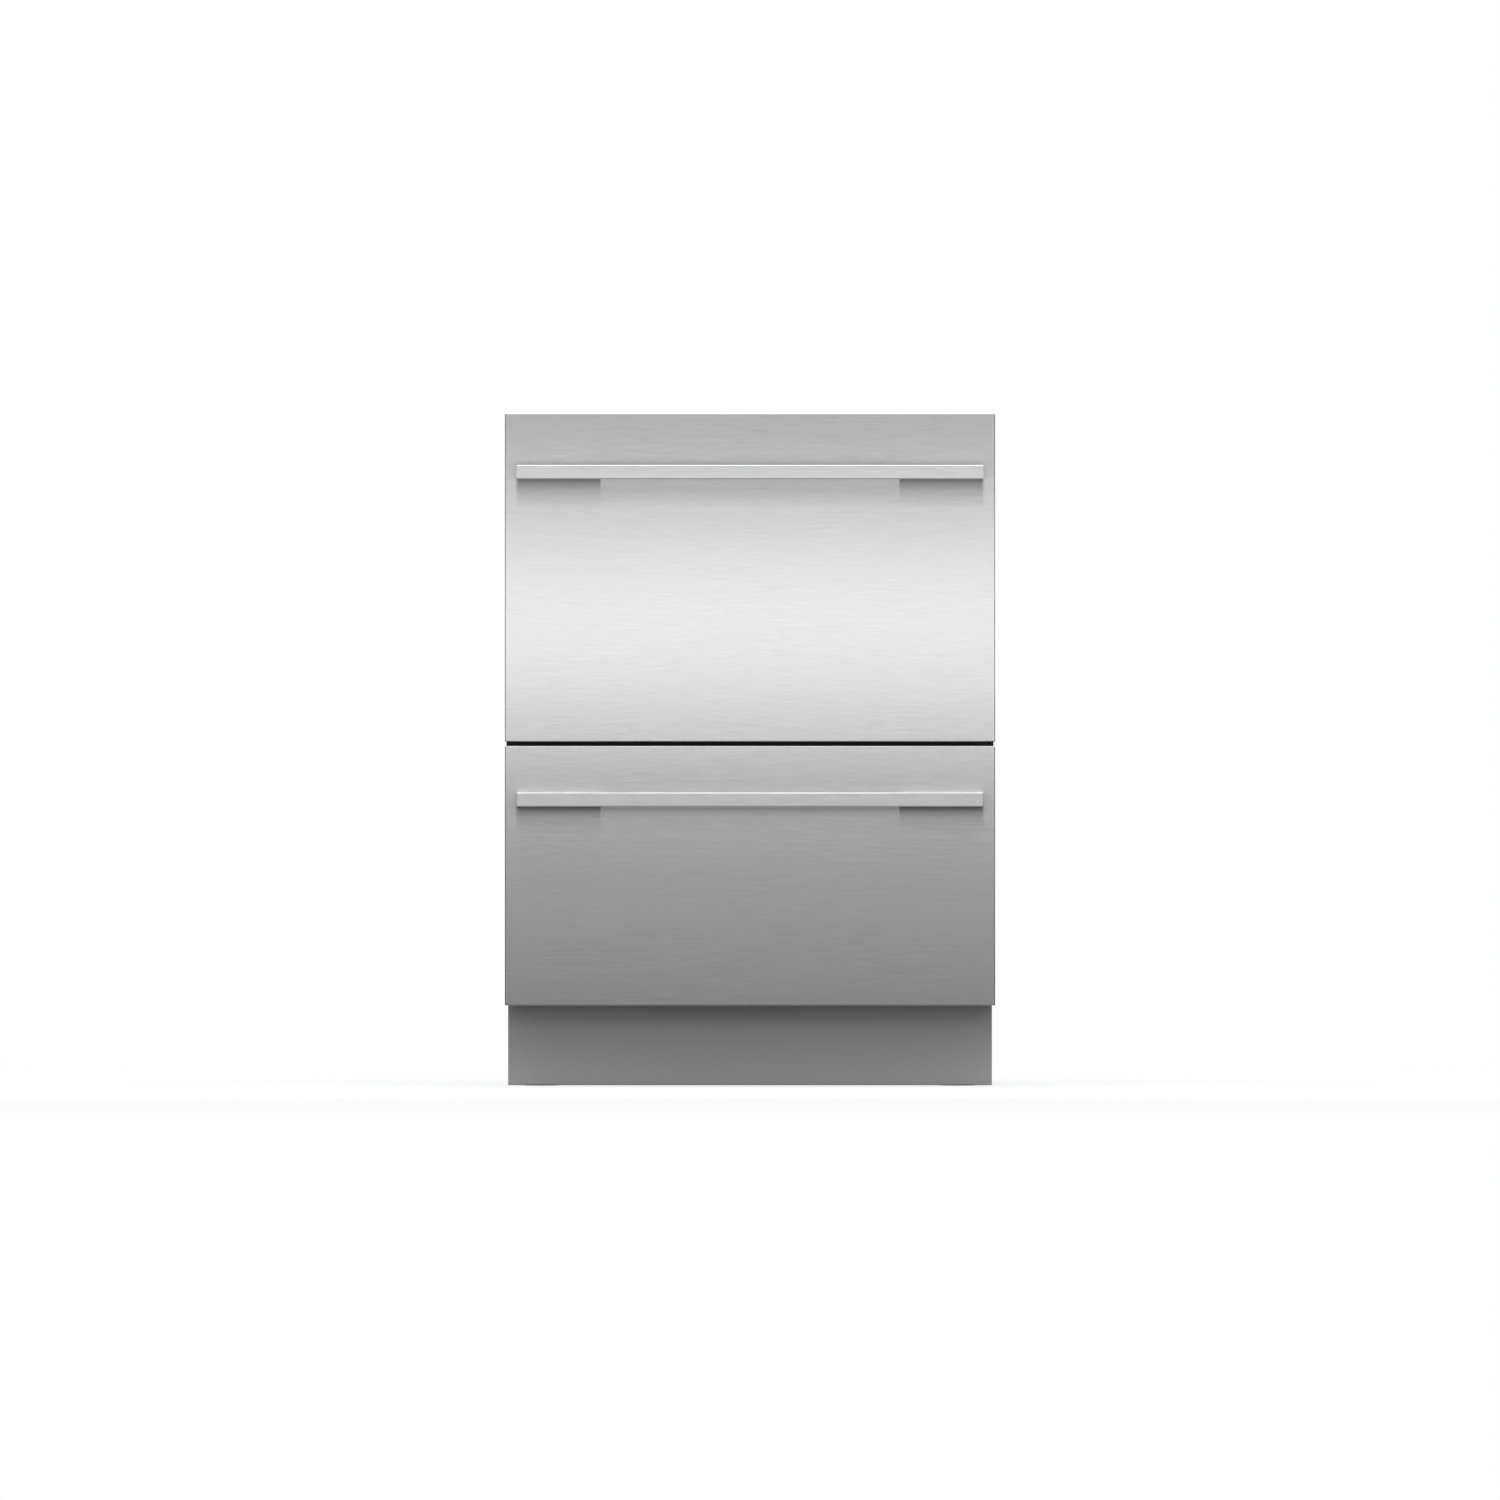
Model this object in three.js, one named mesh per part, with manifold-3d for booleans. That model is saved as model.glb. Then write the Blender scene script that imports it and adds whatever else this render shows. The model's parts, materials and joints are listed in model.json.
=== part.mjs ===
// A built-in dishwasher with two wash drawers, one above the other, in a steel chassis on four feet.
// Millimetres, +Z up, +Y to the rear. X = 0 is the middle, Z = 0 the floor, and while the pieces are
// drawn Y = 0 is the face of the steel fronts.
import * as THREE from "three";
import { mergeVertices } from "three/addons/utils/BufferGeometryUtils.js";
import Module from "manifold-3d";

const wasm = await Module();
wasm.setup();

// ---------------------------------------------------------------- driving dimensions

// Clearances.
const FIT = 0.3; // between pieces that touch
const RUN = 0.4; // between pieces that move past each other
const PAST = 1; // a cutting shape runs this far past the faces that it cuts

// Fronts, from the floor up: toe kick, lower front, gap, upper front.
const FRONT_W = 599;
const UPPER_FRONT_H = 401;
const LOWER_FRONT_H = 317;
const FRONT_GAP = 5;
const TOE_H = 99;
const FRONT_T = 20;
const FRONT_SKIN = 1.2;
const FRONT_EDGE_R = 2.5;
const FRONT_RETURN = 14; // the width of the flanges folded in behind the front

// Bar handles.
const HANDLE_END_GAP = 14.5; // from the end of the bar to the edge of the front
const HANDLE_H = 17;
const HANDLE_BAR_T = 12;
const HANDLE_REACH = 28; // the finger gap between bar and front
const HANDLE_FOOT_L = 102;
const HANDLE_EDGE_R = 1.2;
const HANDLE_FOOT_R = 6;
const UPPER_HANDLE_DROP = 63.5; // from the top of the front to the top of the bar
const LOWER_HANDLE_DROP = 57;

// Chassis.
const CHASSIS_REVEAL = 3.5; // the chassis sides lie this far inside the edges of the fronts
const CHASSIS_DEPTH = 573; // from the face of the fronts to the rear
const CHASSIS_TOP_DROP = 2; // the chassis top lies this much below the top of the upper front
const SHEET = 1.2;
const FLANGE = 12;
const TOP_LIP_H = 6; // the front edge of the chassis top turns down by this much
const TOP_POCKETS = 3;
const TOP_POCKET_RIB = 6;
const TOP_SCREWS = 4;
const TRIM_LIP = 2; // the rubber trim stands out this much beyond the chassis sides
const TRIM_TOP_LIP = 1.5;
const TRIM_T = 2.7;
const TRIM_LIP_T = 1.2;
const TOE_RECESS = 55;
const TOE_FLANGE = 14;
const TOE_OVERLAP = 2; // the kick plate reaches this far up behind the lower front
const TOE_TRIM_GAP = 0.7;
const FLOOR_GAP = 1; // under the toe kick
const SIDE_BOTTOM = 20;
const SERVICE_DEPTH = 40; // the recess at the rear for hose and cable
const SERVICE_TOP_GAP = 1; // from the recess up to the underside of the lower front
const SERVICE_SLOPE = 10;
const VENTS = 3;
const VENT_W = 80;
const VENT_H = 8;
const VENT_Z = 250;
const HOSE_R = 14;
const RAIL_H = 16;
const RAIL_DEPTH = 30;
const RAIL_OVERLAP = 2; // the mid rail reaches this far up behind the upper front
const BEAD_H = 18; // the stiffening beads in the chassis sides
const BEAD_RAMP = 5;
const BEAD_DEPTH = 2.5;
const BEAD_END = 70;
const BEAD_RISES = [20, 60]; // above the floor of each tub

// Levelling feet.
const FOOT_R = 25;
const FOOT_PAD_T = 10;
const FOOT_STEM_R = 6;
const FOOT_TOP_GAP = 1; // from the stem's top up to the underside of the lower front
const FOOT_INSET = 41; // from the chassis side to the foot's middle
const FOOT_FRONT_SETBACK = 40;
const FOOT_REAR_SETBACK = 32;
const TRAY_Z = 24;
const TRAY_EDGE_H = 30;
const FOOT_BOSS_H = 22;
const FOOT_BOSS_WALL = 6;

// Drawer inner front.
const INNER_FRONT_T = 26;
const INNER_FRONT_REVEAL = 1.5; // it lies this far inside the edges of the steel front
const INNER_FRONT_TOP_DROP = 4;
const INNER_FRONT_R = 6;
const BUTTON_W = 16;
const BUTTON_D = 10;
const BUTTON_H = 7;
const BUTTON_TRAVEL = 1;
const BUTTON_PROUD = 0.7;
const BUTTON_PITCH = 60;
const BUTTON_R = 2;
const CARRIER_CELLS = 5; // hollows between the ribs of the inner front
const CARRIER_RIB = 6;
const CARRIER_CELL_DEPTH = 10;

// Wash tub.
const RUNNER_SPACE = 16.8; // beside the tub's lip, up to the chassis side
const TUB_REAR_GAP = 26.4; // behind the tub's lip, up to the chassis rear
const TUB_WALL = 3;
const TUB_LIP = 8;
const TUB_CORNER_R = 60;
const TUB_FLOOR_R = 25;
const TUB_DRAFT = 4;
const TUB_RIM_DROP = 40; // from the top of the front to the rim
const DRAWER_UNDER = 5; // the lowest inner piece of a drawer lies this much above its front's lower edge
const FLOOR_RISE = 46; // from there up to the tub floor
const SUMP_R = 128;
const SUMP_DEPTH = 12;
const PAD_END = 50; // the runner pads end this far inside the tub's ends
const PAD_H = 40;

// Detergent dispenser, set in a window of the tub's front wall.
const DISPENSER_INSET = 98; // from the start of the tub's right corner to the pocket's middle
const DISPENSER_W = 90;
const DISPENSER_H = 40;
const DISPENSER_DEPTH = 17;
const DISPENSER_RISE = 95; // from the tub floor to the pocket's lower edge
const DISPENSER_FRAME = 6;
const DISPENSER_PROUD = 3; // the frame stands out this far from the wall
const LUG_W = 5;
const LUG_H = 8;
const DOOR_T = 3;
const DOOR_H = 32;
const DOOR_PIN_R = 1.5;
const DOOR_PIN_RISE = 2; // above the pocket's lower edge

// Telescopic runners.
const RUNNER_H = 42;
const RUNNER_T = 1.5;
const RUNNER_DROP = 70; // from the rim to the runner's middle
const RUNNER_SETBACK = 1; // behind the chassis front edge
const RUNNER_REAR_GAP = 21.2; // from the runners' ends to the chassis rear
const TRACK_W = 5; // the ball tracks pressed into the runners' flanges
const TRACK_DEPTH = 1;

// Lid that lowers onto the tub to seal it.
const LID_T = 16;
const LID_LIFT = 8;
const LID_SIDE_GAP = 0.5;
const LID_PIN_R = 3;
const LID_PIN_L = 11;
const LID_PIN_INSET = 40; // from the lifters' ends
const LID_RIB = 6;
const LID_SKIN = 5;
const LID_EDGE = 22;
const LID_COLUMNS = 3;
const LID_ROWS = 2;
const SEAL_W = 6;
const SEAL_H = 6;
const SEAL_PROUD = 3;
const SEAL_INSET = 1; // from the lid's edge
const LIFTER_END = 80; // the lifters end this far inside the tub's ends
const LIFTER_BASE = 3; // above the rim
const LIFTER_TOP = 28;

// Spray system.
const FILTER_GAP = 2;
const FILTER_SLOTS = 8;
const FILTER_SLOT_W = 5;
const FILTER_DROP = 3; // the filter plate lies this far below the tub floor
const FILTER_T = 3;
const FILTER_SKIRT = 4;
const HUB_R = 8;
const HUB_H = 15;
const ARM_GAP = 31; // from the arm's tip to the tub wall at its rim
const ARM_T = 12;
const ARM_W = 34;
const ARM_SWEEP = 26;
const ARM_RISE = 4; // the shoulder that the arm turns on, above the tub floor
const NOZZLES = 3; // on each half of the arm
const NOZZLE_R = 5;
const NOZZLE_H = 2.5;
const MOTOR_R = 95;
const MOTOR_FINS = 6;
const SPIGOT_R = 9;

// Wire baskets.
const WIRE = 4;
const BASKET_SIDE_GAP = 27; // from the tub wall at its rim to the middle of the basket's wires
const BASKET_FRONT_GAP = 45; // behind the tub's front wall, so that the dispenser door can open
const BASKET_REAR_GAP = 15;
const BASKET_RISE = 40;
const BASKET_TOP_GAP = 40;
const BASKET_R = 22;
const LONG_WIRES = 6;
const CROSS_WIRES = 5;
const TINE_H = 62;
const TINE_W = 2.6;
const TINES_PER_ROW = 12;
const WIRE_SIDE_INSET = 60; // from the basket's side to its first long wire
const WIRE_END_INSET = 30; // from the basket's front to its first cross wire
const TINE_END_INSET = 50;
const CUP_RACK_W = 80;
const CUP_RACK_RISE = 95;
const CUP_RACK_RODS = 5;
const CUP_RACK_END = 24; // past the clips
const PIVOT_R = 2.5;
const PIVOT_INSET = 13; // from the basket's side wires to the cup rack's pivot
const CLIP_REACH = 7;
const CLIP_T = 8;

// Cutlery basket.
const CUTLERY_W = 70;
const CUTLERY_L = 240;
const CUTLERY_H = 96;
const CUTLERY_WALL = 2.4;
const CUTLERY_CELLS = 4;
const CUTLERY_WINDOW_W = 32;
const CUTLERY_BAND = 14; // the closed bands above and below the windows
const ARCH_H = 22;
const ARCH_WIRE = 6;

// ---------------------------------------------------------------- worked-out places

const TOTAL_H = TOE_H + LOWER_FRONT_H + FRONT_GAP + UPPER_FRONT_H;
const CHASSIS_TOP = TOTAL_H - CHASSIS_TOP_DROP;
const UPPER_BOTTOM = TOE_H + LOWER_FRONT_H + FRONT_GAP;
const TOE_TOP = TOE_H + TOE_OVERLAP + FIT;
const TRIM_BOTTOM = TOE_TOP + TOE_TRIM_GAP;
const SERVICE_H = TOE_H - SERVICE_TOP_GAP;
const FOOT_H = TOE_H - FOOT_TOP_GAP;
const HANDLE_L = FRONT_W - 2 * HANDLE_END_GAP;
const CHASSIS_W = FRONT_W - 2 * CHASSIS_REVEAL;
const INNER_FRONT_W = FRONT_W - 2 * INNER_FRONT_REVEAL;
const INNER_FRONT_Y = FRONT_T + FIT;
const INNER_FRONT_BACK = INNER_FRONT_Y + INNER_FRONT_T;
const TRIM_Y = INNER_FRONT_BACK + FIT;
const CHASSIS_Y = TRIM_Y + TRIM_T + FIT;
const SIDE_X = CHASSIS_W / 2;
const SIDE_INNER_X = SIDE_X - SHEET;
const TUB_W = 2 * (SIDE_INNER_X - RUNNER_SPACE); // over its lip
const TUB_Y = TRIM_Y;
const TUB_REAR = CHASSIS_DEPTH - TUB_REAR_GAP;
const TUB_DEPTH = TUB_REAR - TUB_Y;
const TUB_MIDDLE = (TUB_Y + TUB_REAR) / 2;
const TUB_FLOOR = DRAWER_UNDER + FLOOR_RISE;
const PAD_X = TUB_W / 2 + FIT;
const PAD_LENGTH = TUB_DEPTH - 2 * PAD_END;
const LIFTER_L = TUB_DEPTH - 2 * LIFTER_END;
const LID_PIN_PITCH = LIFTER_L - 2 * LID_PIN_INSET;
const DISPENSER_X = TUB_W / 2 - TUB_CORNER_R - DISPENSER_INSET;
const ARM_R = Math.min(TUB_W, TUB_DEPTH) / 2 - TUB_LIP - TUB_WALL - ARM_GAP;

// Runner members, from the chassis side inwards.
const RUNNER_Y = CHASSIS_Y + SHEET + RUNNER_SETBACK;
const RUNNER_L = CHASSIS_DEPTH - RUNNER_REAR_GAP - RUNNER_Y;
const OUTER_X = SIDE_INNER_X - FIT;
const MIDDLE_X = OUTER_X - RUNNER_T - RUN;
const INNER_X = PAD_X + FIT;
const HEM_X = MIDDLE_X + RUN; // the chassis front edge turns in no further than this

const DRAWERS = [
  { name: "lower", height: LOWER_FRONT_H, handleDrop: LOWER_HANDLE_DROP, bottom: TOE_H },
  {
    name: "upper",
    height: UPPER_FRONT_H,
    handleDrop: UPPER_HANDLE_DROP,
    bottom: UPPER_BOTTOM,
  },
];
const SIDES = [
  { name: "left", sign: -1 },
  { name: "right", sign: 1 },
];

// ---------------------------------------------------------------- materials

const finish = (color, roughness, metalness) =>
  new THREE.MeshStandardMaterial({ color, roughness, metalness });
const BRUSHED_STEEL = finish(0xc9c9c7, 0.32, 1);
const GALVANISED = finish(0xa9adb0, 0.45, 1);
const RUNNER_STEEL = finish(0xb7babd, 0.3, 1);
const BLACK_PLASTIC = finish(0x1b1c1e, 0.5, 0);
const TOE_PAINT = finish(0x858789, 0.5, 0.1);
const TUB_PLASTIC = finish(0xb9bcbf, 0.45, 0);
const LID_PLASTIC = finish(0x9a9ea3, 0.5, 0);
const RUBBER = finish(0x242527, 0.8, 0);
const WIRE_COAT = finish(0xd7d9da, 0.4, 0);
const GREY_PLASTIC = finish(0x6d7176, 0.5, 0);
const WHITE_PLASTIC = finish(0xe8e8e6, 0.4, 0);

// ---------------------------------------------------------------- solids

const AXIS_X = new THREE.Vector3(1, 0, 0);
const AXIS_Y = new THREE.Vector3(0, 1, 0);
const AXIS_Z = new THREE.Vector3(0, 0, 1);
const AXIS_BACK_Y = new THREE.Vector3(0, -1, 0);

// A closed three.js geometry as a solid that can be joined and cut.
function solid(geometry) {
  const bare = geometry.index ? geometry.toNonIndexed() : geometry.clone();
  bare.deleteAttribute("normal");
  bare.deleteAttribute("uv");
  const merged = mergeVertices(bare, 1e-4);
  return new wasm.Manifold(
    new wasm.Mesh({
      numProp: 3,
      vertProperties: merged.attributes.position.array,
      triVerts: new Uint32Array(merged.index.array),
    }),
  );
}

const join = (first, ...others) => others.reduce((sum, other) => sum.add(other), first);
const cut = (body, ...tools) => tools.reduce((rest, tool) => rest.subtract(tool), body);

// A named mesh of a finished solid.
function piece(name, body, material) {
  const { vertProperties, triVerts } = body.getMesh();
  const shared = new THREE.BufferGeometry();
  shared.setAttribute("position", new THREE.BufferAttribute(vertProperties, 3));
  shared.setIndex(new THREE.BufferAttribute(triVerts, 1));
  const geometry = shared.toNonIndexed();
  geometry.computeVertexNormals();
  const mesh = new THREE.Mesh(geometry, material);
  mesh.name = name;
  return mesh;
}

const polygon = (points) => new THREE.Shape(points.map(([a, b]) => new THREE.Vector2(a, b)));

// A shape pushed along Z. Its own axes are X and Y.
function alongZ(shape, z0, z1) {
  const geometry = new THREE.ExtrudeGeometry(shape, { depth: z1 - z0, bevelEnabled: false });
  return solid(geometry.translate(0, 0, z0));
}

// A shape pushed along X. Its own axes are Y and Z.
function alongX(shape, x0, x1) {
  const geometry = new THREE.ExtrudeGeometry(shape, { depth: x1 - x0, bevelEnabled: false });
  const turn = new THREE.Matrix4().makeBasis(AXIS_Y, AXIS_Z, AXIS_X);
  return solid(geometry.applyMatrix4(turn).translate(x0, 0, 0));
}

// A shape pushed along Y. Its own axes are X and Z.
function alongY(shape, y0, y1) {
  const geometry = new THREE.ExtrudeGeometry(shape, { depth: y1 - y0, bevelEnabled: false });
  const turn = new THREE.Matrix4().makeBasis(AXIS_X, AXIS_Z, AXIS_BACK_Y);
  return solid(geometry.applyMatrix4(turn).translate(0, y1, 0));
}

function box(x0, x1, y0, y1, z0, z1) {
  const geometry = new THREE.BoxGeometry(x1 - x0, y1 - y0, z1 - z0);
  return solid(geometry.translate((x0 + x1) / 2, (y0 + y1) / 2, (z0 + z1) / 2));
}

// A round bar between two points.
function rod(radius, from, to, sides = 12) {
  const start = new THREE.Vector3(...from);
  const end = new THREE.Vector3(...to);
  const along = end.clone().sub(start);
  const geometry = new THREE.CylinderGeometry(radius, radius, along.length(), sides);
  const turn = new THREE.Quaternion().setFromUnitVectors(AXIS_Y, along.clone().normalize());
  const middle = start.add(end).multiplyScalar(0.5);
  return solid(geometry.applyQuaternion(turn).translate(middle.x, middle.y, middle.z));
}

// A profile of [radius, height] pairs turned about an axis through a point. It runs from the bottom up.
function turned(profile, sides, at, axis = AXIS_Z) {
  const points = profile.map(([r, h]) => new THREE.Vector2(r, h));
  const geometry = new THREE.LatheGeometry(points, sides);
  const turn = new THREE.Quaternion().setFromUnitVectors(AXIS_Y, axis);
  return solid(geometry.applyQuaternion(turn).translate(...at));
}

// The corner points of a rounded rectangle at one height, anticlockwise from above.
function ring(x0, x1, y0, y1, radius, z = 0, steps = 3) {
  const middles = [
    [x1 - radius, y1 - radius],
    [x0 + radius, y1 - radius],
    [x0 + radius, y0 + radius],
    [x1 - radius, y0 + radius],
  ];
  return middles.flatMap(([x, y], quarter) =>
    Array.from({ length: steps + 1 }, (_, k) => {
      const angle = ((quarter + k / steps) * Math.PI) / 2;
      return new THREE.Vector3(x + radius * Math.cos(angle), y + radius * Math.sin(angle), z);
    }),
  );
}

const roundedRectangle = (x0, x1, y0, y1, radius, steps = 3) =>
  new THREE.Shape(ring(x0, x1, y0, y1, radius, 0, steps).map((p) => new THREE.Vector2(p.x, p.y)));

// A skin over rings of equally many points, closed by a flat cap at each end.
function loft(rings) {
  const count = rings[0].length;
  const last = (rings.length - 1) * count;
  const index = [];
  for (let start = 0; start < last; start += count) {
    for (let i = 0; i < count; i++) {
      const a = start + i;
      const b = start + ((i + 1) % count);
      index.push(a, b, b + count, a, b + count, a + count);
    }
  }
  for (let i = 1; i < count - 1; i++) {
    index.push(0, i + 1, i);
    index.push(last, last + i, last + i + 1);
  }
  const geometry = new THREE.BufferGeometry().setFromPoints(rings.flat());
  geometry.setIndex(index);
  return solid(geometry);
}

// The section of a bent sheet: a path of bends, thickened to its left.
function sheetSection(path, thickness) {
  const points = path.map(([a, b]) => new THREE.Vector2(a, b));
  const normals = points.slice(1).map((p, i) => {
    const along = p.clone().sub(points[i]).normalize();
    return new THREE.Vector2(-along.y, along.x);
  });
  const offset = points.map((p, i) => {
    const before = normals[Math.max(i - 1, 0)];
    const after = normals[Math.min(i, normals.length - 1)];
    const mitre = before.clone().add(after);
    const reach = (2 * thickness) / mitre.lengthSq();
    return p.clone().add(mitre.multiplyScalar(reach));
  });
  return new THREE.Shape([...points, ...offset.reverse()]);
}

// A route that a wire is bent along: straight runs with a round bend at each corner. The sections lie
// at the ends and round the bends only, so that the straight runs stay plain.
class BentRoute extends THREE.Curve {
  constructor(corners, bend, steps) {
    super();
    const points = corners.map((p) => new THREE.Vector3(...p));
    this.stops = [points[0]];
    for (let i = 1; i < points.length - 1; i++) {
      const into = points[i - 1].clone().sub(points[i]).normalize().multiplyScalar(bend);
      const away = points[i + 1].clone().sub(points[i]).normalize().multiplyScalar(bend);
      const turn = new THREE.QuadraticBezierCurve3(
        points[i].clone().add(into),
        points[i],
        points[i].clone().add(away),
      );
      this.stops.push(...turn.getPoints(steps));
    }
    this.stops.push(points[points.length - 1]);
  }

  getPoint(t) {
    const last = this.stops.length - 1;
    const before = Math.min(Math.floor(t * last + 1e-9), last - 1);
    return this.stops[before].clone().lerp(this.stops[before + 1], t * last - before);
  }

  getPointAt(u) {
    return this.getPoint(u);
  }

  getTangentAt(u) {
    const last = this.stops.length - 1;
    const at = Math.round(u * last);
    const into = this.stops[at].clone().sub(this.stops[Math.max(at - 1, 0)]).normalize();
    const away = this.stops[Math.min(at + 1, last)].clone().sub(this.stops[at]).normalize();
    return into.add(away).normalize();
  }
}

// A wire along a bent route.
function wire(corners, diameter, bend, sides = 4, bendSteps = 1) {
  const section = Array.from({ length: sides }, (_, k) => {
    const angle = ((k + 0.5) / sides) * 2 * Math.PI;
    return new THREE.Vector2(Math.cos(angle), Math.sin(angle)).multiplyScalar(diameter / 2);
  });
  const route = new BentRoute(corners, bend, bendSteps);
  const geometry = new THREE.ExtrudeGeometry(new THREE.Shape(section), {
    steps: route.stops.length - 1,
    extrudePath: route,
  });
  return solid(geometry);
}

// Evenly spaced values from one end to the other.
const spread = (from, to, count) =>
  Array.from({ length: count }, (_, i) => from + ((to - from) * i) / (count - 1));

// ---------------------------------------------------------------- chassis

// Pressed stiffening bead in a sheet that faces X: a bevelled ridge inside and its hollow outside.
function sideBead(z) {
  const half = BEAD_H / 2;
  const y0 = CHASSIS_Y + BEAD_END;
  const y1 = CHASSIS_DEPTH - BEAD_END;
  const level = (x, inset) => [
    new THREE.Vector3(x, y0 + inset, z - half + inset),
    new THREE.Vector3(x, y0 + inset, z + half - inset),
    new THREE.Vector3(x, y1 - inset, z + half - inset),
    new THREE.Vector3(x, y1 - inset, z - half + inset),
  ];
  const bevelled = (x) => loft([level(x, 0), level(x - BEAD_DEPTH, BEAD_RAMP)]);
  const sunk = 0.1; // into the sheet, so that the two join
  return { ridge: bevelled(SIDE_INNER_X + sunk), hollow: bevelled(SIDE_X + sunk) };
}

// The right side of the chassis. Its front edge turns in just short of the runner's moving member.
function sidePanelBody() {
  const top = CHASSIS_TOP - SHEET - FIT;
  const section = sheetSection(
    [
      [HEM_X, CHASSIS_Y],
      [SIDE_X, CHASSIS_Y],
      [SIDE_X, CHASSIS_DEPTH],
      [SIDE_X - FLANGE, CHASSIS_DEPTH],
    ],
    SHEET,
  );
  const toeRear = TOE_RECESS + TOE_FLANGE + FIT;
  const toeNotch = box(HEM_X - FLANGE, SIDE_X + PAST, 0, toeRear, 0, TRIM_BOTTOM);
  const topFlange = box(
    SIDE_X - FLANGE,
    SIDE_X - SHEET / 2,
    CHASSIS_Y + FLANGE,
    CHASSIS_DEPTH - FLANGE,
    top - SHEET,
    top,
  );
  let body = cut(join(alongZ(section, SIDE_BOTTOM, top), topFlange), toeNotch);
  for (const drawer of DRAWERS) {
    for (const rise of BEAD_RISES) {
      const bead = sideBead(drawer.bottom + TUB_FLOOR + rise);
      body = cut(join(body, bead.ridge), bead.hollow);
    }
  }
  return body;
}

// Back sheet with a lower recess, where hose and cable leave the machine.
function rearPanelBody() {
  const y = CHASSIS_DEPTH - SHEET - FIT;
  const half = SIDE_INNER_X - FIT;
  const recess = CHASSIS_DEPTH - SERVICE_DEPTH;
  const section = sheetSection(
    [
      [recess, TRAY_Z],
      [recess, SERVICE_H],
      [y, SERVICE_H + SERVICE_SLOPE],
      [y, CHASSIS_TOP - SHEET - FIT],
    ],
    SHEET,
  );
  const vents = spread(-half + 1.5 * VENT_W, half - 1.5 * VENT_W, VENTS).map((x) =>
    alongY(
      roundedRectangle(x - VENT_W / 2, x + VENT_W / 2, VENT_Z, VENT_Z + VENT_H, VENT_H * 0.4, 1),
      y - SHEET - PAST,
      y + PAST,
    ),
  );
  const hoseZ = TRAY_Z + (SERVICE_H - TRAY_Z) / 2;
  const hoseHole = rod(HOSE_R, [0, recess - SHEET - PAST, hoseZ], [0, recess + PAST, hoseZ]);
  return cut(alongX(section, -half, half), hoseHole, ...vents);
}

// Top sheet with a turned-down front edge and cross beads.
function topPanelBody() {
  const sheet = box(-SIDE_X, SIDE_X, CHASSIS_Y, CHASSIS_DEPTH, CHASSIS_TOP - SHEET, CHASSIS_TOP);
  const lip = box(
    -HEM_X + RUN,
    HEM_X - RUN,
    CHASSIS_Y,
    CHASSIS_Y + SHEET,
    CHASSIS_TOP - SHEET - TOP_LIP_H,
    CHASSIS_TOP - SHEET / 2,
  );
  const screwR = 3;
  const screwY = CHASSIS_Y + 20;
  const screwHoles = spread(-SIDE_X + 60, SIDE_X - 60, TOP_SCREWS).map((x) =>
    rod(screwR, [x, screwY, CHASSIS_TOP - SHEET - PAST], [x, screwY, CHASSIS_TOP + PAST], 8),
  );
  const border = 80;
  const pitch = (2 * (SIDE_X - border) + TOP_POCKET_RIB) / TOP_POCKETS;
  const pockets = Array.from({ length: TOP_POCKETS }, (_, i) => {
    const x = -SIDE_X + border + pitch * i;
    return alongZ(
      roundedRectangle(
        x,
        x + pitch - TOP_POCKET_RIB,
        CHASSIS_Y + border,
        CHASSIS_DEPTH - border,
        20,
        1,
      ),
      CHASSIS_TOP - SHEET / 2,
      CHASSIS_TOP + PAST,
    );
  });
  return cut(join(sheet, lip), ...screwHoles, ...pockets);
}

// Tray that ties the sides together and takes the feet in four bosses.
function baseTrayBody() {
  const half = SIDE_INNER_X - FIT;
  const front = TOE_RECESS + TOE_FLANGE + FIT;
  const rear = CHASSIS_DEPTH - SERVICE_DEPTH - SHEET - FIT;
  const outer = box(-half, half, front, rear, TRAY_Z, TRAY_Z + TRAY_EDGE_H);
  const inner = box(
    -half + SHEET,
    half - SHEET,
    front + SHEET,
    rear - SHEET,
    TRAY_Z + SHEET,
    TRAY_Z + TRAY_EDGE_H + PAST,
  );
  const places = footPlaces();
  const bosses = places.map(([x, y]) =>
    rod(
      FOOT_STEM_R + FOOT_BOSS_WALL,
      [x, y, TRAY_Z + SHEET / 2],
      [x, y, TRAY_Z + FOOT_BOSS_H],
      12,
    ),
  );
  const bores = places.map(([x, y]) =>
    rod(FOOT_STEM_R + RUN, [x, y, TRAY_Z - PAST], [x, y, TRAY_Z + FOOT_BOSS_H + PAST], 12),
  );
  const ribFoot = 14;
  const ribTop = 8;
  const ribInset = 60;
  const ribs = spread(front, rear, 4)
    .slice(1, 3)
    .map((y) =>
      alongX(
        polygon([
          [y - ribFoot, TRAY_Z + SHEET / 2],
          [y + ribFoot, TRAY_Z + SHEET / 2],
          [y + ribTop, TRAY_Z + ribTop],
          [y - ribTop, TRAY_Z + ribTop],
        ]),
        -half + ribInset,
        half - ribInset,
      ),
    );
  return cut(join(cut(outer, inner), ...bosses, ...ribs), ...bores);
}

function footPlaces() {
  const x = SIDE_X - FOOT_INSET;
  const front = TOE_RECESS + TOE_FLANGE + FOOT_FRONT_SETBACK;
  const rear = CHASSIS_DEPTH - SERVICE_DEPTH - FOOT_REAR_SETBACK;
  return [
    [-x, front],
    [x, front],
    [-x, rear],
    [x, rear],
  ];
}

// Levelling foot: a round pad on a threaded stem.
function footBody() {
  return turned(
    [
      [0, 0],
      [FOOT_R - 2, 0],
      [FOOT_R, 2],
      [FOOT_R, FOOT_PAD_T - 5],
      [FOOT_STEM_R + 4, FOOT_PAD_T],
      [FOOT_STEM_R, FOOT_PAD_T],
      [FOOT_STEM_R, FOOT_H - 1.5],
      [FOOT_STEM_R - 1.5, FOOT_H],
      [0, FOOT_H],
    ],
    10,
    [0, 0, 0],
  );
}

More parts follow.
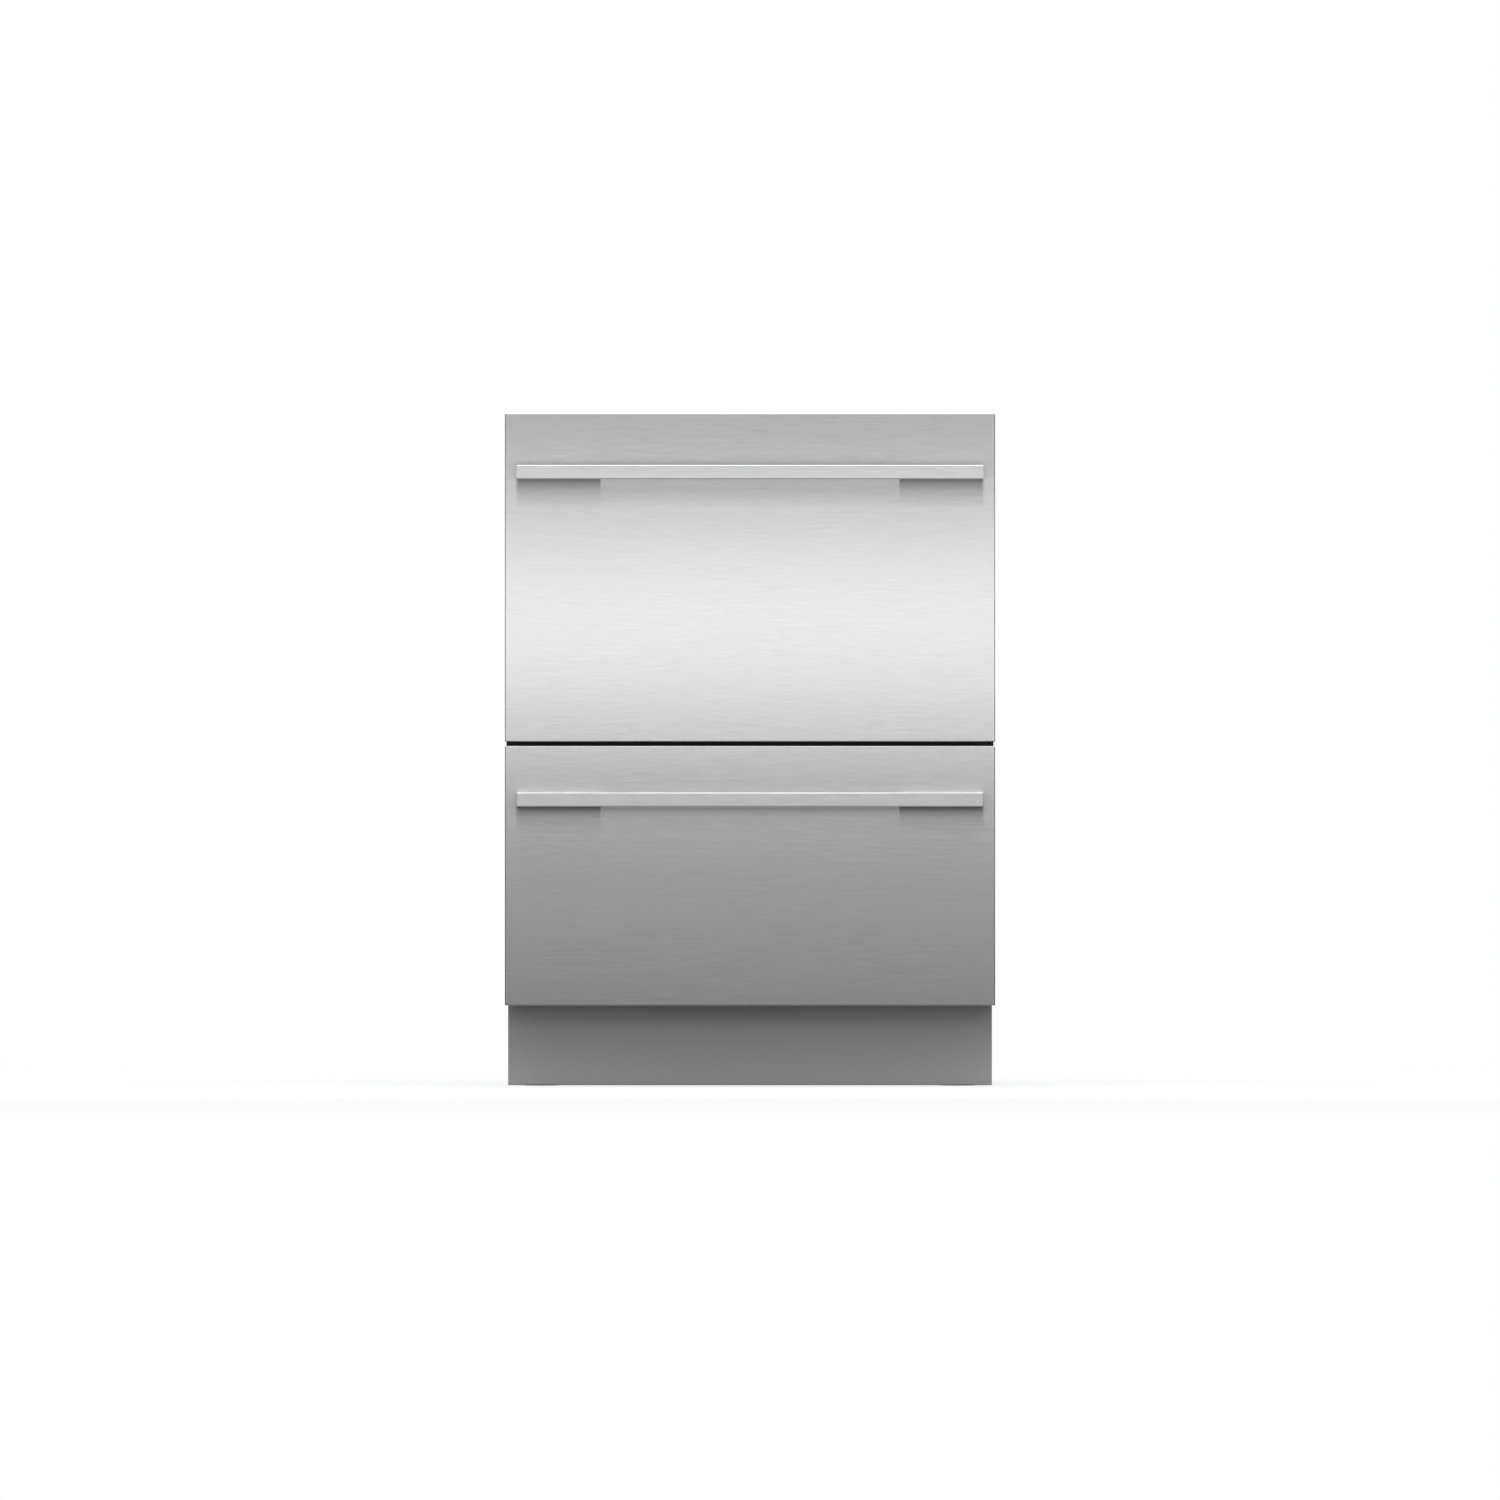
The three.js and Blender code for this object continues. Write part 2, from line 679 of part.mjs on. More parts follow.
// Black cross rail behind the gap between the two fronts.
function midRailBody() {
  const top = UPPER_BOTTOM + RAIL_OVERLAP;
  const half = HEM_X - RUN;
  const section = sheetSection(
    [
      [CHASSIS_Y + RAIL_DEPTH, top - RAIL_H],
      [CHASSIS_Y, top - RAIL_H],
      [CHASSIS_Y, top],
      [CHASSIS_Y + RAIL_DEPTH, top],
    ],
    -SHEET,
  );
  return alongX(section, -half, half);
}

// Recessed kick plate with folded edges and closed ends.
function toeKickBody() {
  const rear = TOE_RECESS + TOE_FLANGE;
  const section = sheetSection(
    [
      [rear, FLOOR_GAP],
      [TOE_RECESS, FLOOR_GAP],
      [TOE_RECESS, TOE_TOP],
      [rear, TOE_TOP],
    ],
    -SHEET,
  );
  const sunk = SHEET / 2;
  const ends = [-SIDE_X, SIDE_X - SHEET].map((x) =>
    box(x, x + SHEET, TOE_RECESS + sunk, rear, FLOOR_GAP + sunk, TOE_TOP - sunk),
  );
  return join(alongX(section, -SIDE_X, SIDE_X), ...ends);
}

// Rubber trim on the chassis front edge: a base strip, and a thin lip that stands out past the sides
// and top to close the slit to the cabinets.
function edgeSealBody() {
  const arch = (outerX, outerTop) =>
    polygon([
      [-outerX, TRIM_BOTTOM],
      [-outerX, outerTop],
      [outerX, outerTop],
      [outerX, TRIM_BOTTOM],
      [HEM_X, TRIM_BOTTOM],
      [HEM_X, CHASSIS_TOP - SHEET - TOP_LIP_H],
      [-HEM_X, CHASSIS_TOP - SHEET - TOP_LIP_H],
      [-HEM_X, TRIM_BOTTOM],
    ]);
  const base = alongY(arch(SIDE_X, CHASSIS_TOP), TRIM_Y, TRIM_Y + TRIM_T);
  const lip = alongY(
    arch(SIDE_X + TRIM_LIP, CHASSIS_TOP + TRIM_TOP_LIP),
    TRIM_Y,
    TRIM_Y + TRIM_LIP_T,
  );
  return join(base, lip);
}

// Water inlet valve: flange, threaded nozzle and coil.
function inletValveBody() {
  const y = CHASSIS_DEPTH - SERVICE_DEPTH + FIT;
  const x = -SIDE_X + 90;
  const z = SERVICE_H - 32;
  const thread = spread(14, 22, 2).flatMap((h) => [
    [12, h],
    [13.2, h + 1],
    [12, h + 2],
  ]);
  const nozzle = turned(
    [[0, 1], [16, 1], [16, 8], [12, 8], ...thread, [12, 28], [9, 28], [9, 12], [0, 12]],
    12,
    [x, y, z],
    AXIS_Y,
  );
  const flange = alongY(roundedRectangle(x - 24, x + 24, z - 20, z + 20, 5, 2), y, y + 4);
  const coil = alongY(roundedRectangle(x - 14, x + 14, z - 38, z - 14, 4, 2), y, y + 26);
  return join(flange, nozzle, coil);
}

// Gland where the mains cable leaves the chassis.
function cableGlandBody() {
  const y = CHASSIS_DEPTH - SERVICE_DEPTH + FIT;
  return turned(
    [
      [0, 0],
      [14, 0],
      [14, 4],
      [11, 6],
      [11, 12],
      [8, 18],
      [8, 22],
      [4.5, 22],
      [4.5, 6],
      [0, 6],
    ],
    12,
    [SIDE_X - 90, y, SERVICE_H - 32],
    AXIS_Y,
  );
}

function chassis() {
  const group = new THREE.Group();
  const left = piece("side_panel_left", sidePanelBody(), GALVANISED);
  left.scale.x = -1;
  group.add(
    left,
    piece("side_panel_right", sidePanelBody(), GALVANISED),
    piece("rear_panel", rearPanelBody(), GALVANISED),
    piece("top_panel", topPanelBody(), GALVANISED),
    piece("base_tray", baseTrayBody(), GALVANISED),
    piece("mid_rail", midRailBody(), BLACK_PLASTIC),
    piece("toe_kick", toeKickBody(), TOE_PAINT),
    piece("edge_seal", edgeSealBody(), RUBBER),
    piece("inlet_valve", inletValveBody(), WHITE_PLASTIC),
    piece("cable_gland", cableGlandBody(), BLACK_PLASTIC),
  );
  const names = ["foot_front_left", "foot_front_right", "foot_rear_left", "foot_rear_right"];
  footPlaces().forEach(([x, y], i) => {
    const foot = piece(names[i], footBody(), BLACK_PLASTIC);
    foot.position.set(x, y, 0);
    group.add(foot);
  });
  return group;
}

// ---------------------------------------------------------------- drawer front

// Steel front, folded back at all four edges and turned in behind.
function frontPanelBody(height) {
  const half = FRONT_W / 2;
  // An outline with its two front corners rounded, from one side of the front to the other.
  const wrapped = (from, to) => {
    const corner = (side, middle) =>
      spread(0, Math.PI / 2, 4).map((a) => [
        FRONT_EDGE_R * (1 - Math.cos(a)),
        middle + side * FRONT_EDGE_R * Math.sin(a),
      ]);
    return [
      [FRONT_T, from],
      ...corner(-1, from + FRONT_EDGE_R).reverse(),
      ...corner(1, to - FRONT_EDGE_R),
      [FRONT_T, to],
    ];
  };
  const sideView = polygon(wrapped(0, height));
  const topView = polygon(wrapped(-half, half).map(([y, x]) => [x, y]));
  const block = alongX(sideView, -half, half).intersect(alongZ(topView, 0, height));
  const hollow = box(
    -half + FRONT_SKIN,
    half - FRONT_SKIN,
    FRONT_SKIN,
    FRONT_T - FRONT_SKIN,
    FRONT_SKIN,
    height - FRONT_SKIN,
  );
  const window = box(
    -half + FRONT_RETURN,
    half - FRONT_RETURN,
    FRONT_T / 2,
    FRONT_T + 1,
    FRONT_RETURN,
    height - FRONT_RETURN,
  );
  return cut(block, hollow, window);
}

// Bar handle: a square-edged bar whose ends run back to the front in long feet.
function handleBody(top) {
  const half = HANDLE_L / 2;
  const face = -FIT - HANDLE_REACH - HANDLE_BAR_T;
  const inner = half - HANDLE_FOOT_L;
  const gapBack = face + HANDLE_BAR_T;
  const plan = polygon([
    [-half, face],
    [half, face],
    [half, -FIT],
    [inner, -FIT],
    [inner, gapBack + HANDLE_FOOT_R],
    [inner - HANDLE_FOOT_R * 0.3, gapBack + HANDLE_FOOT_R * 0.3],
    [inner - HANDLE_FOOT_R, gapBack],
    [-inner + HANDLE_FOOT_R, gapBack],
    [-inner + HANDLE_FOOT_R * 0.3, gapBack + HANDLE_FOOT_R * 0.3],
    [-inner, gapBack + HANDLE_FOOT_R],
    [-inner, -FIT],
    [-half, -FIT],
  ]);
  const side = roundedRectangle(face, FRONT_T, top - HANDLE_H, top, HANDLE_EDGE_R, 2);
  const front = roundedRectangle(-half, half, top - HANDLE_H, top, HANDLE_EDGE_R, 2);
  return alongZ(plan, top - HANDLE_H, top)
    .intersect(alongX(side, -half, half))
    .intersect(alongY(front, face, 0));
}

const buttonPlaces = [-BUTTON_PITCH / 2, BUTTON_PITCH / 2];

// The pocket's place behind the tub's front wall, in the drawer's own heights.
const dispenserBox = {
  x0: DISPENSER_X - DISPENSER_W / 2,
  x1: DISPENSER_X + DISPENSER_W / 2,
  z0: TUB_FLOOR + DISPENSER_RISE,
  z1: TUB_FLOOR + DISPENSER_RISE + DISPENSER_H,
};

// Moulded carrier between the steel front and the tub, with the controls along its top edge.
function innerFrontBody(height) {
  const half = INNER_FRONT_W / 2;
  const top = height - INNER_FRONT_TOP_DROP;
  const middleY = INNER_FRONT_Y + INNER_FRONT_T / 2;
  const block = alongY(
    roundedRectangle(-half, half, 1, top, INNER_FRONT_R, 2),
    INNER_FRONT_Y,
    INNER_FRONT_BACK,
  );
  const border = FRONT_RETURN + CARRIER_RIB / 2;
  const pitch = (INNER_FRONT_W - 2 * border + CARRIER_RIB) / CARRIER_CELLS;
  const hollows = Array.from({ length: CARRIER_CELLS }, (_, i) => {
    const x = -half + border + pitch * i;
    return alongY(
      roundedRectangle(x, x + pitch - CARRIER_RIB, FRONT_RETURN, top - border, 8, 1),
      INNER_FRONT_Y - PAST,
      INNER_FRONT_Y + CARRIER_CELL_DEPTH,
    );
  });
  const buttonPockets = buttonPlaces.map((x) =>
    alongZ(
      roundedRectangle(
        x - BUTTON_W / 2 - RUN,
        x + BUTTON_W / 2 + RUN,
        middleY - BUTTON_D / 2 - RUN,
        middleY + BUTTON_D / 2 + RUN,
        BUTTON_R + RUN,
        2,
      ),
      top - BUTTON_H - BUTTON_TRAVEL,
      top + PAST,
    ),
  );
  const room = TUB_WALL + 1;
  const dispenserRoom = box(
    dispenserBox.x0 - room,
    dispenserBox.x1 + room,
    dispenserFront() - 1,
    INNER_FRONT_BACK + PAST,
    dispenserBox.z0 - room,
    dispenserBox.z1 + room,
  );
  return cut(block, ...hollows, ...buttonPockets, dispenserRoom);
}

function buttonBody(height) {
  const top = height - INNER_FRONT_TOP_DROP + BUTTON_PROUD;
  const middleY = INNER_FRONT_Y + INNER_FRONT_T / 2;
  return alongZ(
    roundedRectangle(
      -BUTTON_W / 2,
      BUTTON_W / 2,
      middleY - BUTTON_D / 2,
      middleY + BUTTON_D / 2,
      BUTTON_R,
      2,
    ),
    top - BUTTON_H,
    top,
  );
}

// ---------------------------------------------------------------- wash tub

const TUB_FRONT_FACE = TUB_Y + TUB_LIP; // outside of the front wall at the rim

// The foremost face of the dispenser's case.
function dispenserFront() {
  return TUB_FRONT_FACE + TUB_WALL + TUB_DRAFT - DISPENSER_DEPTH - TUB_WALL;
}

// The inner face of the dispenser's frame, upright before the drafted wall.
function dispenserFace() {
  return TUB_FRONT_FACE + TUB_WALL + TUB_DRAFT + DISPENSER_PROUD;
}

// Rings of the tub's skin, set in from its outside by a wall: floor fillet first, then the drafted wall.
function tubRings(inset, floor, rim) {
  const at = (extra, z) => {
    const away = TUB_LIP + inset + extra;
    const radius = TUB_CORNER_R - inset - extra;
    const x = TUB_W / 2 - away;
    return ring(-x, x, TUB_Y + away, TUB_REAR - away, radius, z);
  };
  const fillet = spread(0, Math.PI / 2, 3).map((a) =>
    at(TUB_DRAFT + TUB_FLOOR_R * (1 - Math.sin(a)), floor + TUB_FLOOR_R * (1 - Math.cos(a))),
  );
  return [...fillet, at(0, rim)];
}

// Moulded wash tub: drafted walls with a rim lip, a round sump, pads for the runners and a window for
// the dispenser.
function tubBody(height) {
  const rim = height - TUB_RIM_DROP;
  const outside = loft(tubRings(0, TUB_FLOOR - TUB_WALL, rim));
  const inside = loft(tubRings(TUB_WALL, TUB_FLOOR, rim + PAST));
  const lip = alongZ(
    roundedRectangle(-TUB_W / 2, TUB_W / 2, TUB_Y, TUB_REAR, TUB_CORNER_R),
    rim - TUB_WALL,
    rim,
  );
  const sumpFloor = TUB_FLOOR - SUMP_DEPTH;
  const sumpOutside = rod(
    SUMP_R + TUB_WALL,
    [0, TUB_MIDDLE, sumpFloor - TUB_WALL],
    [0, TUB_MIDDLE, TUB_FLOOR - TUB_WALL / 2],
    24,
  );
  const sumpInside = rod(
    SUMP_R,
    [0, TUB_MIDDLE, sumpFloor],
    [0, TUB_MIDDLE, TUB_FLOOR + PAST],
    24,
  );
  const padZ = rim - RUNNER_DROP;
  const pads = SIDES.map(({ sign }) => {
    const x = [sign * (PAD_X - TUB_LIP - TUB_DRAFT), sign * PAD_X].sort((a, b) => a - b);
    return box(
      ...x,
      TUB_MIDDLE - PAD_LENGTH / 2,
      TUB_MIDDLE + PAD_LENGTH / 2,
      padZ - PAD_H / 2,
      padZ + PAD_H / 2,
    );
  });
  const { x0, x1, z0, z1 } = dispenserBox;
  const around = TUB_WALL + FIT;
  const dispenserWindow = box(
    x0 - around,
    x1 + around,
    TUB_FRONT_FACE - PAST,
    dispenserFace(),
    z0 - around,
    z1 + around,
  );
  const shell = cut(join(outside, lip, sumpOutside, ...pads), inside);
  return cut(shell, sumpInside, dispenserWindow);
}

// Dispenser: a case that reaches out through the tub's wall, a frame on the wall's inside and two lugs
// for the door.
function dispenserBody() {
  const { x0, x1, z0, z1 } = dispenserBox;
  const frame = DISPENSER_FRAME;
  const flangeBack = TUB_FRONT_FACE + TUB_WALL + TUB_DRAFT;
  const casing = box(
    x0 - TUB_WALL,
    x1 + TUB_WALL,
    dispenserFront(),
    flangeBack + PAST,
    z0 - TUB_WALL,
    z1 + TUB_WALL,
  );
  const flange = box(x0 - frame, x1 + frame, flangeBack, dispenserFace(), z0 - frame, z1 + frame);
  const pocket = box(x0, x1, dispenserFront() + TUB_WALL, dispenserFace() + PAST, z0, z1);
  const lugs = [x0 - frame, x1 + frame - LUG_W].map((x) =>
    box(
      x,
      x + LUG_W,
      dispenserFace() - 1,
      doorAxis.y + LUG_H / 2,
      doorAxis.z - LUG_H / 2,
      doorAxis.z + LUG_H / 2,
    ),
  );
  const pinHoles = rod(
    DOOR_PIN_R + RUN,
    [x0 - frame - PAST, doorAxis.y, doorAxis.z],
    [x1 + frame + PAST, doorAxis.y, doorAxis.z],
    8,
  );
  return cut(join(casing, flange, ...lugs), pocket, pinHoles);
}

// Hinge line of the dispenser door, along its lower edge.
const doorAxis = {
  y: dispenserFace() + FIT + DOOR_T / 2,
  z: dispenserBox.z0 + DOOR_PIN_RISE,
};

// Dispenser door with a rounded hinge edge and a pin at each end.
function dispenserDoorBody() {
  const { x0, x1 } = dispenserBox;
  const half = DOOR_T / 2;
  const round = spread(Math.PI, 2 * Math.PI, 5).map((a) => [
    doorAxis.y + half * Math.cos(a),
    doorAxis.z + half * Math.sin(a),
  ]);
  const section = polygon([
    ...round,
    [doorAxis.y + half, doorAxis.z + DOOR_H - half],
    [doorAxis.y, doorAxis.z + DOOR_H],
    [doorAxis.y - half, doorAxis.z + DOOR_H],
  ]);
  const plate = alongX(section, x0 + RUN, x1 - RUN);
  const pin = rod(
    DOOR_PIN_R,
    [x0 - DISPENSER_FRAME + 1, doorAxis.y, doorAxis.z],
    [x1 + DISPENSER_FRAME - 1, doorAxis.y, doorAxis.z],
    8,
  );
  return join(plate, pin);
}

// ---------------------------------------------------------------- runners and lid

// A C-shaped runner member for the right side, open to the left or right. A ball track is pressed
// into the middle of both flanges, at the same place in all three members.
function runnerBody(webX, direction, reach, halfHeight, z) {
  const trackX = (OUTER_X + INNER_X) / 2;
  const flange = (side) => [
    [webX, z + side * halfHeight],
    [trackX - (direction * TRACK_W) / 2, z + side * halfHeight],
    [trackX, z + side * (halfHeight - TRACK_DEPTH)],
    [trackX + (direction * TRACK_W) / 2, z + side * halfHeight],
    [webX + direction * reach, z + side * halfHeight],
  ];
  const section = sheetSection([...flange(-1).reverse(), ...flange(1)], direction * -RUNNER_T);
  return alongY(section, RUNNER_Y, RUNNER_Y + RUNNER_L);
}

function runnerMembers(height) {
  const z = height - TUB_RIM_DROP - RUNNER_DROP;
  const step = RUNNER_T + RUN;
  const outerHalf = RUNNER_H / 2;
  const open = OUTER_X - INNER_X;
  return {
    outer: runnerBody(OUTER_X, -1, open - 2 * step, outerHalf, z),
    middle: runnerBody(MIDDLE_X, -1, open - 2 * step - RUNNER_T, outerHalf - step, z),
    inner: runnerBody(INNER_X, 1, open - 2 * step, outerHalf - 2 * step, z),
  };
}

const LID_X = TUB_W / 2 - LID_SIDE_GAP;

function lidHeights(height) {
  const rim = height - TUB_RIM_DROP;
  const under = rim + LID_LIFT + FIT + SEAL_PROUD;
  return { rim, under, top: under + LID_T, pin: under + LID_T / 2 };
}

const lidPinPlaces = [TUB_MIDDLE - LID_PIN_PITCH / 2, TUB_MIDDLE + LID_PIN_PITCH / 2];

// Outline of the seal's path, set in from the lid's edge.
const sealOutline = (inset) =>
  roundedRectangle(
    -LID_X + inset,
    LID_X - inset,
    CHASSIS_Y + inset,
    TUB_REAR - inset,
    TUB_CORNER_R - inset,
  );

// Lid: a ribbed plate with two pins on each side and a groove underneath for its rubber seal.
function lidBody(height) {
  const { under, top, pin } = lidHeights(height);
  const plate = alongZ(sealOutline(0), under, top);
  const half = LID_RIB / 2;
  const columns = spread(-LID_X + LID_EDGE, LID_X - LID_EDGE, LID_COLUMNS + 1);
  const rows = spread(CHASSIS_Y + LID_EDGE, TUB_REAR - LID_EDGE, LID_ROWS + 1);
  const wells = columns.slice(1).flatMap((x1, i) =>
    rows.slice(1).map((y1, j) =>
      alongZ(
        roundedRectangle(columns[i] + half, x1 - half, rows[j] + half, y1 - half, 10, 1),
        under + LID_SKIN,
        top + PAST,
      ),
    ),
  );
  const groove = cut(
    alongZ(sealOutline(SEAL_INSET - FIT), under - PAST, under + SEAL_H - SEAL_PROUD + FIT),
    alongZ(sealOutline(SEAL_INSET + SEAL_W + FIT), under - 2 * PAST, under + SEAL_H),
  );
  const pins = lidPinPlaces.map((y) =>
    rod(LID_PIN_R, [-LID_X - LID_PIN_L, y, pin], [LID_X + LID_PIN_L, y, pin], 8),
  );
  const sidePins = pins.map((bar) =>
    cut(bar, box(-LID_X + 2, LID_X - 2, 0, TUB_REAR, under - LID_T, top + LID_T)),
  );
  return cut(join(plate, ...sidePins), ...wells, groove);
}

// Housing on the right chassis side that lifts the lid by its pins in two upright slots.
function lidLifterBody(height) {
  const { rim, pin } = lidHeights(height);
  const x0 = LID_X + 1 + RUN;
  const x1 = OUTER_X;
  const y0 = TUB_MIDDLE - LIFTER_L / 2;
  const y1 = TUB_MIDDLE + LIFTER_L / 2;
  const housing = alongX(
    roundedRectangle(y0, y1, rim + LIFTER_BASE, rim + LIFTER_TOP, 5, 2),
    x0,
    x1,
  );
  const play = LID_PIN_R + RUN;
  const slots = lidPinPlaces.map((y) =>
    alongX(
      roundedRectangle(y - play, y + play, pin - LID_LIFT - play, pin + play, play * 0.5, 1),
      x0 - PAST,
      LID_X + LID_PIN_L + RUN,
    ),
  );
  return cut(housing, ...slots);
}

// ---------------------------------------------------------------- spray system

// Flat wash motor under the sump, with cooling fins and a drain spigot.
function washMotorBody() {
  const bottom = DRAWER_UNDER;
  const top = TUB_FLOOR - SUMP_DEPTH - TUB_WALL - FIT;
  const housing = turned(
    [
      [0, bottom + 2],
      [MOTOR_R - 35, bottom + 2],
      [MOTOR_R - 29, bottom + 6],
      [MOTOR_R - 3, bottom + 6],
      [MOTOR_R, bottom + 9],
      [MOTOR_R, top - 6],
      [MOTOR_R - 7, top],
      [0, top],
    ],
    20,
    [0, TUB_MIDDLE, 0],
  );
  const finL = MOTOR_R - 42;
  const finH = 8;
  const fins = Array.from({ length: MOTOR_FINS }, (_, i) => {
    const geometry = new THREE.BoxGeometry(finL, 3, finH);
    geometry.translate(MOTOR_R - 8 - finL / 2, 0, bottom + finH / 2);
    geometry.rotateZ(((i + 0.5) / MOTOR_FINS) * 2 * Math.PI);
    return solid(geometry.translate(0, TUB_MIDDLE, 0));
  });
  const spigotX = MOTOR_R / 2;
  const spigotZ = (bottom + top) / 2;
  const spigotFrom = [spigotX, TUB_MIDDLE + MOTOR_R / 2, spigotZ];
  const spigotTo = [spigotX, TUB_MIDDLE + MOTOR_R + 25, spigotZ];
  return join(housing, ...fins, rod(SPIGOT_R, spigotFrom, spigotTo, 12));
}

// Round filter plate with radial slots, a skirt that stands in the sump and the spray arm's post.
function filterPlateBody() {
  const foot = TUB_FLOOR - SUMP_DEPTH + FIT;
  const top = TUB_FLOOR - FILTER_DROP;
  const under = top - FILTER_T;
  const radius = SUMP_R - FILTER_GAP;
  const stem = HUB_R + 6;
  const shoulder = TUB_FLOOR + ARM_RISE;
  const plate = turned(
    [
      [0, foot],
      [stem, foot],
      [stem, under],
      [radius - FILTER_SKIRT, under],
      [radius - FILTER_SKIRT, foot],
      [radius, foot],
      [radius, top],
      [stem + 2, top],
      [stem, shoulder],
      [HUB_R, shoulder],
      [HUB_R, shoulder + HUB_H],
      [0, shoulder + HUB_H],
    ],
    20,
    [0, TUB_MIDDLE, 0],
  );
  const slots = Array.from({ length: FILTER_SLOTS }, (_, i) => {
    const geometry = new THREE.BoxGeometry(radius * 0.55, FILTER_SLOT_W, 2 * FILTER_T + PAST);
    geometry.translate(radius * 0.6, 0, top - FILTER_T / 2);
    geometry.rotateZ(((i + 0.5) / FILTER_SLOTS) * 2 * Math.PI);
    return solid(geometry.translate(0, TUB_MIDDLE, 0));
  });
  return cut(plate, ...slots);
}

// Two-ended spray arm, swept into an S, with jets along it, on a bell that covers the post.
function sprayArmBody() {
  const bottom = TUB_FLOOR + ARM_RISE + RUN;
  const stations = spread(-1, 1, 7);
  const middle = (t) => ARM_SWEEP * Math.sin(Math.PI * t);
  const width = (t) => ARM_W * (1 - 0.45 * t * t);
  const outline = [
    ...stations.map((t) => [ARM_R * t, middle(t) - width(t) / 2]),
    ...stations.reverse().map((t) => [ARM_R * t, middle(t) + width(t) / 2]),
  ];
  const bevel = 3;
  const blade = new THREE.ExtrudeGeometry(polygon(outline), {
    depth: ARM_T - 2 * bevel,
    bevelSize: bevel,
    bevelThickness: bevel,
    bevelOffset: -bevel,
    bevelSegments: 1,
  });
  const bladeZ = bottom + 4;
  blade.translate(0, TUB_MIDDLE, bladeZ + bevel);
  const bellTop = bottom + HUB_H + 5;
  const bell = turned(
    [
      [0, bottom],
      [HUB_R + 8, bottom],
      [HUB_R + 18, bottom + 6],
      [HUB_R + 18, bellTop - 6],
      [HUB_R + 6, bellTop],
      [0, bellTop],
    ],
    14,
    [0, TUB_MIDDLE, 0],
  );
  const jets = [-1, 1].flatMap((half) =>
    spread(0.3, 0.9, NOZZLES).map((t) =>
      turned(
        [[0, -NOZZLE_H], [NOZZLE_R, -NOZZLE_H], [NOZZLE_R * 0.6, NOZZLE_H], [0, NOZZLE_H]],
        6,
        [half * t * ARM_R, TUB_MIDDLE + middle(half * t), bladeZ + ARM_T],
      ),
    ),
  );
  const bore = rod(
    HUB_R + RUN,
    [0, TUB_MIDDLE, bottom - PAST],
    [0, TUB_MIDDLE, bottom + HUB_H + RUN],
    14,
  );
  return cut(join(solid(blade), bell, ...jets), bore);
}

// ---------------------------------------------------------------- baskets

const BASKET_X = TUB_W / 2 - TUB_LIP - TUB_WALL - BASKET_SIDE_GAP;
const BASKET_Y0 = TUB_FRONT_FACE + TUB_WALL + BASKET_FRONT_GAP;
const BASKET_Y1 = TUB_REAR - TUB_LIP - TUB_WALL - BASKET_REAR_GAP;
const BASKET_Z = TUB_FLOOR + BASKET_RISE;
const longWirePlaces = spread(-BASKET_X + WIRE_SIDE_INSET, BASKET_X - WIRE_SIDE_INSET, LONG_WIRES);
const crossWirePlaces = spread(BASKET_Y0 + WIRE_END_INSET, BASKET_Y1 - WIRE_END_INSET, CROSS_WIRES);
const clipPlaces = [crossWirePlaces[1], crossWirePlaces[CROSS_WIRES - 2]];
const WIRE_FLAT = (WIRE * Math.SQRT1_2) / 2; // from the middle of a square wire to its faces

// Hinge line of the folding cup rack, inside the basket's left wall.
const rackAxis = { x: -BASKET_X + PIVOT_INSET, z: BASKET_Z + CUP_RACK_RISE };

// A flat hoop round the basket at one height.
function hoop(z, thickness) {
  const outline = (away) =>
    roundedRectangle(
      -BASKET_X - away,
      BASKET_X + away,
      BASKET_Y0 - away,
      BASKET_Y1 + away,
      BASKET_R + away,
      3,
    );
  return cut(
    alongZ(outline(thickness / 2), z - thickness / 2, z + thickness / 2),
    alongZ(outline(-thickness / 2), z - thickness, z + thickness),
  );
}

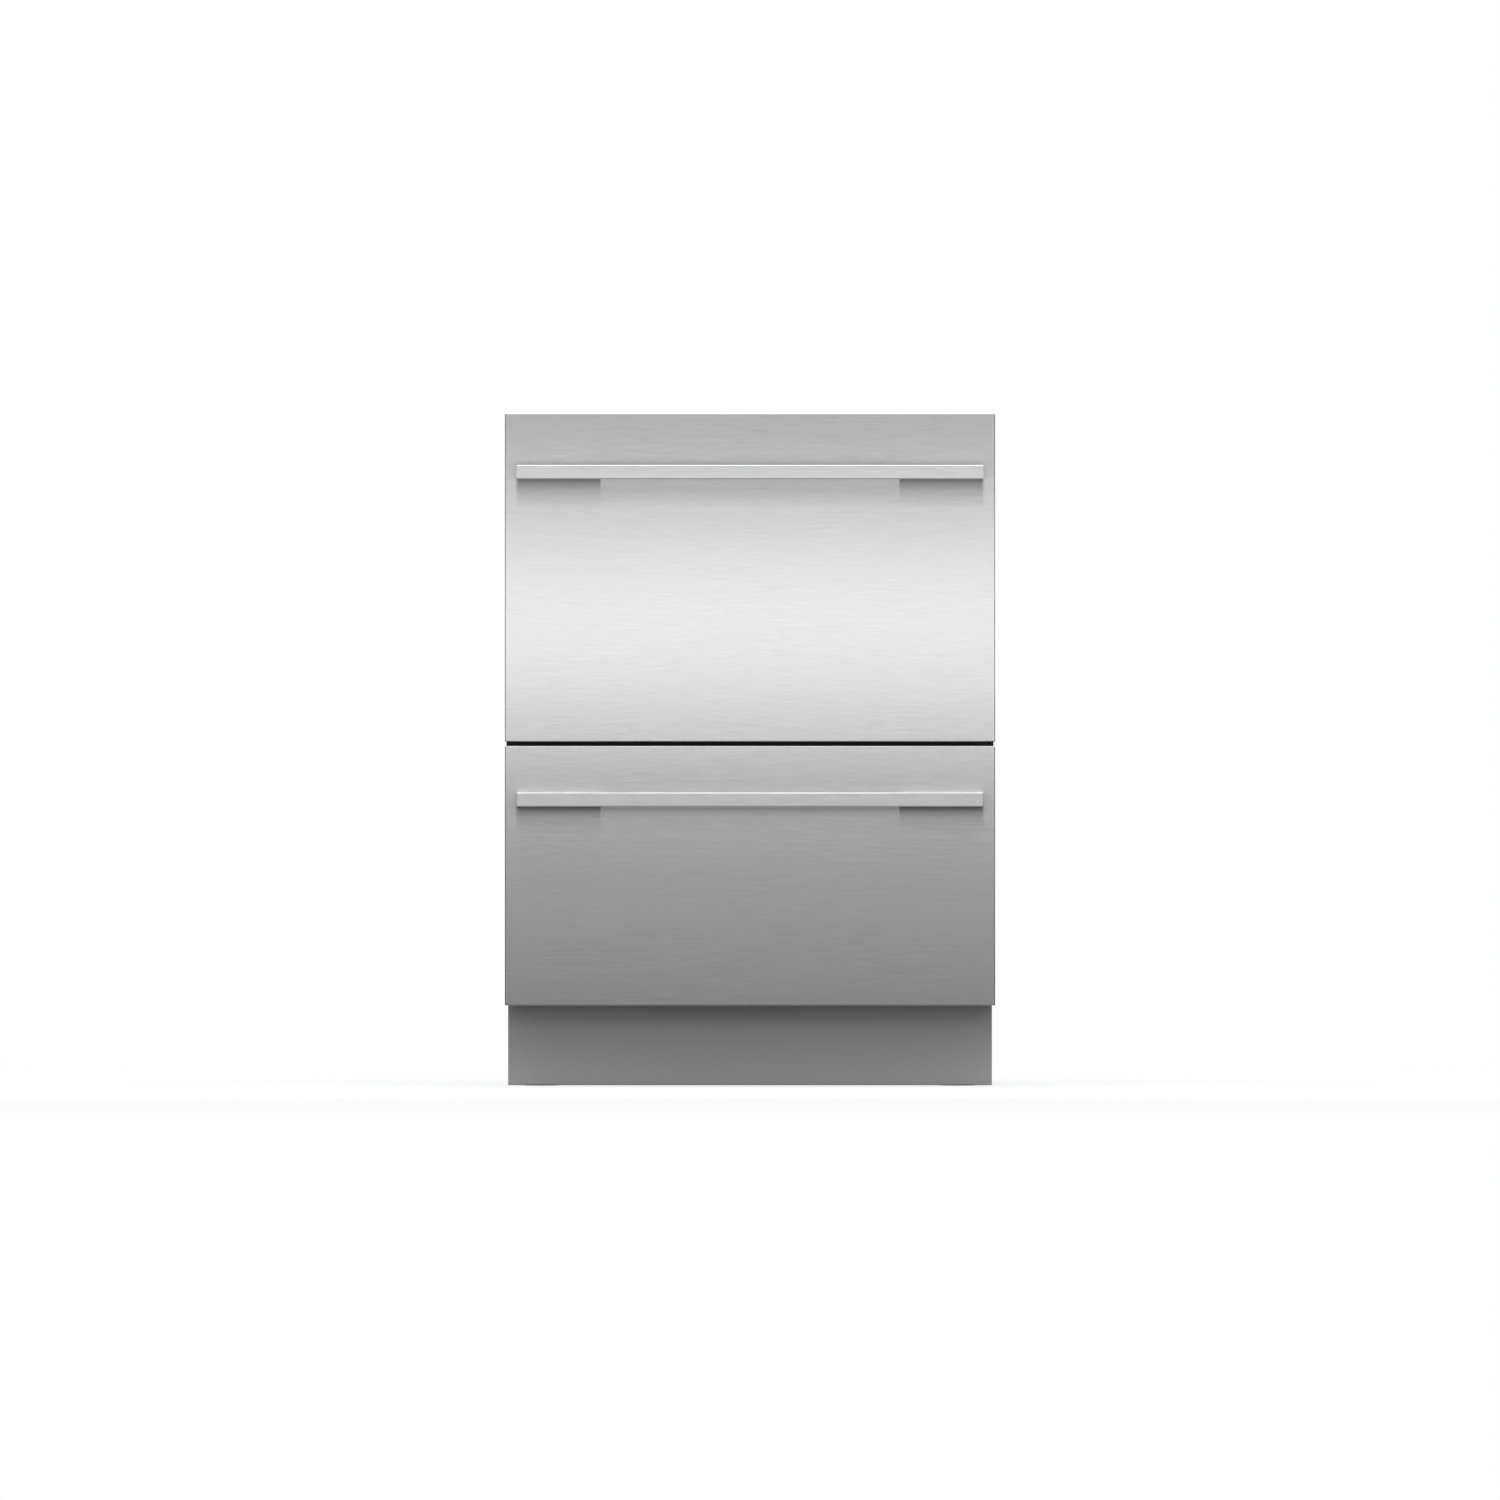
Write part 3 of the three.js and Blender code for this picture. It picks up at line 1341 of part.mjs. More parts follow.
// Welded wire basket: bent wires both ways, hoops, rows of tines, four legs and two rack clips.
function basketBody(height) {
  const top = height - TUB_RIM_DROP - BASKET_TOP_GAP;
  const under = BASKET_Z - WIRE * 0.6;
  const longWires = longWirePlaces.map((x) => {
    const front = [[x, BASKET_Y0, top], [x, BASKET_Y0, BASKET_Z]];
    const rear = [[x, BASKET_Y1, BASKET_Z], [x, BASKET_Y1, top]];
    return wire([...front, ...rear], WIRE, BASKET_R);
  });
  const crossWires = crossWirePlaces.map((y) => {
    const left = [[-BASKET_X, y, top], [-BASKET_X, y, under]];
    const right = [[BASKET_X, y, under], [BASKET_X, y, top]];
    return wire([...left, ...right], WIRE, BASKET_R);
  });
  const tineRows = longWirePlaces.slice(2, 4);
  const tinePlaces = spread(BASKET_Y0 + TINE_END_INSET, BASKET_Y1 - TINE_END_INSET, TINES_PER_ROW);
  const half = TINE_W / 2;
  const tines = tineRows.flatMap((x) =>
    tinePlaces.map((y) =>
      box(x - half, x + half, y - half, y + half, BASKET_Z, BASKET_Z + TINE_H),
    ),
  );
  const legs = [longWirePlaces[0], longWirePlaces[LONG_WIRES - 1]].flatMap((x) =>
    [crossWirePlaces[0], crossWirePlaces[CROSS_WIRES - 1]].map((y) =>
      rod(WIRE, [x, y, TUB_FLOOR + FIT], [x, y, BASKET_Z], 6),
    ),
  );
  const clips = clipPlaces.map((y) =>
    cut(
      box(
        -BASKET_X - WIRE / 2,
        rackAxis.x + CLIP_REACH,
        y - CLIP_T / 2,
        y + CLIP_T / 2,
        rackAxis.z - CLIP_REACH,
        rackAxis.z + CLIP_REACH,
      ),
      rod(
        PIVOT_R + 2 * RUN,
        [rackAxis.x, y - CLIP_T, rackAxis.z],
        [rackAxis.x, y + CLIP_T, rackAxis.z],
        8,
      ),
    ),
  );
  return join(
    hoop(top, WIRE * 1.5),
    ...longWires,
    ...crossWires,
    ...tines,
    ...legs,
    ...clips,
  );
}

// Folding rack for cups: a pivot rod, an outer rod and rungs between them.
function cupRackBody() {
  const { x, z } = rackAxis;
  const y0 = clipPlaces[0] - CUP_RACK_END;
  const y1 = clipPlaces[1] + CUP_RACK_END;
  const outerX = x + CUP_RACK_W;
  const pivot = rod(PIVOT_R, [x, y0 - 1, z], [x, y1 + 1, z], 8);
  const rungInset = CLIP_T / 2 + 8;
  const rungPlaces = spread(clipPlaces[0] + rungInset, clipPlaces[1] - rungInset, CUP_RACK_RODS);
  const frame = wire([[x, y0, z], [outerX, y0, z], [outerX, y1, z], [x, y1, z]], WIRE, 10);
  const rungs = rungPlaces.map((y) => rod(WIRE / 2, [x, y, z - 1], [outerX, y, z - 1], 4));
  return join(pivot, frame, ...rungs);
}

// Moulded cutlery basket with slotted walls, a grid floor and a carrying arch.
function cutleryBasketBody() {
  const x1 = BASKET_X - BASKET_R - RUN;
  const x0 = x1 - CUTLERY_W;
  const middleX = (x0 + x1) / 2;
  const y0 = (BASKET_Y0 + BASKET_Y1 - CUTLERY_L) / 2;
  const y1 = y0 + CUTLERY_L;
  const z0 = BASKET_Z + WIRE_FLAT + FIT;
  const z1 = z0 + CUTLERY_H;
  const outer = alongZ(roundedRectangle(x0, x1, y0, y1, 8, 2), z0, z1);
  const pitch = (CUTLERY_L - CUTLERY_WALL) / CUTLERY_CELLS;
  const cells = Array.from({ length: CUTLERY_CELLS }, (_, i) => {
    const start = y0 + CUTLERY_WALL + pitch * i;
    return alongZ(
      roundedRectangle(
        x0 + CUTLERY_WALL,
        x1 - CUTLERY_WALL,
        start,
        start + pitch - CUTLERY_WALL,
        4,
        1,
      ),
      z0 + CUTLERY_WALL,
      z1 + PAST,
    );
  });
  const halfWindow = CUTLERY_WINDOW_W / 2;
  const windows = Array.from({ length: CUTLERY_CELLS }, (_, i) => {
    const y = y0 + pitch * (i + 0.5);
    return box(
      x0 - PAST,
      x1 + PAST,
      y - halfWindow,
      y + halfWindow,
      z0 + CUTLERY_BAND,
      z1 - CUTLERY_BAND,
    );
  });
  const drains = Array.from({ length: CUTLERY_CELLS }, (_, i) => {
    const y = y0 + pitch * (i + 0.5);
    return box(middleX - 20, middleX + 20, y - 5, y + 5, z0 - PAST, z0 + CUTLERY_WALL + PAST);
  });
  const front = [[middleX, y0 + 1, z1 - 20], [middleX, y0 + 1, z1 + ARCH_H]];
  const rear = [[middleX, y1 - 1, z1 + ARCH_H], [middleX, y1 - 1, z1 - 20]];
  const arch = wire([...front, ...rear], ARCH_WIRE, 16);
  return join(cut(outer, ...cells, ...windows, ...drains), arch);
}

// ---------------------------------------------------------------- one drawer

function drawer({ name, height, handleDrop, bottom }) {
  const group = new THREE.Group();
  group.position.z = bottom;
  const add = (label, body, material) => {
    const mesh = piece(`${name}_${label}`, body, material);
    group.add(mesh);
    return mesh;
  };
  add("front_panel", frontPanelBody(height), BRUSHED_STEEL);
  add("handle", handleBody(height - handleDrop), BRUSHED_STEEL);
  add("inner_front", innerFrontBody(height), BLACK_PLASTIC);
  add("power_button", buttonBody(height), GREY_PLASTIC).position.x = buttonPlaces[0];
  add("start_button", buttonBody(height), GREY_PLASTIC).position.x = buttonPlaces[1];
  add("tub", tubBody(height), TUB_PLASTIC);
  add("dispenser", dispenserBody(), GREY_PLASTIC);
  add("dispenser_door", dispenserDoorBody(), GREY_PLASTIC);
  add("wash_motor", washMotorBody(), BLACK_PLASTIC);
  add("filter_plate", filterPlateBody(), GREY_PLASTIC);
  add("spray_arm", sprayArmBody(), GREY_PLASTIC);
  add("basket", basketBody(height), WIRE_COAT);
  add("cup_rack", cupRackBody(), WIRE_COAT);
  add("cutlery_basket", cutleryBasketBody(), GREY_PLASTIC);
  add("lid", lidBody(height), LID_PLASTIC);
  for (const side of SIDES) {
    const members = runnerMembers(height);
    for (const [member, body] of Object.entries(members)) {
      add(`runner_${member}_${side.name}`, body, RUNNER_STEEL).scale.x = side.sign;
    }
    add(`lid_lifter_${side.name}`, lidLifterBody(height), BLACK_PLASTIC).scale.x = side.sign;
  }
  return group;
}

// ---------------------------------------------------------------- the whole machine

const dishwasher = new THREE.Group();
dishwasher.name = "dishwasher";
dishwasher.add(chassis(), ...DRAWERS.map(drawer));

// The handles' face and the chassis rear lie equally far from Y = 0.
const handleFace = -FIT - HANDLE_REACH - HANDLE_BAR_T;
dishwasher.position.y = -(handleFace + CHASSIS_DEPTH) / 2;

export default dishwasher;
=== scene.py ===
# %% [markdown]
# # A dishwasher with two wash drawers
# The machine is built here over a frame: simple solids that already have their real size and place, and
# that move on their joints. Each cell below dresses one piece of the machine, or makes its finish. All
# lengths are metres, +Z is up and the fronts face -Y.

# %% Load the frame
import json
import math
import bpy
import bmesh
from mathutils import Matrix, Vector


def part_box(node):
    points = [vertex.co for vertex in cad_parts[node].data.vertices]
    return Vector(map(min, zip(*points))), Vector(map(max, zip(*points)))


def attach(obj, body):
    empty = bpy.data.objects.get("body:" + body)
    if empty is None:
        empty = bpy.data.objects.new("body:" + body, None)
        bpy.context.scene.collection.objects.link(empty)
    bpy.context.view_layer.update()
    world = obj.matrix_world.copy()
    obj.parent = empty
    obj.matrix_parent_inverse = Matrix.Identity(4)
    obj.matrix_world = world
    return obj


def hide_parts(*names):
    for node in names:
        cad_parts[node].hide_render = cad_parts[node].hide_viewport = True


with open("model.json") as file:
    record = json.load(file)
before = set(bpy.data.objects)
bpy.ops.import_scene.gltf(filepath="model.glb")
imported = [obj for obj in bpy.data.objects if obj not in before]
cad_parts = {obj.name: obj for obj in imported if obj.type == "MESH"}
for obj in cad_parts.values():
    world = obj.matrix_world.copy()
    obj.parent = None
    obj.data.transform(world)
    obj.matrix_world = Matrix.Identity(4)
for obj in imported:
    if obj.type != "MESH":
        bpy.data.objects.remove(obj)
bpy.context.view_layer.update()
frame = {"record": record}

MM = 0.001
for left_over in ("Cube", "Light", "Camera"):
    if left_over in bpy.data.objects:
        bpy.data.objects.remove(bpy.data.objects[left_over])

# %% [markdown]
# ## Shader maths that reads like arithmetic
# A material is a graph of nodes, and a graph built line by line soon hides its own sums. So one small
# class wraps a socket and lets Python's operators add the Math nodes: `1 - mask * 0.2` is then a piece
# of shader. Anything that isn't arithmetic comes from one method, `Finish.node`, which sets a node's
# options first and its sockets after. Colours are blended by `Finish.blend`, because a Math node would
# turn them grey.

# %% A socket with operators
class Socket:
    def __init__(self, finish, output):
        self.finish = finish
        self.output = output

    def sum(self, operation, first, second):
        options = {"operation": operation}
        return self.finish.node("ShaderNodeMath", options, {0: first, 1: second})

    def __add__(self, other):
        return self.sum("ADD", self, other)

    def __sub__(self, other):
        return self.sum("SUBTRACT", self, other)

    def __rsub__(self, other):
        return self.sum("SUBTRACT", other, self)

    def __mul__(self, other):
        return self.sum("MULTIPLY", self, other)

    def __gt__(self, other):
        return self.sum("GREATER_THAN", self, other)

    def __lt__(self, other):
        return self.sum("LESS_THAN", self, other)

    def __rpow__(self, other):
        return self.sum("POWER", other, self)

    __radd__ = __add__
    __rmul__ = __mul__


# %% A material under construction
class Finish:
    def __init__(self, owner):
        """A node graph that belongs to a new material, or to the world."""
        self.owner = owner
        owner.use_nodes = True
        self.tree = owner.node_tree
        self.tree.nodes.clear()

    def node(self, kind, options=None, values=None, out=0):
        made = self.tree.nodes.new(kind)
        for name, option in (options or {}).items():
            setattr(made, name, option)
        for name, value in (values or {}).items():
            if isinstance(value, Socket):
                self.tree.links.new(value.output, made.inputs[name])
            else:
                made.inputs[name].default_value = value
        return Socket(self, made.outputs[out])

    def place(self, scale):
        here = self.node("ShaderNodeTexCoord", out="Object")
        return self.node("ShaderNodeMapping", {}, {"Vector": here, "Scale": scale})

    def noise(self, scale, detail=3.0):
        values = {"Vector": self.place(scale), "Scale": 1.0, "Detail": detail, "Roughness": 0.55}
        return self.node("ShaderNodeTexNoise", {}, values)

    def where(self, axis):
        """How far a point lies along one axis of the object."""
        here = self.node("ShaderNodeTexCoord", out="Object")
        return self.node("ShaderNodeSeparateXYZ", {}, {"Vector": here}, out=axis)

    def aside(self):
        """How far a point lies to either side of the middle."""
        return self.node("ShaderNodeMath", {"operation": "ABSOLUTE"}, {0: self.where("X")})

    def blend(self, factor, first, second):
        options = {"data_type": "RGBA"}
        return self.node("ShaderNodeMix", options, {0: factor, 6: first, 7: second}, out=2)

    def ramp(self, value, start, end):
        """Nought at start, one at end and beyond."""
        return self.node("ShaderNodeMapRange", {}, {"Value": value, "From Min": start, "From Max": end})

    def bump(self, height, distance, strength):
        values = {"Height": height, "Distance": distance, "Strength": strength}
        return self.node("ShaderNodeBump", {}, values)

    def ended(self, surface, kind="ShaderNodeOutputMaterial"):
        """The graph's last node. What the graph belongs to comes back."""
        end = self.tree.nodes.new(kind)
        self.tree.links.new(surface.output, end.inputs["Surface"])
        return self.owner

    def done(self, values):
        return self.ended(self.node("ShaderNodeBsdfPrincipled", {}, values))


def new_finish(name):
    return Finish(bpy.data.materials.new(name))


def rgb(red, green, blue):
    return (red, green, blue, 1.0)


def toned(base, factor):
    """A colour made darker or lighter."""
    return rgb(*(min(1.0, part * factor) for part in base))


# %% [markdown]
# ## Brushed stainless steel
# The fronts and handles are sheet and bar that were brushed from left to right. The grain is a noise
# that is drawn out along X, so that it reads as fine hairs, over a second, softer one for the slow
# streaks left by the belt. Both touch the roughness and the colour by a breath, and a bump of a few
# micrometres: the bright band that the steel shows comes from the lights. Two things that lamps draw too
# faintly on metal are worked into the colour as well: the soft shade under the handles, and a dark line
# of a millimetre where an edge turns away.

# %% Steel finish
HAIR_SCALE = (36, 500, 520)
STREAK_SCALE = (7, 60, 320)
# the dark colour that the painted shade blends towards
PAINTED_SHADE_COLOUR = rgb(0.06, 0.06, 0.06)
STEEL_ROUGHNESS = 0.26
GRAIN_ROUGHNESS = 0.04 # how far the grain spreads it


def brushed_steel(name, base, shade):
    made = new_finish(name)
    hair = made.noise(HAIR_SCALE, 2.0)
    streak = made.noise(STREAK_SCALE, 2.0)
    grain = hair * 0.75 + streak * 0.25
    colour = made.blend(grain, toned(base, 0.87), toned(base, 1.11))
    return made.done({
        # the shade mask paints shade into the colour here
        "Base Color": made.blend(shade(made), colour, PAINTED_SHADE_COLOUR),
        "Metallic": 0.86,
        "Roughness": grain * GRAIN_ROUGHNESS + (STEEL_ROUGHNESS - GRAIN_ROUGHNESS / 2),
        "Normal": made.bump(hair, 0.000004, 0.3),
    })


# %% Shade painted into the steel's colour
DRAWERS = ("upper", "lower")
HANDLE_FOOT_L = 102 * MM
# the width of a painted dark line along an edge that turns away from the light
EDGE_LINE = 1.1 * MM
FOOT_SHADE = 0.66
FOOT_FADE = 0.35 # what is left of the shade after each drop
SHADE_DROP = 9 * MM
BAR_SHADE = {"upper": 0.24, "lower": 0.12}
BAR_FADE = (36 * MM, 10 * MM) # below the bar: none yet, and all of it


def painted_shade_on_fronts(finish):
    """Painted shade: under the handles' feet, weaker under the bar, fading downwards; dark lines on side
    edges and lower folds.
    """
    up, aside = finish.where("Z"), finish.aside()
    (_, front, _), (half, _, _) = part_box("upper_front_panel")
    # painted shade over the fronts' side flanges, darkest along their front edge
    total = (aside > half - EDGE_LINE) * ((finish.where("Y") < front + EDGE_LINE) * 0.3 + 0.45)
    for drawer in DRAWERS:
        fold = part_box(f"{drawer}_front_panel")[0][2]
        # painted shade: a dark line along the lower fold of each front
        total = (up > fold - EDGE_LINE) * (up < fold + EDGE_LINE) * 0.6 + total
        (_, _, under), (end, _, _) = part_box(f"{drawer}_handle")
        foot = end - HANDLE_FOOT_L
        inner = finish.ramp(aside, foot - MM, foot)
        outer = finish.ramp(aside, end + 2 * MM, end - 2 * MM)
        drop = under - up
        by_foot = FOOT_FADE ** (drop * (1 / SHADE_DROP))
        by_bar = finish.ramp(drop, *BAR_FADE) * BAR_SHADE[drawer]
        total = outer * (drop > 0) * (inner * by_foot * FOOT_SHADE + by_bar) + total
    return total


def painted_shade_on_handles(finish):
    """Painted shade on the turned ends of a bar handle and along its lower edge, which face away from the
    light.
    """
    up, depth = finish.where("Z"), finish.where("Y")
    total = (finish.aside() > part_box("upper_handle")[1][0] - EDGE_LINE) * 0.5
    for drawer in DRAWERS:
        _, front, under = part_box(f"{drawer}_handle")[0]
        edge = (up > under - EDGE_LINE) * (up < under + EDGE_LINE) * (depth < front + EDGE_LINE)
        total = edge * 0.55 + total
    return total


STEEL = brushed_steel("front_steel", (0.72, 0.72, 0.72), painted_shade_on_fronts)
# The handle steel is a lighter copy of the front steel: the extra lightness paints in brightness that the
# lamps give the bar's face too weakly.
HANDLE_STEEL = brushed_steel("handle_steel", (0.82, 0.82, 0.82), painted_shade_on_handles)
print("steel finishes", STEEL.name, HANDLE_STEEL.name)

# %% [markdown]
# ## Sheet, paint, plastic and rubber
# The other finishes are quieter. Galvanised sheet has its flower of zinc crystals, which cells of a
# Voronoi texture draw. Moulded plastic has a spark-eroded grain of a tenth of a millimetre, and rubber
# a duller, coarser one. Each finish gets its grain in the bump, a slow cloud in the roughness and a
# very small change of colour, so that no surface is one flat tone.

# %% Galvanised and plated steel
def galvanised(name, base, cell):
    made = new_finish(name)
    place = made.place((1 / cell,) * 3)
    flower = made.node("ShaderNodeTexVoronoi", {}, {"Vector": place, "Scale": 1.0}, out="Color")
    shade = made.node("ShaderNodeRGBToBW", {}, {"Color": flower})
    tone = shade * 0.6 + made.noise((9, 9, 9)) * 0.4
    return made.done({
        "Base Color": made.blend(tone, toned(base, 0.82), toned(base, 1.1)),
        "Metallic": 0.85,
        "Roughness": tone * 0.22 + 0.34,
        "Normal": made.bump(shade, 0.00003, 0.4),
    })


ZINC_SHEET = galvanised("galvanised_sheet", (0.47, 0.485, 0.5), 0.012)
ZINC_PLATE = galvanised("zinc_plate", (0.66, 0.67, 0.69), 0.002)


# %% Plastics, paint and rubber
def moulded(name, base, rough, grain_size, depth, coat=0.0):
    made = new_finish(name)
    grain = made.noise((1 / grain_size,) * 3, 2.0)
    cloud = made.noise((6, 6, 6), 4.0)
    return made.done({
        "Base Color": made.blend(cloud, toned(base, 0.9), toned(base, 1.08)),
        "Roughness": cloud * 0.12 + (rough - 0.06),
        "Normal": made.bump(grain, depth, 0.7),
        "Coat Weight": coat,
    })


BLACK_PLASTIC = moulded("black_moulding", (0.016, 0.016, 0.018), 0.46, 0.0006, 0.00004)
GREY_PLASTIC = moulded("grey_moulding", (0.2, 0.21, 0.225), 0.44, 0.0006, 0.00004)
TUB_PLASTIC = moulded("tub_moulding", (0.52, 0.54, 0.56), 0.38, 0.0012, 0.00003, 0.2)
LID_PLASTIC = moulded("lid_moulding", (0.4, 0.42, 0.44), 0.5, 0.0009, 0.00005)
WHITE_PLASTIC = moulded("white_moulding", (0.8, 0.8, 0.78), 0.4, 0.0008, 0.00003)
BLUE_PLASTIC = moulded("blue_moulding", (0.05, 0.16, 0.42), 0.35, 0.0008, 0.00003)
WIRE_COAT = moulded("wire_coat", (0.6, 0.62, 0.635), 0.34, 0.0015, 0.00003, 0.3)


TOE_LIGHT_Z = 12 * MM # from this height down no shade of the recess is left


def toe_paint():
    """A satin grey coat, with a little of the recess's own shade worked into its colour."""
    made = new_finish("toe_kick_paint")
    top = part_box("toe_kick")[1][2]
    tone = made.noise((6, 6, 6), 4.0) * 0.12 + made.ramp(made.where("Z"), top, TOE_LIGHT_Z) * 0.88
    return made.done({
        "Base Color": made.blend(tone, rgb(0.14, 0.14, 0.14), rgb(0.31, 0.31, 0.31)),
        "Roughness": tone * 0.08 + 0.5,
        "Normal": made.bump(made.noise((700, 700, 700), 2.0), 0.00004, 0.7),
    })


TOE_PAINT = toe_paint()
RUBBER = moulded("black_rubber", (0.02, 0.02, 0.021), 0.74, 0.0009, 0.00006)
PRINT_INK = moulded("printed_ink", (0.72, 0.73, 0.74), 0.5, 0.0008, 0.00001)
print("finishes", len(bpy.data.materials))

# %% [markdown]
# ## Making meshes
# Most pieces are one of four things: an outline pushed along an axis, a profile turned about one, a
# skin over a row of rings, or a cut between such solids. The helpers below make each of them as a
# closed mesh with its faces outwards, smooth it where faces meet at a small angle, and put it on its
# body. Every object stays at the origin, so that patterns never slide.

# %% Rings into meshes
def mesh_piece(name, points, faces, material, smooth=32):
    mesh = bpy.data.meshes.new(name)
    mesh.from_pydata([tuple(point) for point in points], [], faces)
    shape = bmesh.new()
    shape.from_mesh(mesh)
    bmesh.ops.remove_doubles(shape, verts=shape.verts, dist=1e-6)
    bmesh.ops.recalc_face_normals(shape, faces=shape.faces)
    shape.to_mesh(mesh)
    shape.free()
    made = bpy.data.objects.new(name, mesh)
    bpy.context.scene.collection.objects.link(made)
    mesh.materials.append(material)
    soften(made, smooth)
    return made


def soften(piece, smooth=32):
    piece.data.polygons.foreach_set("use_smooth", [True] * len(piece.data.polygons))
    piece.data.set_sharp_from_angle(angle=math.radians(smooth))


def skin(name, rings, material, closed=False, smooth=32):
    """A mesh over rings of equally many points. Closed rings of rings need no end caps."""
    count = len(rings[0])
    points = [point for ring in rings for point in ring]
    faces = []
    for level in range(len(rings) if closed else len(rings) - 1):
        start, after = level * count, (level + 1) % len(rings) * count
        for i in range(count):
            j = (i + 1) % count
            faces.append((start + i, start + j, after + j, after + i))
    if not closed:
        faces.append(tuple(reversed(range(count))))
        faces.append(tuple(range(len(points) - count, len(points))))
    return mesh_piece(name, points, faces, material, smooth)


# %% Outlines
def mm(*pairs, base=(0, 0)):
    """Pairs in millimetres, counted from a base in metres."""
    return [(base[0] + a * MM, base[1] + b * MM) for a, b in pairs]


def box_of(node):
    """The lowest and highest corners of a frame solid."""
    return [Vector(corner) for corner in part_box(node)]


def at_axis(axis, along, a, b):
    """A point from its place along an axis and its two other coordinates in X, Y, Z order."""
    point = [a, b]
    point.insert("XYZ".index(axis), along)
    return Vector(point)


def prism(name, outline, axis, low, high, material):
    rings = [[at_axis(axis, end, a, b) for a, b in outline] for end in (low, high)]
    return skin(name, rings, material)


def rounded(a0, a1, b0, b1, radius, steps=6):
    """The outline of a rectangle with round corners."""
    corners = [(a1 - radius, b1 - radius), (a0 + radius, b1 - radius)]
    corners += [(a0 + radius, b0 + radius), (a1 - radius, b0 + radius)]
    outline = []
    for quarter, (a, b) in enumerate(corners):
        for step in range(steps + 1):
            angle = (quarter + step / steps) * math.pi / 2
            outline.append((a + radius * math.cos(angle), b + radius * math.sin(angle)))
    return outline


def turned(name, profile, axis, centre, material, sides=48, smooth=32):
    """A profile of (radius, height) pairs turned about an axis through a centre."""
    rings = []
    for radius, height in profile:
        ring = []
        for side in range(sides):
            angle = side / sides * 2 * math.pi
            spoke = (max(radius, 1e-7) * math.cos(angle), max(radius, 1e-7) * math.sin(angle))
            ring.append(at_axis(axis, height, *spoke) + Vector(centre))
        rings.append(ring)
    return skin(name, rings, material, smooth=smooth)


def block(name, low, high, material, bevel=0.0, segments=3):
    outline = [(low[0], low[1]), (high[0], low[1]), (high[0], high[1]), (low[0], high[1])]
    made = prism(name, outline, "Z", low[2], high[2], material)
    return eased(made, bevel, segments) if bevel else made


# %% Modifiers that are used up at once
def settled(piece, smooth=32):
    """The piece with its modifiers worked into a plain mesh."""
    graph = bpy.context.evaluated_depsgraph_get()
    mesh = bpy.data.meshes.new_from_object(piece.evaluated_get(graph), depsgraph=graph)
    piece.modifiers.clear()
    old = piece.data
    piece.data = mesh
    bpy.data.meshes.remove(old)
    if smooth is not None:
        soften(piece, smooth)
    return piece


def eased(piece, width, segments=3, angle=40):
    """The piece with its sharp edges rounded."""
    bevel = piece.modifiers.new("ease", "BEVEL")
    bevel.width = width
    bevel.segments = segments
    bevel.limit_method = "ANGLE"
    bevel.angle_limit = math.radians(angle)
    return settled(piece)


def carve(piece, *tools, operation="DIFFERENCE", smooth=32):
    """The piece cut by, or joined to, others, which are used up."""
    for tool in tools:
        boolean = piece.modifiers.new("carve", "BOOLEAN")
        boolean.operation = operation
        boolean.object = tool
        boolean.solver = "EXACT"
    settled(piece, smooth)
    for tool in tools:
        bpy.data.objects.remove(tool)
    return piece


def together(name, pieces):
    """Several meshes as one object, each with its own material."""
    shape = bmesh.new()
    materials = []
    for piece in pieces:
        here = list(piece.data.materials)
        offset = {}
        for i, material in enumerate(here):
            if material not in materials:
                materials.append(material)
            offset[i] = materials.index(material)
        before = len(shape.faces)
        shape.from_mesh(piece.data)
        shape.faces.ensure_lookup_table()
        for face in shape.faces[before:]:
            face.material_index = offset.get(face.material_index, 0)
        bpy.data.objects.remove(piece)
    mesh = bpy.data.meshes.new(name)
    shape.to_mesh(mesh)
    shape.free()
    for material in materials:
        mesh.materials.append(material)
    made = bpy.data.objects.new(name, mesh)
    bpy.context.scene.collection.objects.link(made)
    return made


# %% Putting a piece on the machine
BODY_OF = {node: body for body, nodes in frame["record"]["behaviour"]["bodies"].items() for node in nodes}


def flats_kept(piece):
    """Normals weighted by area: a wide face shades flat and only its rounded edges turn the light."""
    if piece.type == "MESH":
        piece.modifiers.new("flats", "WEIGHTED_NORMAL").keep_sharp = True
        settled(piece, None)
    return piece


def stands_for(piece, node):
    """The piece takes a frame solid's place, on its body and in its material slot."""
    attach(flats_kept(piece), BODY_OF[node])
    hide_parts(node)
    return piece


def rides_with(piece, node):
    """An added piece goes with a frame solid."""
    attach(flats_kept(piece), BODY_OF[node])
    return piece


def tell(piece):
    print(piece.name, len(piece.data.polygons), "faces")


def for_each_drawer(make):
    for drawer in DRAWERS:
        tell(make(drawer))


# %% [markdown]
# ## Geometry Nodes for what repeats
# A dishwasher is full of repeats: wires, tines, screws, slats and ribs. Each tree below is made once, with
# its sizes as named inputs, and is then run on a small mesh of points or edges that says where the copies
# go. `Tree` is to these graphs what `Finish` is to materials. `grown` runs a tree and keeps its result as
# a plain mesh, because an object that still has the modifier would lose its copies when it is exported.

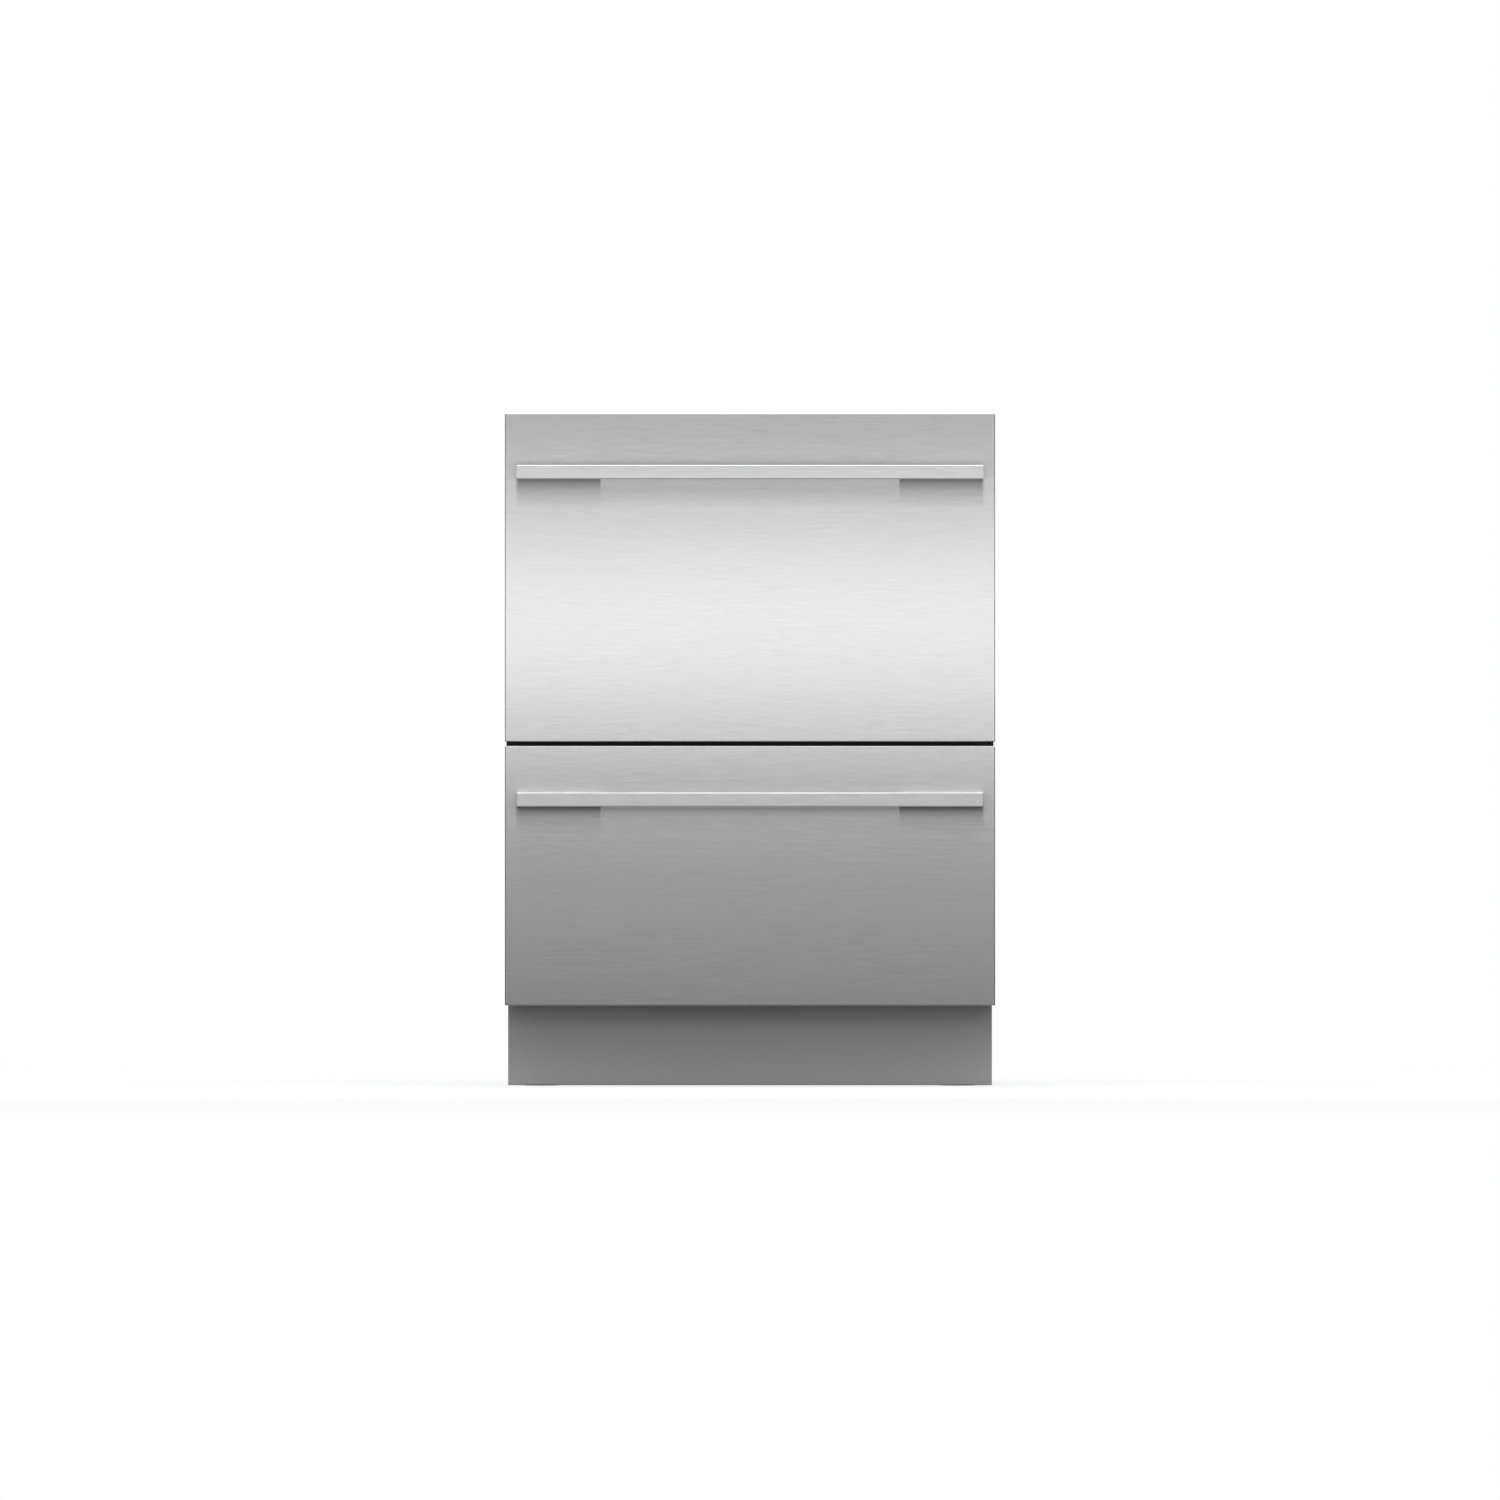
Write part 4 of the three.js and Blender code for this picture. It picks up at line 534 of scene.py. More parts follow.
# %% A Geometry Nodes tree under construction
class Tree:
    def __init__(self, name, *inputs):
        self.group = bpy.data.node_groups.new(name, "GeometryNodeTree")
        sockets = self.group.interface
        sockets.new_socket("Geometry", in_out="INPUT", socket_type="NodeSocketGeometry")
        sockets.new_socket("Geometry", in_out="OUTPUT", socket_type="NodeSocketGeometry")
        for label, kind in inputs:
            sockets.new_socket(label, in_out="INPUT", socket_type=f"NodeSocket{kind}")
        sockets.new_socket("Material", in_out="INPUT", socket_type="NodeSocketMaterial")
        self.start = self.group.nodes.new("NodeGroupInput")

    def given(self, label):
        return self.start.outputs[label]

    def node(self, kind, options=None, values=None, out=0):
        made = self.group.nodes.new(kind)
        for name, option in (options or {}).items():
            setattr(made, name, option)
        for name, value in (values or {}).items():
            if isinstance(value, bpy.types.NodeSocket):
                self.group.links.new(value, made.inputs[name])
            else:
                made.inputs[name].default_value = value
        return made.outputs[out]

    def finished(self, geometry):
        whole = self.node("GeometryNodeRealizeInstances", {}, {"Geometry": geometry})
        values = {"Geometry": whole, "Material": self.given("Material")}
        coated = self.node("GeometryNodeSetMaterial", {}, values)
        end = self.group.nodes.new("NodeGroupOutput")
        self.group.links.new(coated, end.inputs["Geometry"])
        return self


def grown(name, tree, points, edges, material, inputs):
    """A tree run on points and edges, kept as a plain mesh."""
    mesh = bpy.data.meshes.new(name)
    mesh.from_pydata([tuple(point) for point in points], edges, [])
    made = bpy.data.objects.new(name, mesh)
    bpy.context.scene.collection.objects.link(made)
    modifier = made.modifiers.new(tree.group.name, "NODES")
    modifier.node_group = tree.group
    for item in tree.group.interface.items_tree:
        if item.in_out == "INPUT" and item.name != "Geometry":
            modifier[item.identifier] = {**inputs, "Material": material}[item.name]
    return settled(made, 40)


# %% Wires bent along edges
def wire_tree():
    tree = Tree("wires", ("Diameter", "Float"), ("Bend", "Float"), ("Sides", "Int"))
    route = tree.node("GeometryNodeMeshToCurve", {}, {"Mesh": tree.given("Geometry")})
    bends = {"Curve": route, "Count": 5, "Radius": tree.given("Bend"), "Limit Radius": True}
    route = tree.node("GeometryNodeFilletCurve", {"mode": "POLY"}, bends)
    half = tree.node("ShaderNodeMath", {"operation": "MULTIPLY"}, {0: tree.given("Diameter"), 1: 0.5})
    round_bar = {"Resolution": tree.given("Sides"), "Radius": half}
    section = tree.node("GeometryNodeCurvePrimitiveCircle", {}, round_bar)
    swept = {"Curve": route, "Profile Curve": section, "Fill Caps": True}
    return tree.finished(tree.node("GeometryNodeCurveToMesh", {}, swept))


# %% Copies on points, and round an axis
def copy_tree():
    tree = Tree("copies", ("Pattern", "Object"))
    info = tree.node("GeometryNodeObjectInfo", {}, {"Object": tree.given("Pattern")}, out="Geometry")
    spots = tree.node("GeometryNodeMeshToPoints", {}, {"Mesh": tree.given("Geometry")})
    placed = {"Points": spots, "Instance": info}
    return tree.finished(tree.node("GeometryNodeInstanceOnPoints", {}, placed))


def wheel_tree():
    tree = Tree("wheel", ("Pattern", "Object"), ("Count", "Int"), ("Centre", "Vector"))
    info = tree.node("GeometryNodeObjectInfo", {}, {"Object": tree.given("Pattern")}, out="Geometry")
    hub = tree.node("GeometryNodeMeshLine", {}, {"Count": tree.given("Count"), "Offset": (0, 0, 0)})
    index = tree.node("GeometryNodeInputIndex")
    share = tree.node("ShaderNodeMath", {"operation": "DIVIDE"}, {0: index, 1: tree.given("Count")})
    angle = tree.node("ShaderNodeMath", {"operation": "MULTIPLY"}, {0: share, 1: 2 * math.pi})
    turn = tree.node("ShaderNodeCombineXYZ", {}, {"Z": angle})
    placed = {"Points": hub, "Instance": info, "Rotation": turn}
    spokes = tree.node("GeometryNodeInstanceOnPoints", {}, placed)
    moved = {"Geometry": spokes, "Translation": tree.given("Centre")}
    return tree.finished(tree.node("GeometryNodeTransform", {}, moved))


# %% The trees put to use
WIRES, COPIES, WHEEL = wire_tree(), copy_tree(), wheel_tree()


def wires(name, routes, diameter, bend, sides=10, closed=False, material=WIRE_COAT):
    """Round wires, each along a route of corner points."""
    points, edges = [], []
    for route in routes:
        start = len(points)
        points += route
        edges += [(start + i, start + i + 1) for i in range(len(route) - 1)]
        if closed:
            edges.append((start + len(route) - 1, start))
    return grown(name, WIRES, points, edges, material, {"Diameter": diameter, "Bend": bend, "Sides": sides})


def repeated(name, tree, pattern, places, **inputs):
    """A pattern run through a tree, and used up."""
    made = grown(name, tree, places, [], pattern.data.materials[0], {"Pattern": pattern, **inputs})
    bpy.data.objects.remove(pattern)
    return made


def copies(name, pattern, places):
    """A pattern that was made round the origin, repeated at places."""
    return repeated(name, COPIES, pattern, places)


def wheel(name, pattern, count, centre):
    """A pattern that was made beside the origin, repeated round an upright axis."""
    return repeated(name, WHEEL, pattern, [(0, 0, 0)], Count=count, Centre=tuple(centre))


def spread(first, last, count):
    return [first + (last - first) * i / (count - 1) for i in range(count)]


print("trees", WIRES.group.name, COPIES.group.name, WHEEL.group.name)

# %% [markdown]
# ## The steel fronts
# Each front is one sheet, folded back at its four edges and turned in behind. The only thing that tells
# steel from a grey board is how the fold rolls away from the light, so the fold gets a true radius in
# eight steps, with one narrow ring on the flat face that keeps the large face perfectly flat in shading.
# A skin over rings makes the outside, the turned-in flange and the inside in one go.

# %% Front panels
FOLD_R = 1.1 * MM
FRONT_SHEET = 1.2 * MM
FLANGE_W = 14 * MM
FRONT_CORNER_R = 1.6 * MM


def front_panel(drawer):
    node = f"{drawer}_front_panel"
    (x0, y0, z0), (x1, y1, z1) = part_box(node)

    def ring(inset, y):
        corner = max(FRONT_CORNER_R - inset, 0.1 * MM)
        outline = rounded(x0 + inset, x1 - inset, z0 + inset, z1 - inset, corner, 4)
        return [Vector((x, y, z)) for x, z in outline]

    rings = [ring(FOLD_R * 1.4, y0)]
    for angle in spread(0, math.pi / 2, 9):
        rings.append(ring(FOLD_R * (1 - math.sin(angle)), y0 + FOLD_R * (1 - math.cos(angle))))
    rings += [ring(0, y1 - FRONT_SHEET / 2), ring(FRONT_SHEET / 2, y1)]
    rings += [ring(FLANGE_W, y1), ring(FLANGE_W, y1 - FRONT_SHEET)]
    rings += [ring(FRONT_SHEET, y1 - FRONT_SHEET), ring(FRONT_SHEET, y0 + FRONT_SHEET)]
    return stands_for(skin(f"{drawer}_steel_front", rings, STEEL), node)


for_each_drawer(front_panel)

# %% [markdown]
# ## The bar handles
# A handle is a solid square-edged bar. Its two ends run back to the front as long feet, so that from in
# front only a bar is seen and from above a shallow bridge. The plan is drawn as one outline, pushed
# upwards by the bar's height, and then its edges are broken by one narrow flat chamfer, left sharp on both
# sides: that chamfer is what draws the bright line along the top edge of the bar.

# %% Handles
HANDLE_BAR_T = 12 * MM
HANDLE_FOOT_R = 6 * MM
HANDLE_BREAK = 0.8 * MM


def handle(drawer):
    node = f"{drawer}_handle"
    (_, y0, z0), (x1, y1, z1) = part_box(node)
    back, inner = y0 + HANDLE_BAR_T, x1 - HANDLE_FOOT_L
    fillet = []
    for angle in spread(0, math.pi / 2, 7):
        x = inner - HANDLE_FOOT_R * (1 - math.cos(angle))
        fillet.append((x, back + HANDLE_FOOT_R * (1 - math.sin(angle))))
    right = [(x1, y0), (x1, y1), (inner, y1), *fillet]
    outline = right + [(-x, y) for x, y in reversed(right)]
    made = prism(f"{drawer}_bar_handle", outline, "Z", z0, z1, HANDLE_STEEL)
    made = eased(made, HANDLE_BREAK, 1, angle=60)
    soften(made, 20)
    return stands_for(made, node)


for_each_drawer(handle)

# %% [markdown]
# ## Inner fronts, buttons and their marks
# Behind the steel sits a moulded black carrier. Its top edge is the control strip: one button to switch
# on and one to start, each in its own well, with plain marks printed beside them and a row of small
# lamps. The carrier is an outline pushed along Y with its edges eased. The wells are cut out, because a
# button that only touches a flat face has no shadow line round it and looks painted on.

# %% Where the detergent dispenser sits in the tub's front wall
DISPENSER_W = 90 * MM
DISPENSER_H = 40 * MM
DISPENSER_DEPTH = 17 * MM
DOOR_TO_FACE = 3.3 * MM # from the door's outer face back to the face of the frame
DOOR_OVERLAP = 0.5 * MM # the door's lower edge lies above the pocket's lower edge


def dispenser_box(drawer):
    """The pocket's corners, worked out from the door that closes it."""
    low, high = box_of(f"{drawer}_dispenser_door")
    middle = (low.x + high.x) / 2
    face = high.y - DOOR_TO_FACE
    bottom = low.z - DOOR_OVERLAP
    corner = Vector((middle - DISPENSER_W / 2, face - DISPENSER_DEPTH - 6 * MM, bottom))
    return corner, Vector((middle + DISPENSER_W / 2, face, bottom + DISPENSER_H))


print("upper pocket", [tuple(round(v, 4) for v in corner) for corner in dispenser_box("upper")])

# %% Inner fronts
BUTTONS = ("power", "start")
CARRIER_R = 6 * MM
WELL_PLAY = 0.7 * MM
WELL_R = 2.6 * MM
WELL_FLOOR = 1.5 * MM # below the button, so that it can be pressed by 1 mm
DISPENSER_ROOM = 4.2 * MM


def inner_front(drawer):
    node = f"{drawer}_inner_front"
    (x0, y0, z0), (x1, y1, z1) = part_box(node)
    outline = rounded(x0, x1, z0, z1, CARRIER_R, 6)
    made = prism(f"{drawer}_carrier", outline, "Y", y0, y1, BLACK_PLASTIC)
    made = eased(made, 1.1 * MM, 3, angle=50)
    tools = []
    for label in BUTTONS:
        low, high = box_of(f"{drawer}_{label}_button")
        hole = rounded(low.x - WELL_PLAY, high.x + WELL_PLAY, low.y - WELL_PLAY, high.y + WELL_PLAY, WELL_R)
        tools.append(prism("well", hole, "Z", low.z - WELL_FLOOR, z1 + 1 * MM, BLACK_PLASTIC))
    low, high = dispenser_box(drawer)
    room = Vector((DISPENSER_ROOM,) * 3)
    tools.append(block("room", low - room, high + room + Vector((0, 20 * MM, 0)), BLACK_PLASTIC))
    return stands_for(carve(made, *tools), node)


for_each_drawer(inner_front)


# %% Buttons with a dished top
def button(drawer, label):
    node = f"{drawer}_{label}_button"
    (x0, y0, z0), (x1, y1, z1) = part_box(node)

    def ring(inset, z):
        corner = max(2 * MM - inset * 0.5, 1 * MM)
        outline = rounded(x0 + inset, x1 - inset, y0 + inset, y1 - inset, corner)
        return [Vector((x, y, z)) for x, y in outline]

    edge = 0.6 * MM
    rings = [ring(0, z0), ring(0, z1 - edge), ring(edge * 0.3, z1 - edge * 0.3), ring(edge, z1)]
    rings += [ring(edge + 0.3 * MM, z1 - 0.03 * MM), ring(3 * MM, z1 - 0.35 * MM)]
    rings.append(ring(4 * MM, z1 - 0.4 * MM))
    return stands_for(skin(f"{node}_cap", rings, GREY_PLASTIC), node)


for drawer in DRAWERS:
    for label in BUTTONS:
        tell(button(drawer, label))

# %% Printed marks and lamps beside the buttons
MARK_T = 0.08 * MM
LAMP_COUNT = 4


def arc_band(radius, width, start, end, steps=20):
    """The outline of a flat arc round the origin."""
    turns = spread(math.radians(start), math.radians(end), steps)
    outer = [((radius + width / 2) * math.cos(a), (radius + width / 2) * math.sin(a)) for a in turns]
    inner = [((radius - width / 2) * math.cos(a), (radius - width / 2) * math.sin(a)) for a in turns]
    return outer + inner[::-1]


def marks(drawer):
    carrier = f"{drawer}_inner_front"
    (_, y0, _), (_, y1, top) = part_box(carrier)
    middle = (y0 + y1) / 2
    stroke = 0.6 * MM
    gap = 15 * MM

    def printed(outline, x):
        moved = [(x + a, middle + b) for a, b in outline]
        return prism("mark", moved, "Z", top, top + MARK_T, PRINT_INK)

    power_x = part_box(f"{drawer}_power_button")[0][0] - gap
    start_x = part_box(f"{drawer}_start_button")[1][0] + gap
    bar = rounded(-stroke / 2, stroke / 2, 0.5 * MM, 3.4 * MM, stroke / 2.1, 2)
    pieces = [printed(arc_band(2.6 * MM, stroke, 125, 415), power_x), printed(bar, power_x)]
    pieces.append(printed(mm((-1.8, -2.4), (2.4, 0), (-1.8, 2.4)), start_x))
    return rides_with(together(f"{drawer}_printed_marks", pieces), carrier)


def lamps(drawer):
    carrier = f"{drawer}_inner_front"
    (_, y0, _), (_, y1, top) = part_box(carrier)
    one = turned("lamp", mm((1.5, 0), (1.5, 0.2), (0.9, 0.45)), "Z", (0, 0, 0), WHITE_PLASTIC, 16)
    places = [(x, (y0 + y1) / 2, top - MARK_T) for x in spread(-9 * MM, 9 * MM, LAMP_COUNT)]
    return rides_with(copies(f"{drawer}_lamps", one, places), carrier)


for_each_drawer(marks)
for_each_drawer(lamps)

# %% [markdown]
# ## The wash tubs
# A tub is one moulding: a drafted box with a wide flat rim, a floor that falls to a round sump, and a
# wall of even thickness. Seen as a maker sees it, it is a single skin that starts under the sump, climbs
# the outside, goes over the rim and comes down the inside again. So it is made as one skin over rings.
# The rings over the floor change from the tub's rounded rectangle to the sump's circle: each point of
# the circle lies on the line from the middle to the same point of the rectangle, so nothing twists.

# %% Tub skins
LIP_W = 8 * MM
WALL_T = 3 * MM
DRAFT = 4 * MM
TUB_DEPTH = 500 * MM
TUB_CORNER_R = 60 * MM
FLOOR_R = 25 * MM
PAD_PROUD = 0.3 * MM
SUMP_R = 128 * MM
SUMP_DEPTH = 12 * MM
FLOOR_FALL = 1.4 * MM
TUB_STEPS = 14


class TubShape:
    """A tub's main places, worked out from its frame solid."""
    def __init__(self, drawer):
        (_, _, z0), (x1, y1, z1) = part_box(f"{drawer}_tub")
        self.half = x1 - PAD_PROUD
        self.rear, self.front = y1, y1 - TUB_DEPTH
        self.middle = Vector((0, (self.rear + self.front) / 2, 0))
        self.rim, self.sump_under = z1, z0
        self.sump = z0 + WALL_T
        self.floor = self.sump + SUMP_DEPTH

    def ring(self, away, z):
        radius = max(TUB_CORNER_R - away, 4 * MM)
        x, y0, y1 = self.half - away, self.front + away, self.rear - away
        return [Vector((a, b, z)) for a, b in rounded(-x, x, y0, y1, radius, TUB_STEPS)]

    def sump_ring(self, radius, z):
        made = []
        for point in self.ring(LIP_W, z):
            spoke = (point - self.middle).to_2d().normalized() * radius
            made.append(Vector((self.middle.x + spoke.x, self.middle.y + spoke.y, z)))
        return made

    def between(self, outer, inner, share, z):
        return [Vector((*a.lerp(b, share).to_2d(), z)) for a, b in zip(outer, inner, strict=True)]


def fillet_rings(tub, inset, floor):
    rings = []
    for angle in spread(0, math.pi / 2, 9):
        away = LIP_W + inset + DRAFT + FLOOR_R * (1 - math.sin(angle))
        rings.append(tub.ring(away, floor + FLOOR_R * (1 - math.cos(angle))))
    return rings


def tub_skin(drawer, tub):
    soft, lip_soft = 2.5 * MM, 1.2 * MM
    under, floor = tub.floor - WALL_T, tub.floor
    rings = [tub.sump_ring(SUMP_R * 0.5, tub.sump_under)]
    rings.append(tub.sump_ring(SUMP_R + WALL_T - soft, tub.sump_under))
    rings += [tub.sump_ring(SUMP_R + WALL_T, tub.sump_under + soft), tub.sump_ring(SUMP_R + WALL_T, under)]
    rings += fillet_rings(tub, 0, under)
    rings += [tub.ring(LIP_W, tub.rim - WALL_T - soft), tub.ring(LIP_W - soft, tub.rim - WALL_T)]
    rings += [tub.ring(lip_soft, tub.rim - WALL_T), tub.ring(0, tub.rim - WALL_T + lip_soft)]
    rings += [tub.ring(0, tub.rim - lip_soft), tub.ring(lip_soft * 0.3, tub.rim - lip_soft * 0.3)]
    rings += [tub.ring(lip_soft, tub.rim), tub.ring(lip_soft * 1.5, tub.rim)]
    inner = LIP_W + WALL_T
    rings += [tub.ring(inner - soft, tub.rim), tub.ring(inner - soft * 0.3, tub.rim - soft * 0.3)]
    rings += [tub.ring(inner, tub.rim - soft)]
    ledge = tub.rim - 52 * MM
    rings += [tub.ring(inner + 0.7 * MM, ledge + soft), tub.ring(inner + 2 * MM, ledge)]
    fillet = fillet_rings(tub, WALL_T, floor)[::-1]
    rings += fillet
    edge = tub.sump_ring(SUMP_R + soft, floor)
    rings += [tub.between(fillet[-1], edge, share, floor - FLOOR_FALL * share) for share in (0.02, 0.35, 0.7)]
    rings += [tub.sump_ring(SUMP_R + soft, floor - FLOOR_FALL)]
    rings += [tub.sump_ring(SUMP_R + soft * 0.3, floor - FLOOR_FALL - soft * 0.3)]
    rings += [tub.sump_ring(SUMP_R, floor - FLOOR_FALL - soft), tub.sump_ring(SUMP_R, tub.sump + soft)]
    rings += [tub.sump_ring(SUMP_R - soft, tub.sump), tub.sump_ring(SUMP_R * 0.5, tub.sump)]
    return skin(f"{drawer}_wash_tub", rings, TUB_PLASTIC, smooth=38)


TUBS = {drawer: TubShape(drawer) for drawer in DRAWERS}
for drawer, tub in TUBS.items():
    print(drawer, "tub floor at", round(tub.floor, 4), "rim at", round(tub.rim, 4))

# %% [markdown]
# ## What goes on the tub
# Under the rim runs a row of short ribs that keep the wide lip straight, and on both sides sit the pads
# that the runners are screwed to. The ribs are copies on points along the rim. In the front wall there is
# a window for the detergent dispenser, a unit of its own: a case that reaches out through the wall, a
# frame on the inside and two lugs for its door. It is a block with rounded edges that is hollowed out.

# %% Ribs and runner pads
RIB_T = 1.8 * MM
RIB_DROP = 24 * MM
RIB_PITCH = 20 * MM
PAD_TRIM = 50 * MM
PAD_H = 40 * MM


def rim_ribs(tub):
    """Ribs along the sides, and along the ends of the tub."""
    reach = LIP_W - 0.8 * MM
    under = tub.rim - WALL_T + 0.2 * MM
    wedge = [(0, 0), (-reach, 0), (-reach - 1.5 * MM, -RIB_DROP), (-reach + 1 * MM, -RIB_DROP), (0, -3 * MM)]
    made = []
    for name, axis, run in (("side", "Y", tub.rear - tub.front), ("end", "X", 2 * tub.half)):
        middle = tub.middle.y if axis == "Y" else tub.middle.x
        half_run = run / 2 - TUB_CORNER_R
        along = spread(middle - half_run, middle + half_run, int((run - 2 * TUB_CORNER_R) / RIB_PITCH))
        for sign in (-1, 1):
            rib = prism("rib", [(sign * a, b) for a, b in wedge], axis, -RIB_T / 2, RIB_T / 2, TUB_PLASTIC)
            if axis == "Y":
                places = [(sign * (tub.half - 0.8 * MM), y, under) for y in along]
            else:
                edge = (tub.rear if sign > 0 else tub.front) - sign * 0.8 * MM
                places = [(x, edge, under) for x in along]
            made.append(copies(f"{name}_ribs", rib, places))
    return made


def runner_pads(tub, drawer):
    (_, _, z0), (_, _, z1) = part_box(f"{drawer}_runner_inner_left")
    middle = (z0 + z1) / 2
    made = []
    for sign in (-1, 1):
        inside, outside = sign * (tub.half - LIP_W - DRAFT), sign * (tub.half + PAD_PROUD)
        low = (min(inside, outside), tub.front + PAD_TRIM, middle - PAD_H / 2)
        high = (max(inside, outside), tub.rear - PAD_TRIM, middle + PAD_H / 2)
        made.append(block("pad", low, high, TUB_PLASTIC, 1.5 * MM))
    return made


# %% Tubs put together
def tub(drawer):
    shape = TUBS[drawer]
    made = tub_skin(drawer, shape)
    low, high = dispenser_box(drawer)
    around = WALL_T + 0.3 * MM
    outline = rounded(low.x - around, high.x + around, low.z - around, high.z + around, 3.2 * MM)
    window = prism("window", outline, "Y", low.y - 3 * MM, high.y + 6 * MM, TUB_PLASTIC)
    pieces = [carve(made, window, smooth=38), *rim_ribs(shape), *runner_pads(shape, drawer)]
    return stands_for(together(f"{drawer}_tub_moulding", pieces), f"{drawer}_tub")


for_each_drawer(tub)

# %% Dispensers
FRAME_W = 6 * MM
FRAME_T = 3 * MM
LUG_W = 5 * MM
LUG_H = 8 * MM


def dispenser(drawer):
    low, high = dispenser_box(drawer)
    rear = high.y
    outline = rounded(low.x - FRAME_W, high.x + FRAME_W, low.z - FRAME_W, high.z + FRAME_W, 5 * MM)
    plate = eased(prism("frame", outline, "Y", rear - FRAME_T, rear, GREY_PLASTIC), 1 * MM, 3, angle=50)
    back = rear - DISPENSER_DEPTH
    outline = rounded(low.x - WALL_T, high.x + WALL_T, low.z - WALL_T, high.z + WALL_T, 3 * MM)
    case = prism("case", outline, "Y", back - WALL_T, rear - FRAME_T / 2, GREY_PLASTIC)
    made = carve(plate, case, operation="UNION")
    hollow = rounded(low.x, high.x, low.z, high.z, 3 * MM)
    cavity = eased(prism("cavity", hollow, "Y", back, rear + 6 * MM, GREY_PLASTIC), 2 * MM, 3, angle=50)
    pieces = [carve(made, cavity)]
    door_low, door_high = box_of(f"{drawer}_dispenser_door")
    axis_y = (door_low.y + door_high.y) / 2
    for x in (low.x - FRAME_W, high.x + FRAME_W - LUG_W):
        lug_low = (x, high.y - 1 * MM, low.z - LUG_H / 4)
        lug_high = (x + LUG_W, axis_y + LUG_H / 2, low.z + LUG_H * 3 / 4)
        pieces.append(block("lug", lug_low, lug_high, GREY_PLASTIC, 1 * MM))
    return stands_for(together(f"{drawer}_dispenser_unit", pieces), f"{drawer}_dispenser")


for_each_drawer(dispenser)

# %% [markdown]
# ## Detergent doors
# The door is a small flap on two pins along its lower edge. It has a raised border and a finger ridge
# near the top, where it is flicked open. Both are stacked rings of a rounded rectangle, drawn a little
# further in at each step.

# %% Dispenser doors
DOOR_T = 3 * MM
DOOR_PIN_R = 1.5 * MM


def dispenser_door(drawer):
    node = f"{drawer}_dispenser_door"
    low, high = box_of(node)
    pocket_low, pocket_high = dispenser_box(drawer)
    x0, x1 = pocket_low.x + 0.4 * MM, pocket_high.x - 0.4 * MM
    axis_y = (low.y + high.y) / 2

    def ring(inset, y):
        outline = rounded(x0 + inset, x1 - inset, low.z + inset, high.z - inset, 2.4 * MM)
        return [Vector((x, y, z)) for x, z in outline]

    back, face = axis_y - DOOR_T / 2, axis_y + DOOR_T / 2
    rings = [ring(0.5 * MM, back), ring(0, back + 0.5 * MM), ring(0, face - 0.6 * MM), ring(0.6 * MM, face)]
    rings += [ring(3 * MM, face), ring(3.8 * MM, face - 0.8 * MM), ring(5 * MM, face - 0.8 * MM)]
    flap = skin("flap", rings, GREY_PLASTIC)
    middle = (x0 + x1) / 2
    ridge_low = (middle - 16 * MM, face - 1.2 * MM, high.z - 9 * MM)
    ridge = block("ridge", ridge_low, (middle + 16 * MM, face, high.z - 6 * MM), GREY_PLASTIC, 0.5 * MM)
    profile = [(DOOR_PIN_R * 0.8, low.x), (DOOR_PIN_R, low.x + 0.5 * MM)]
    profile += [(DOOR_PIN_R, high.x - 0.5 * MM), (DOOR_PIN_R * 0.8, high.x)]
    pin = turned("pin", profile, "X", (0, axis_y, low.z + DOOR_T / 2), GREY_PLASTIC, 16)
    return stands_for(together(f"{node}_flap", [flap, ridge, pin]), node)


for_each_drawer(dispenser_door)

# %% [markdown]
# ## Motor, filter and spray arm
# Under the sump hangs a flat motor, in the sump lies a round filter, and on the filter's post turns the
# spray arm. All three are round, so profiles are turned for their bodies, and what repeats round them,
# fins, screws and filter slats, is made by the wheel tree. The arm's blade is a skin over rings that
# follow an S and grow narrow at the tips, with a rounded section, because a flat cut-out would have no
# highlight along its back.

# %% Wash motors
MOTOR_FINS = 30
MOTOR_SCREWS = 6
SPIGOT_R = 9 * MM


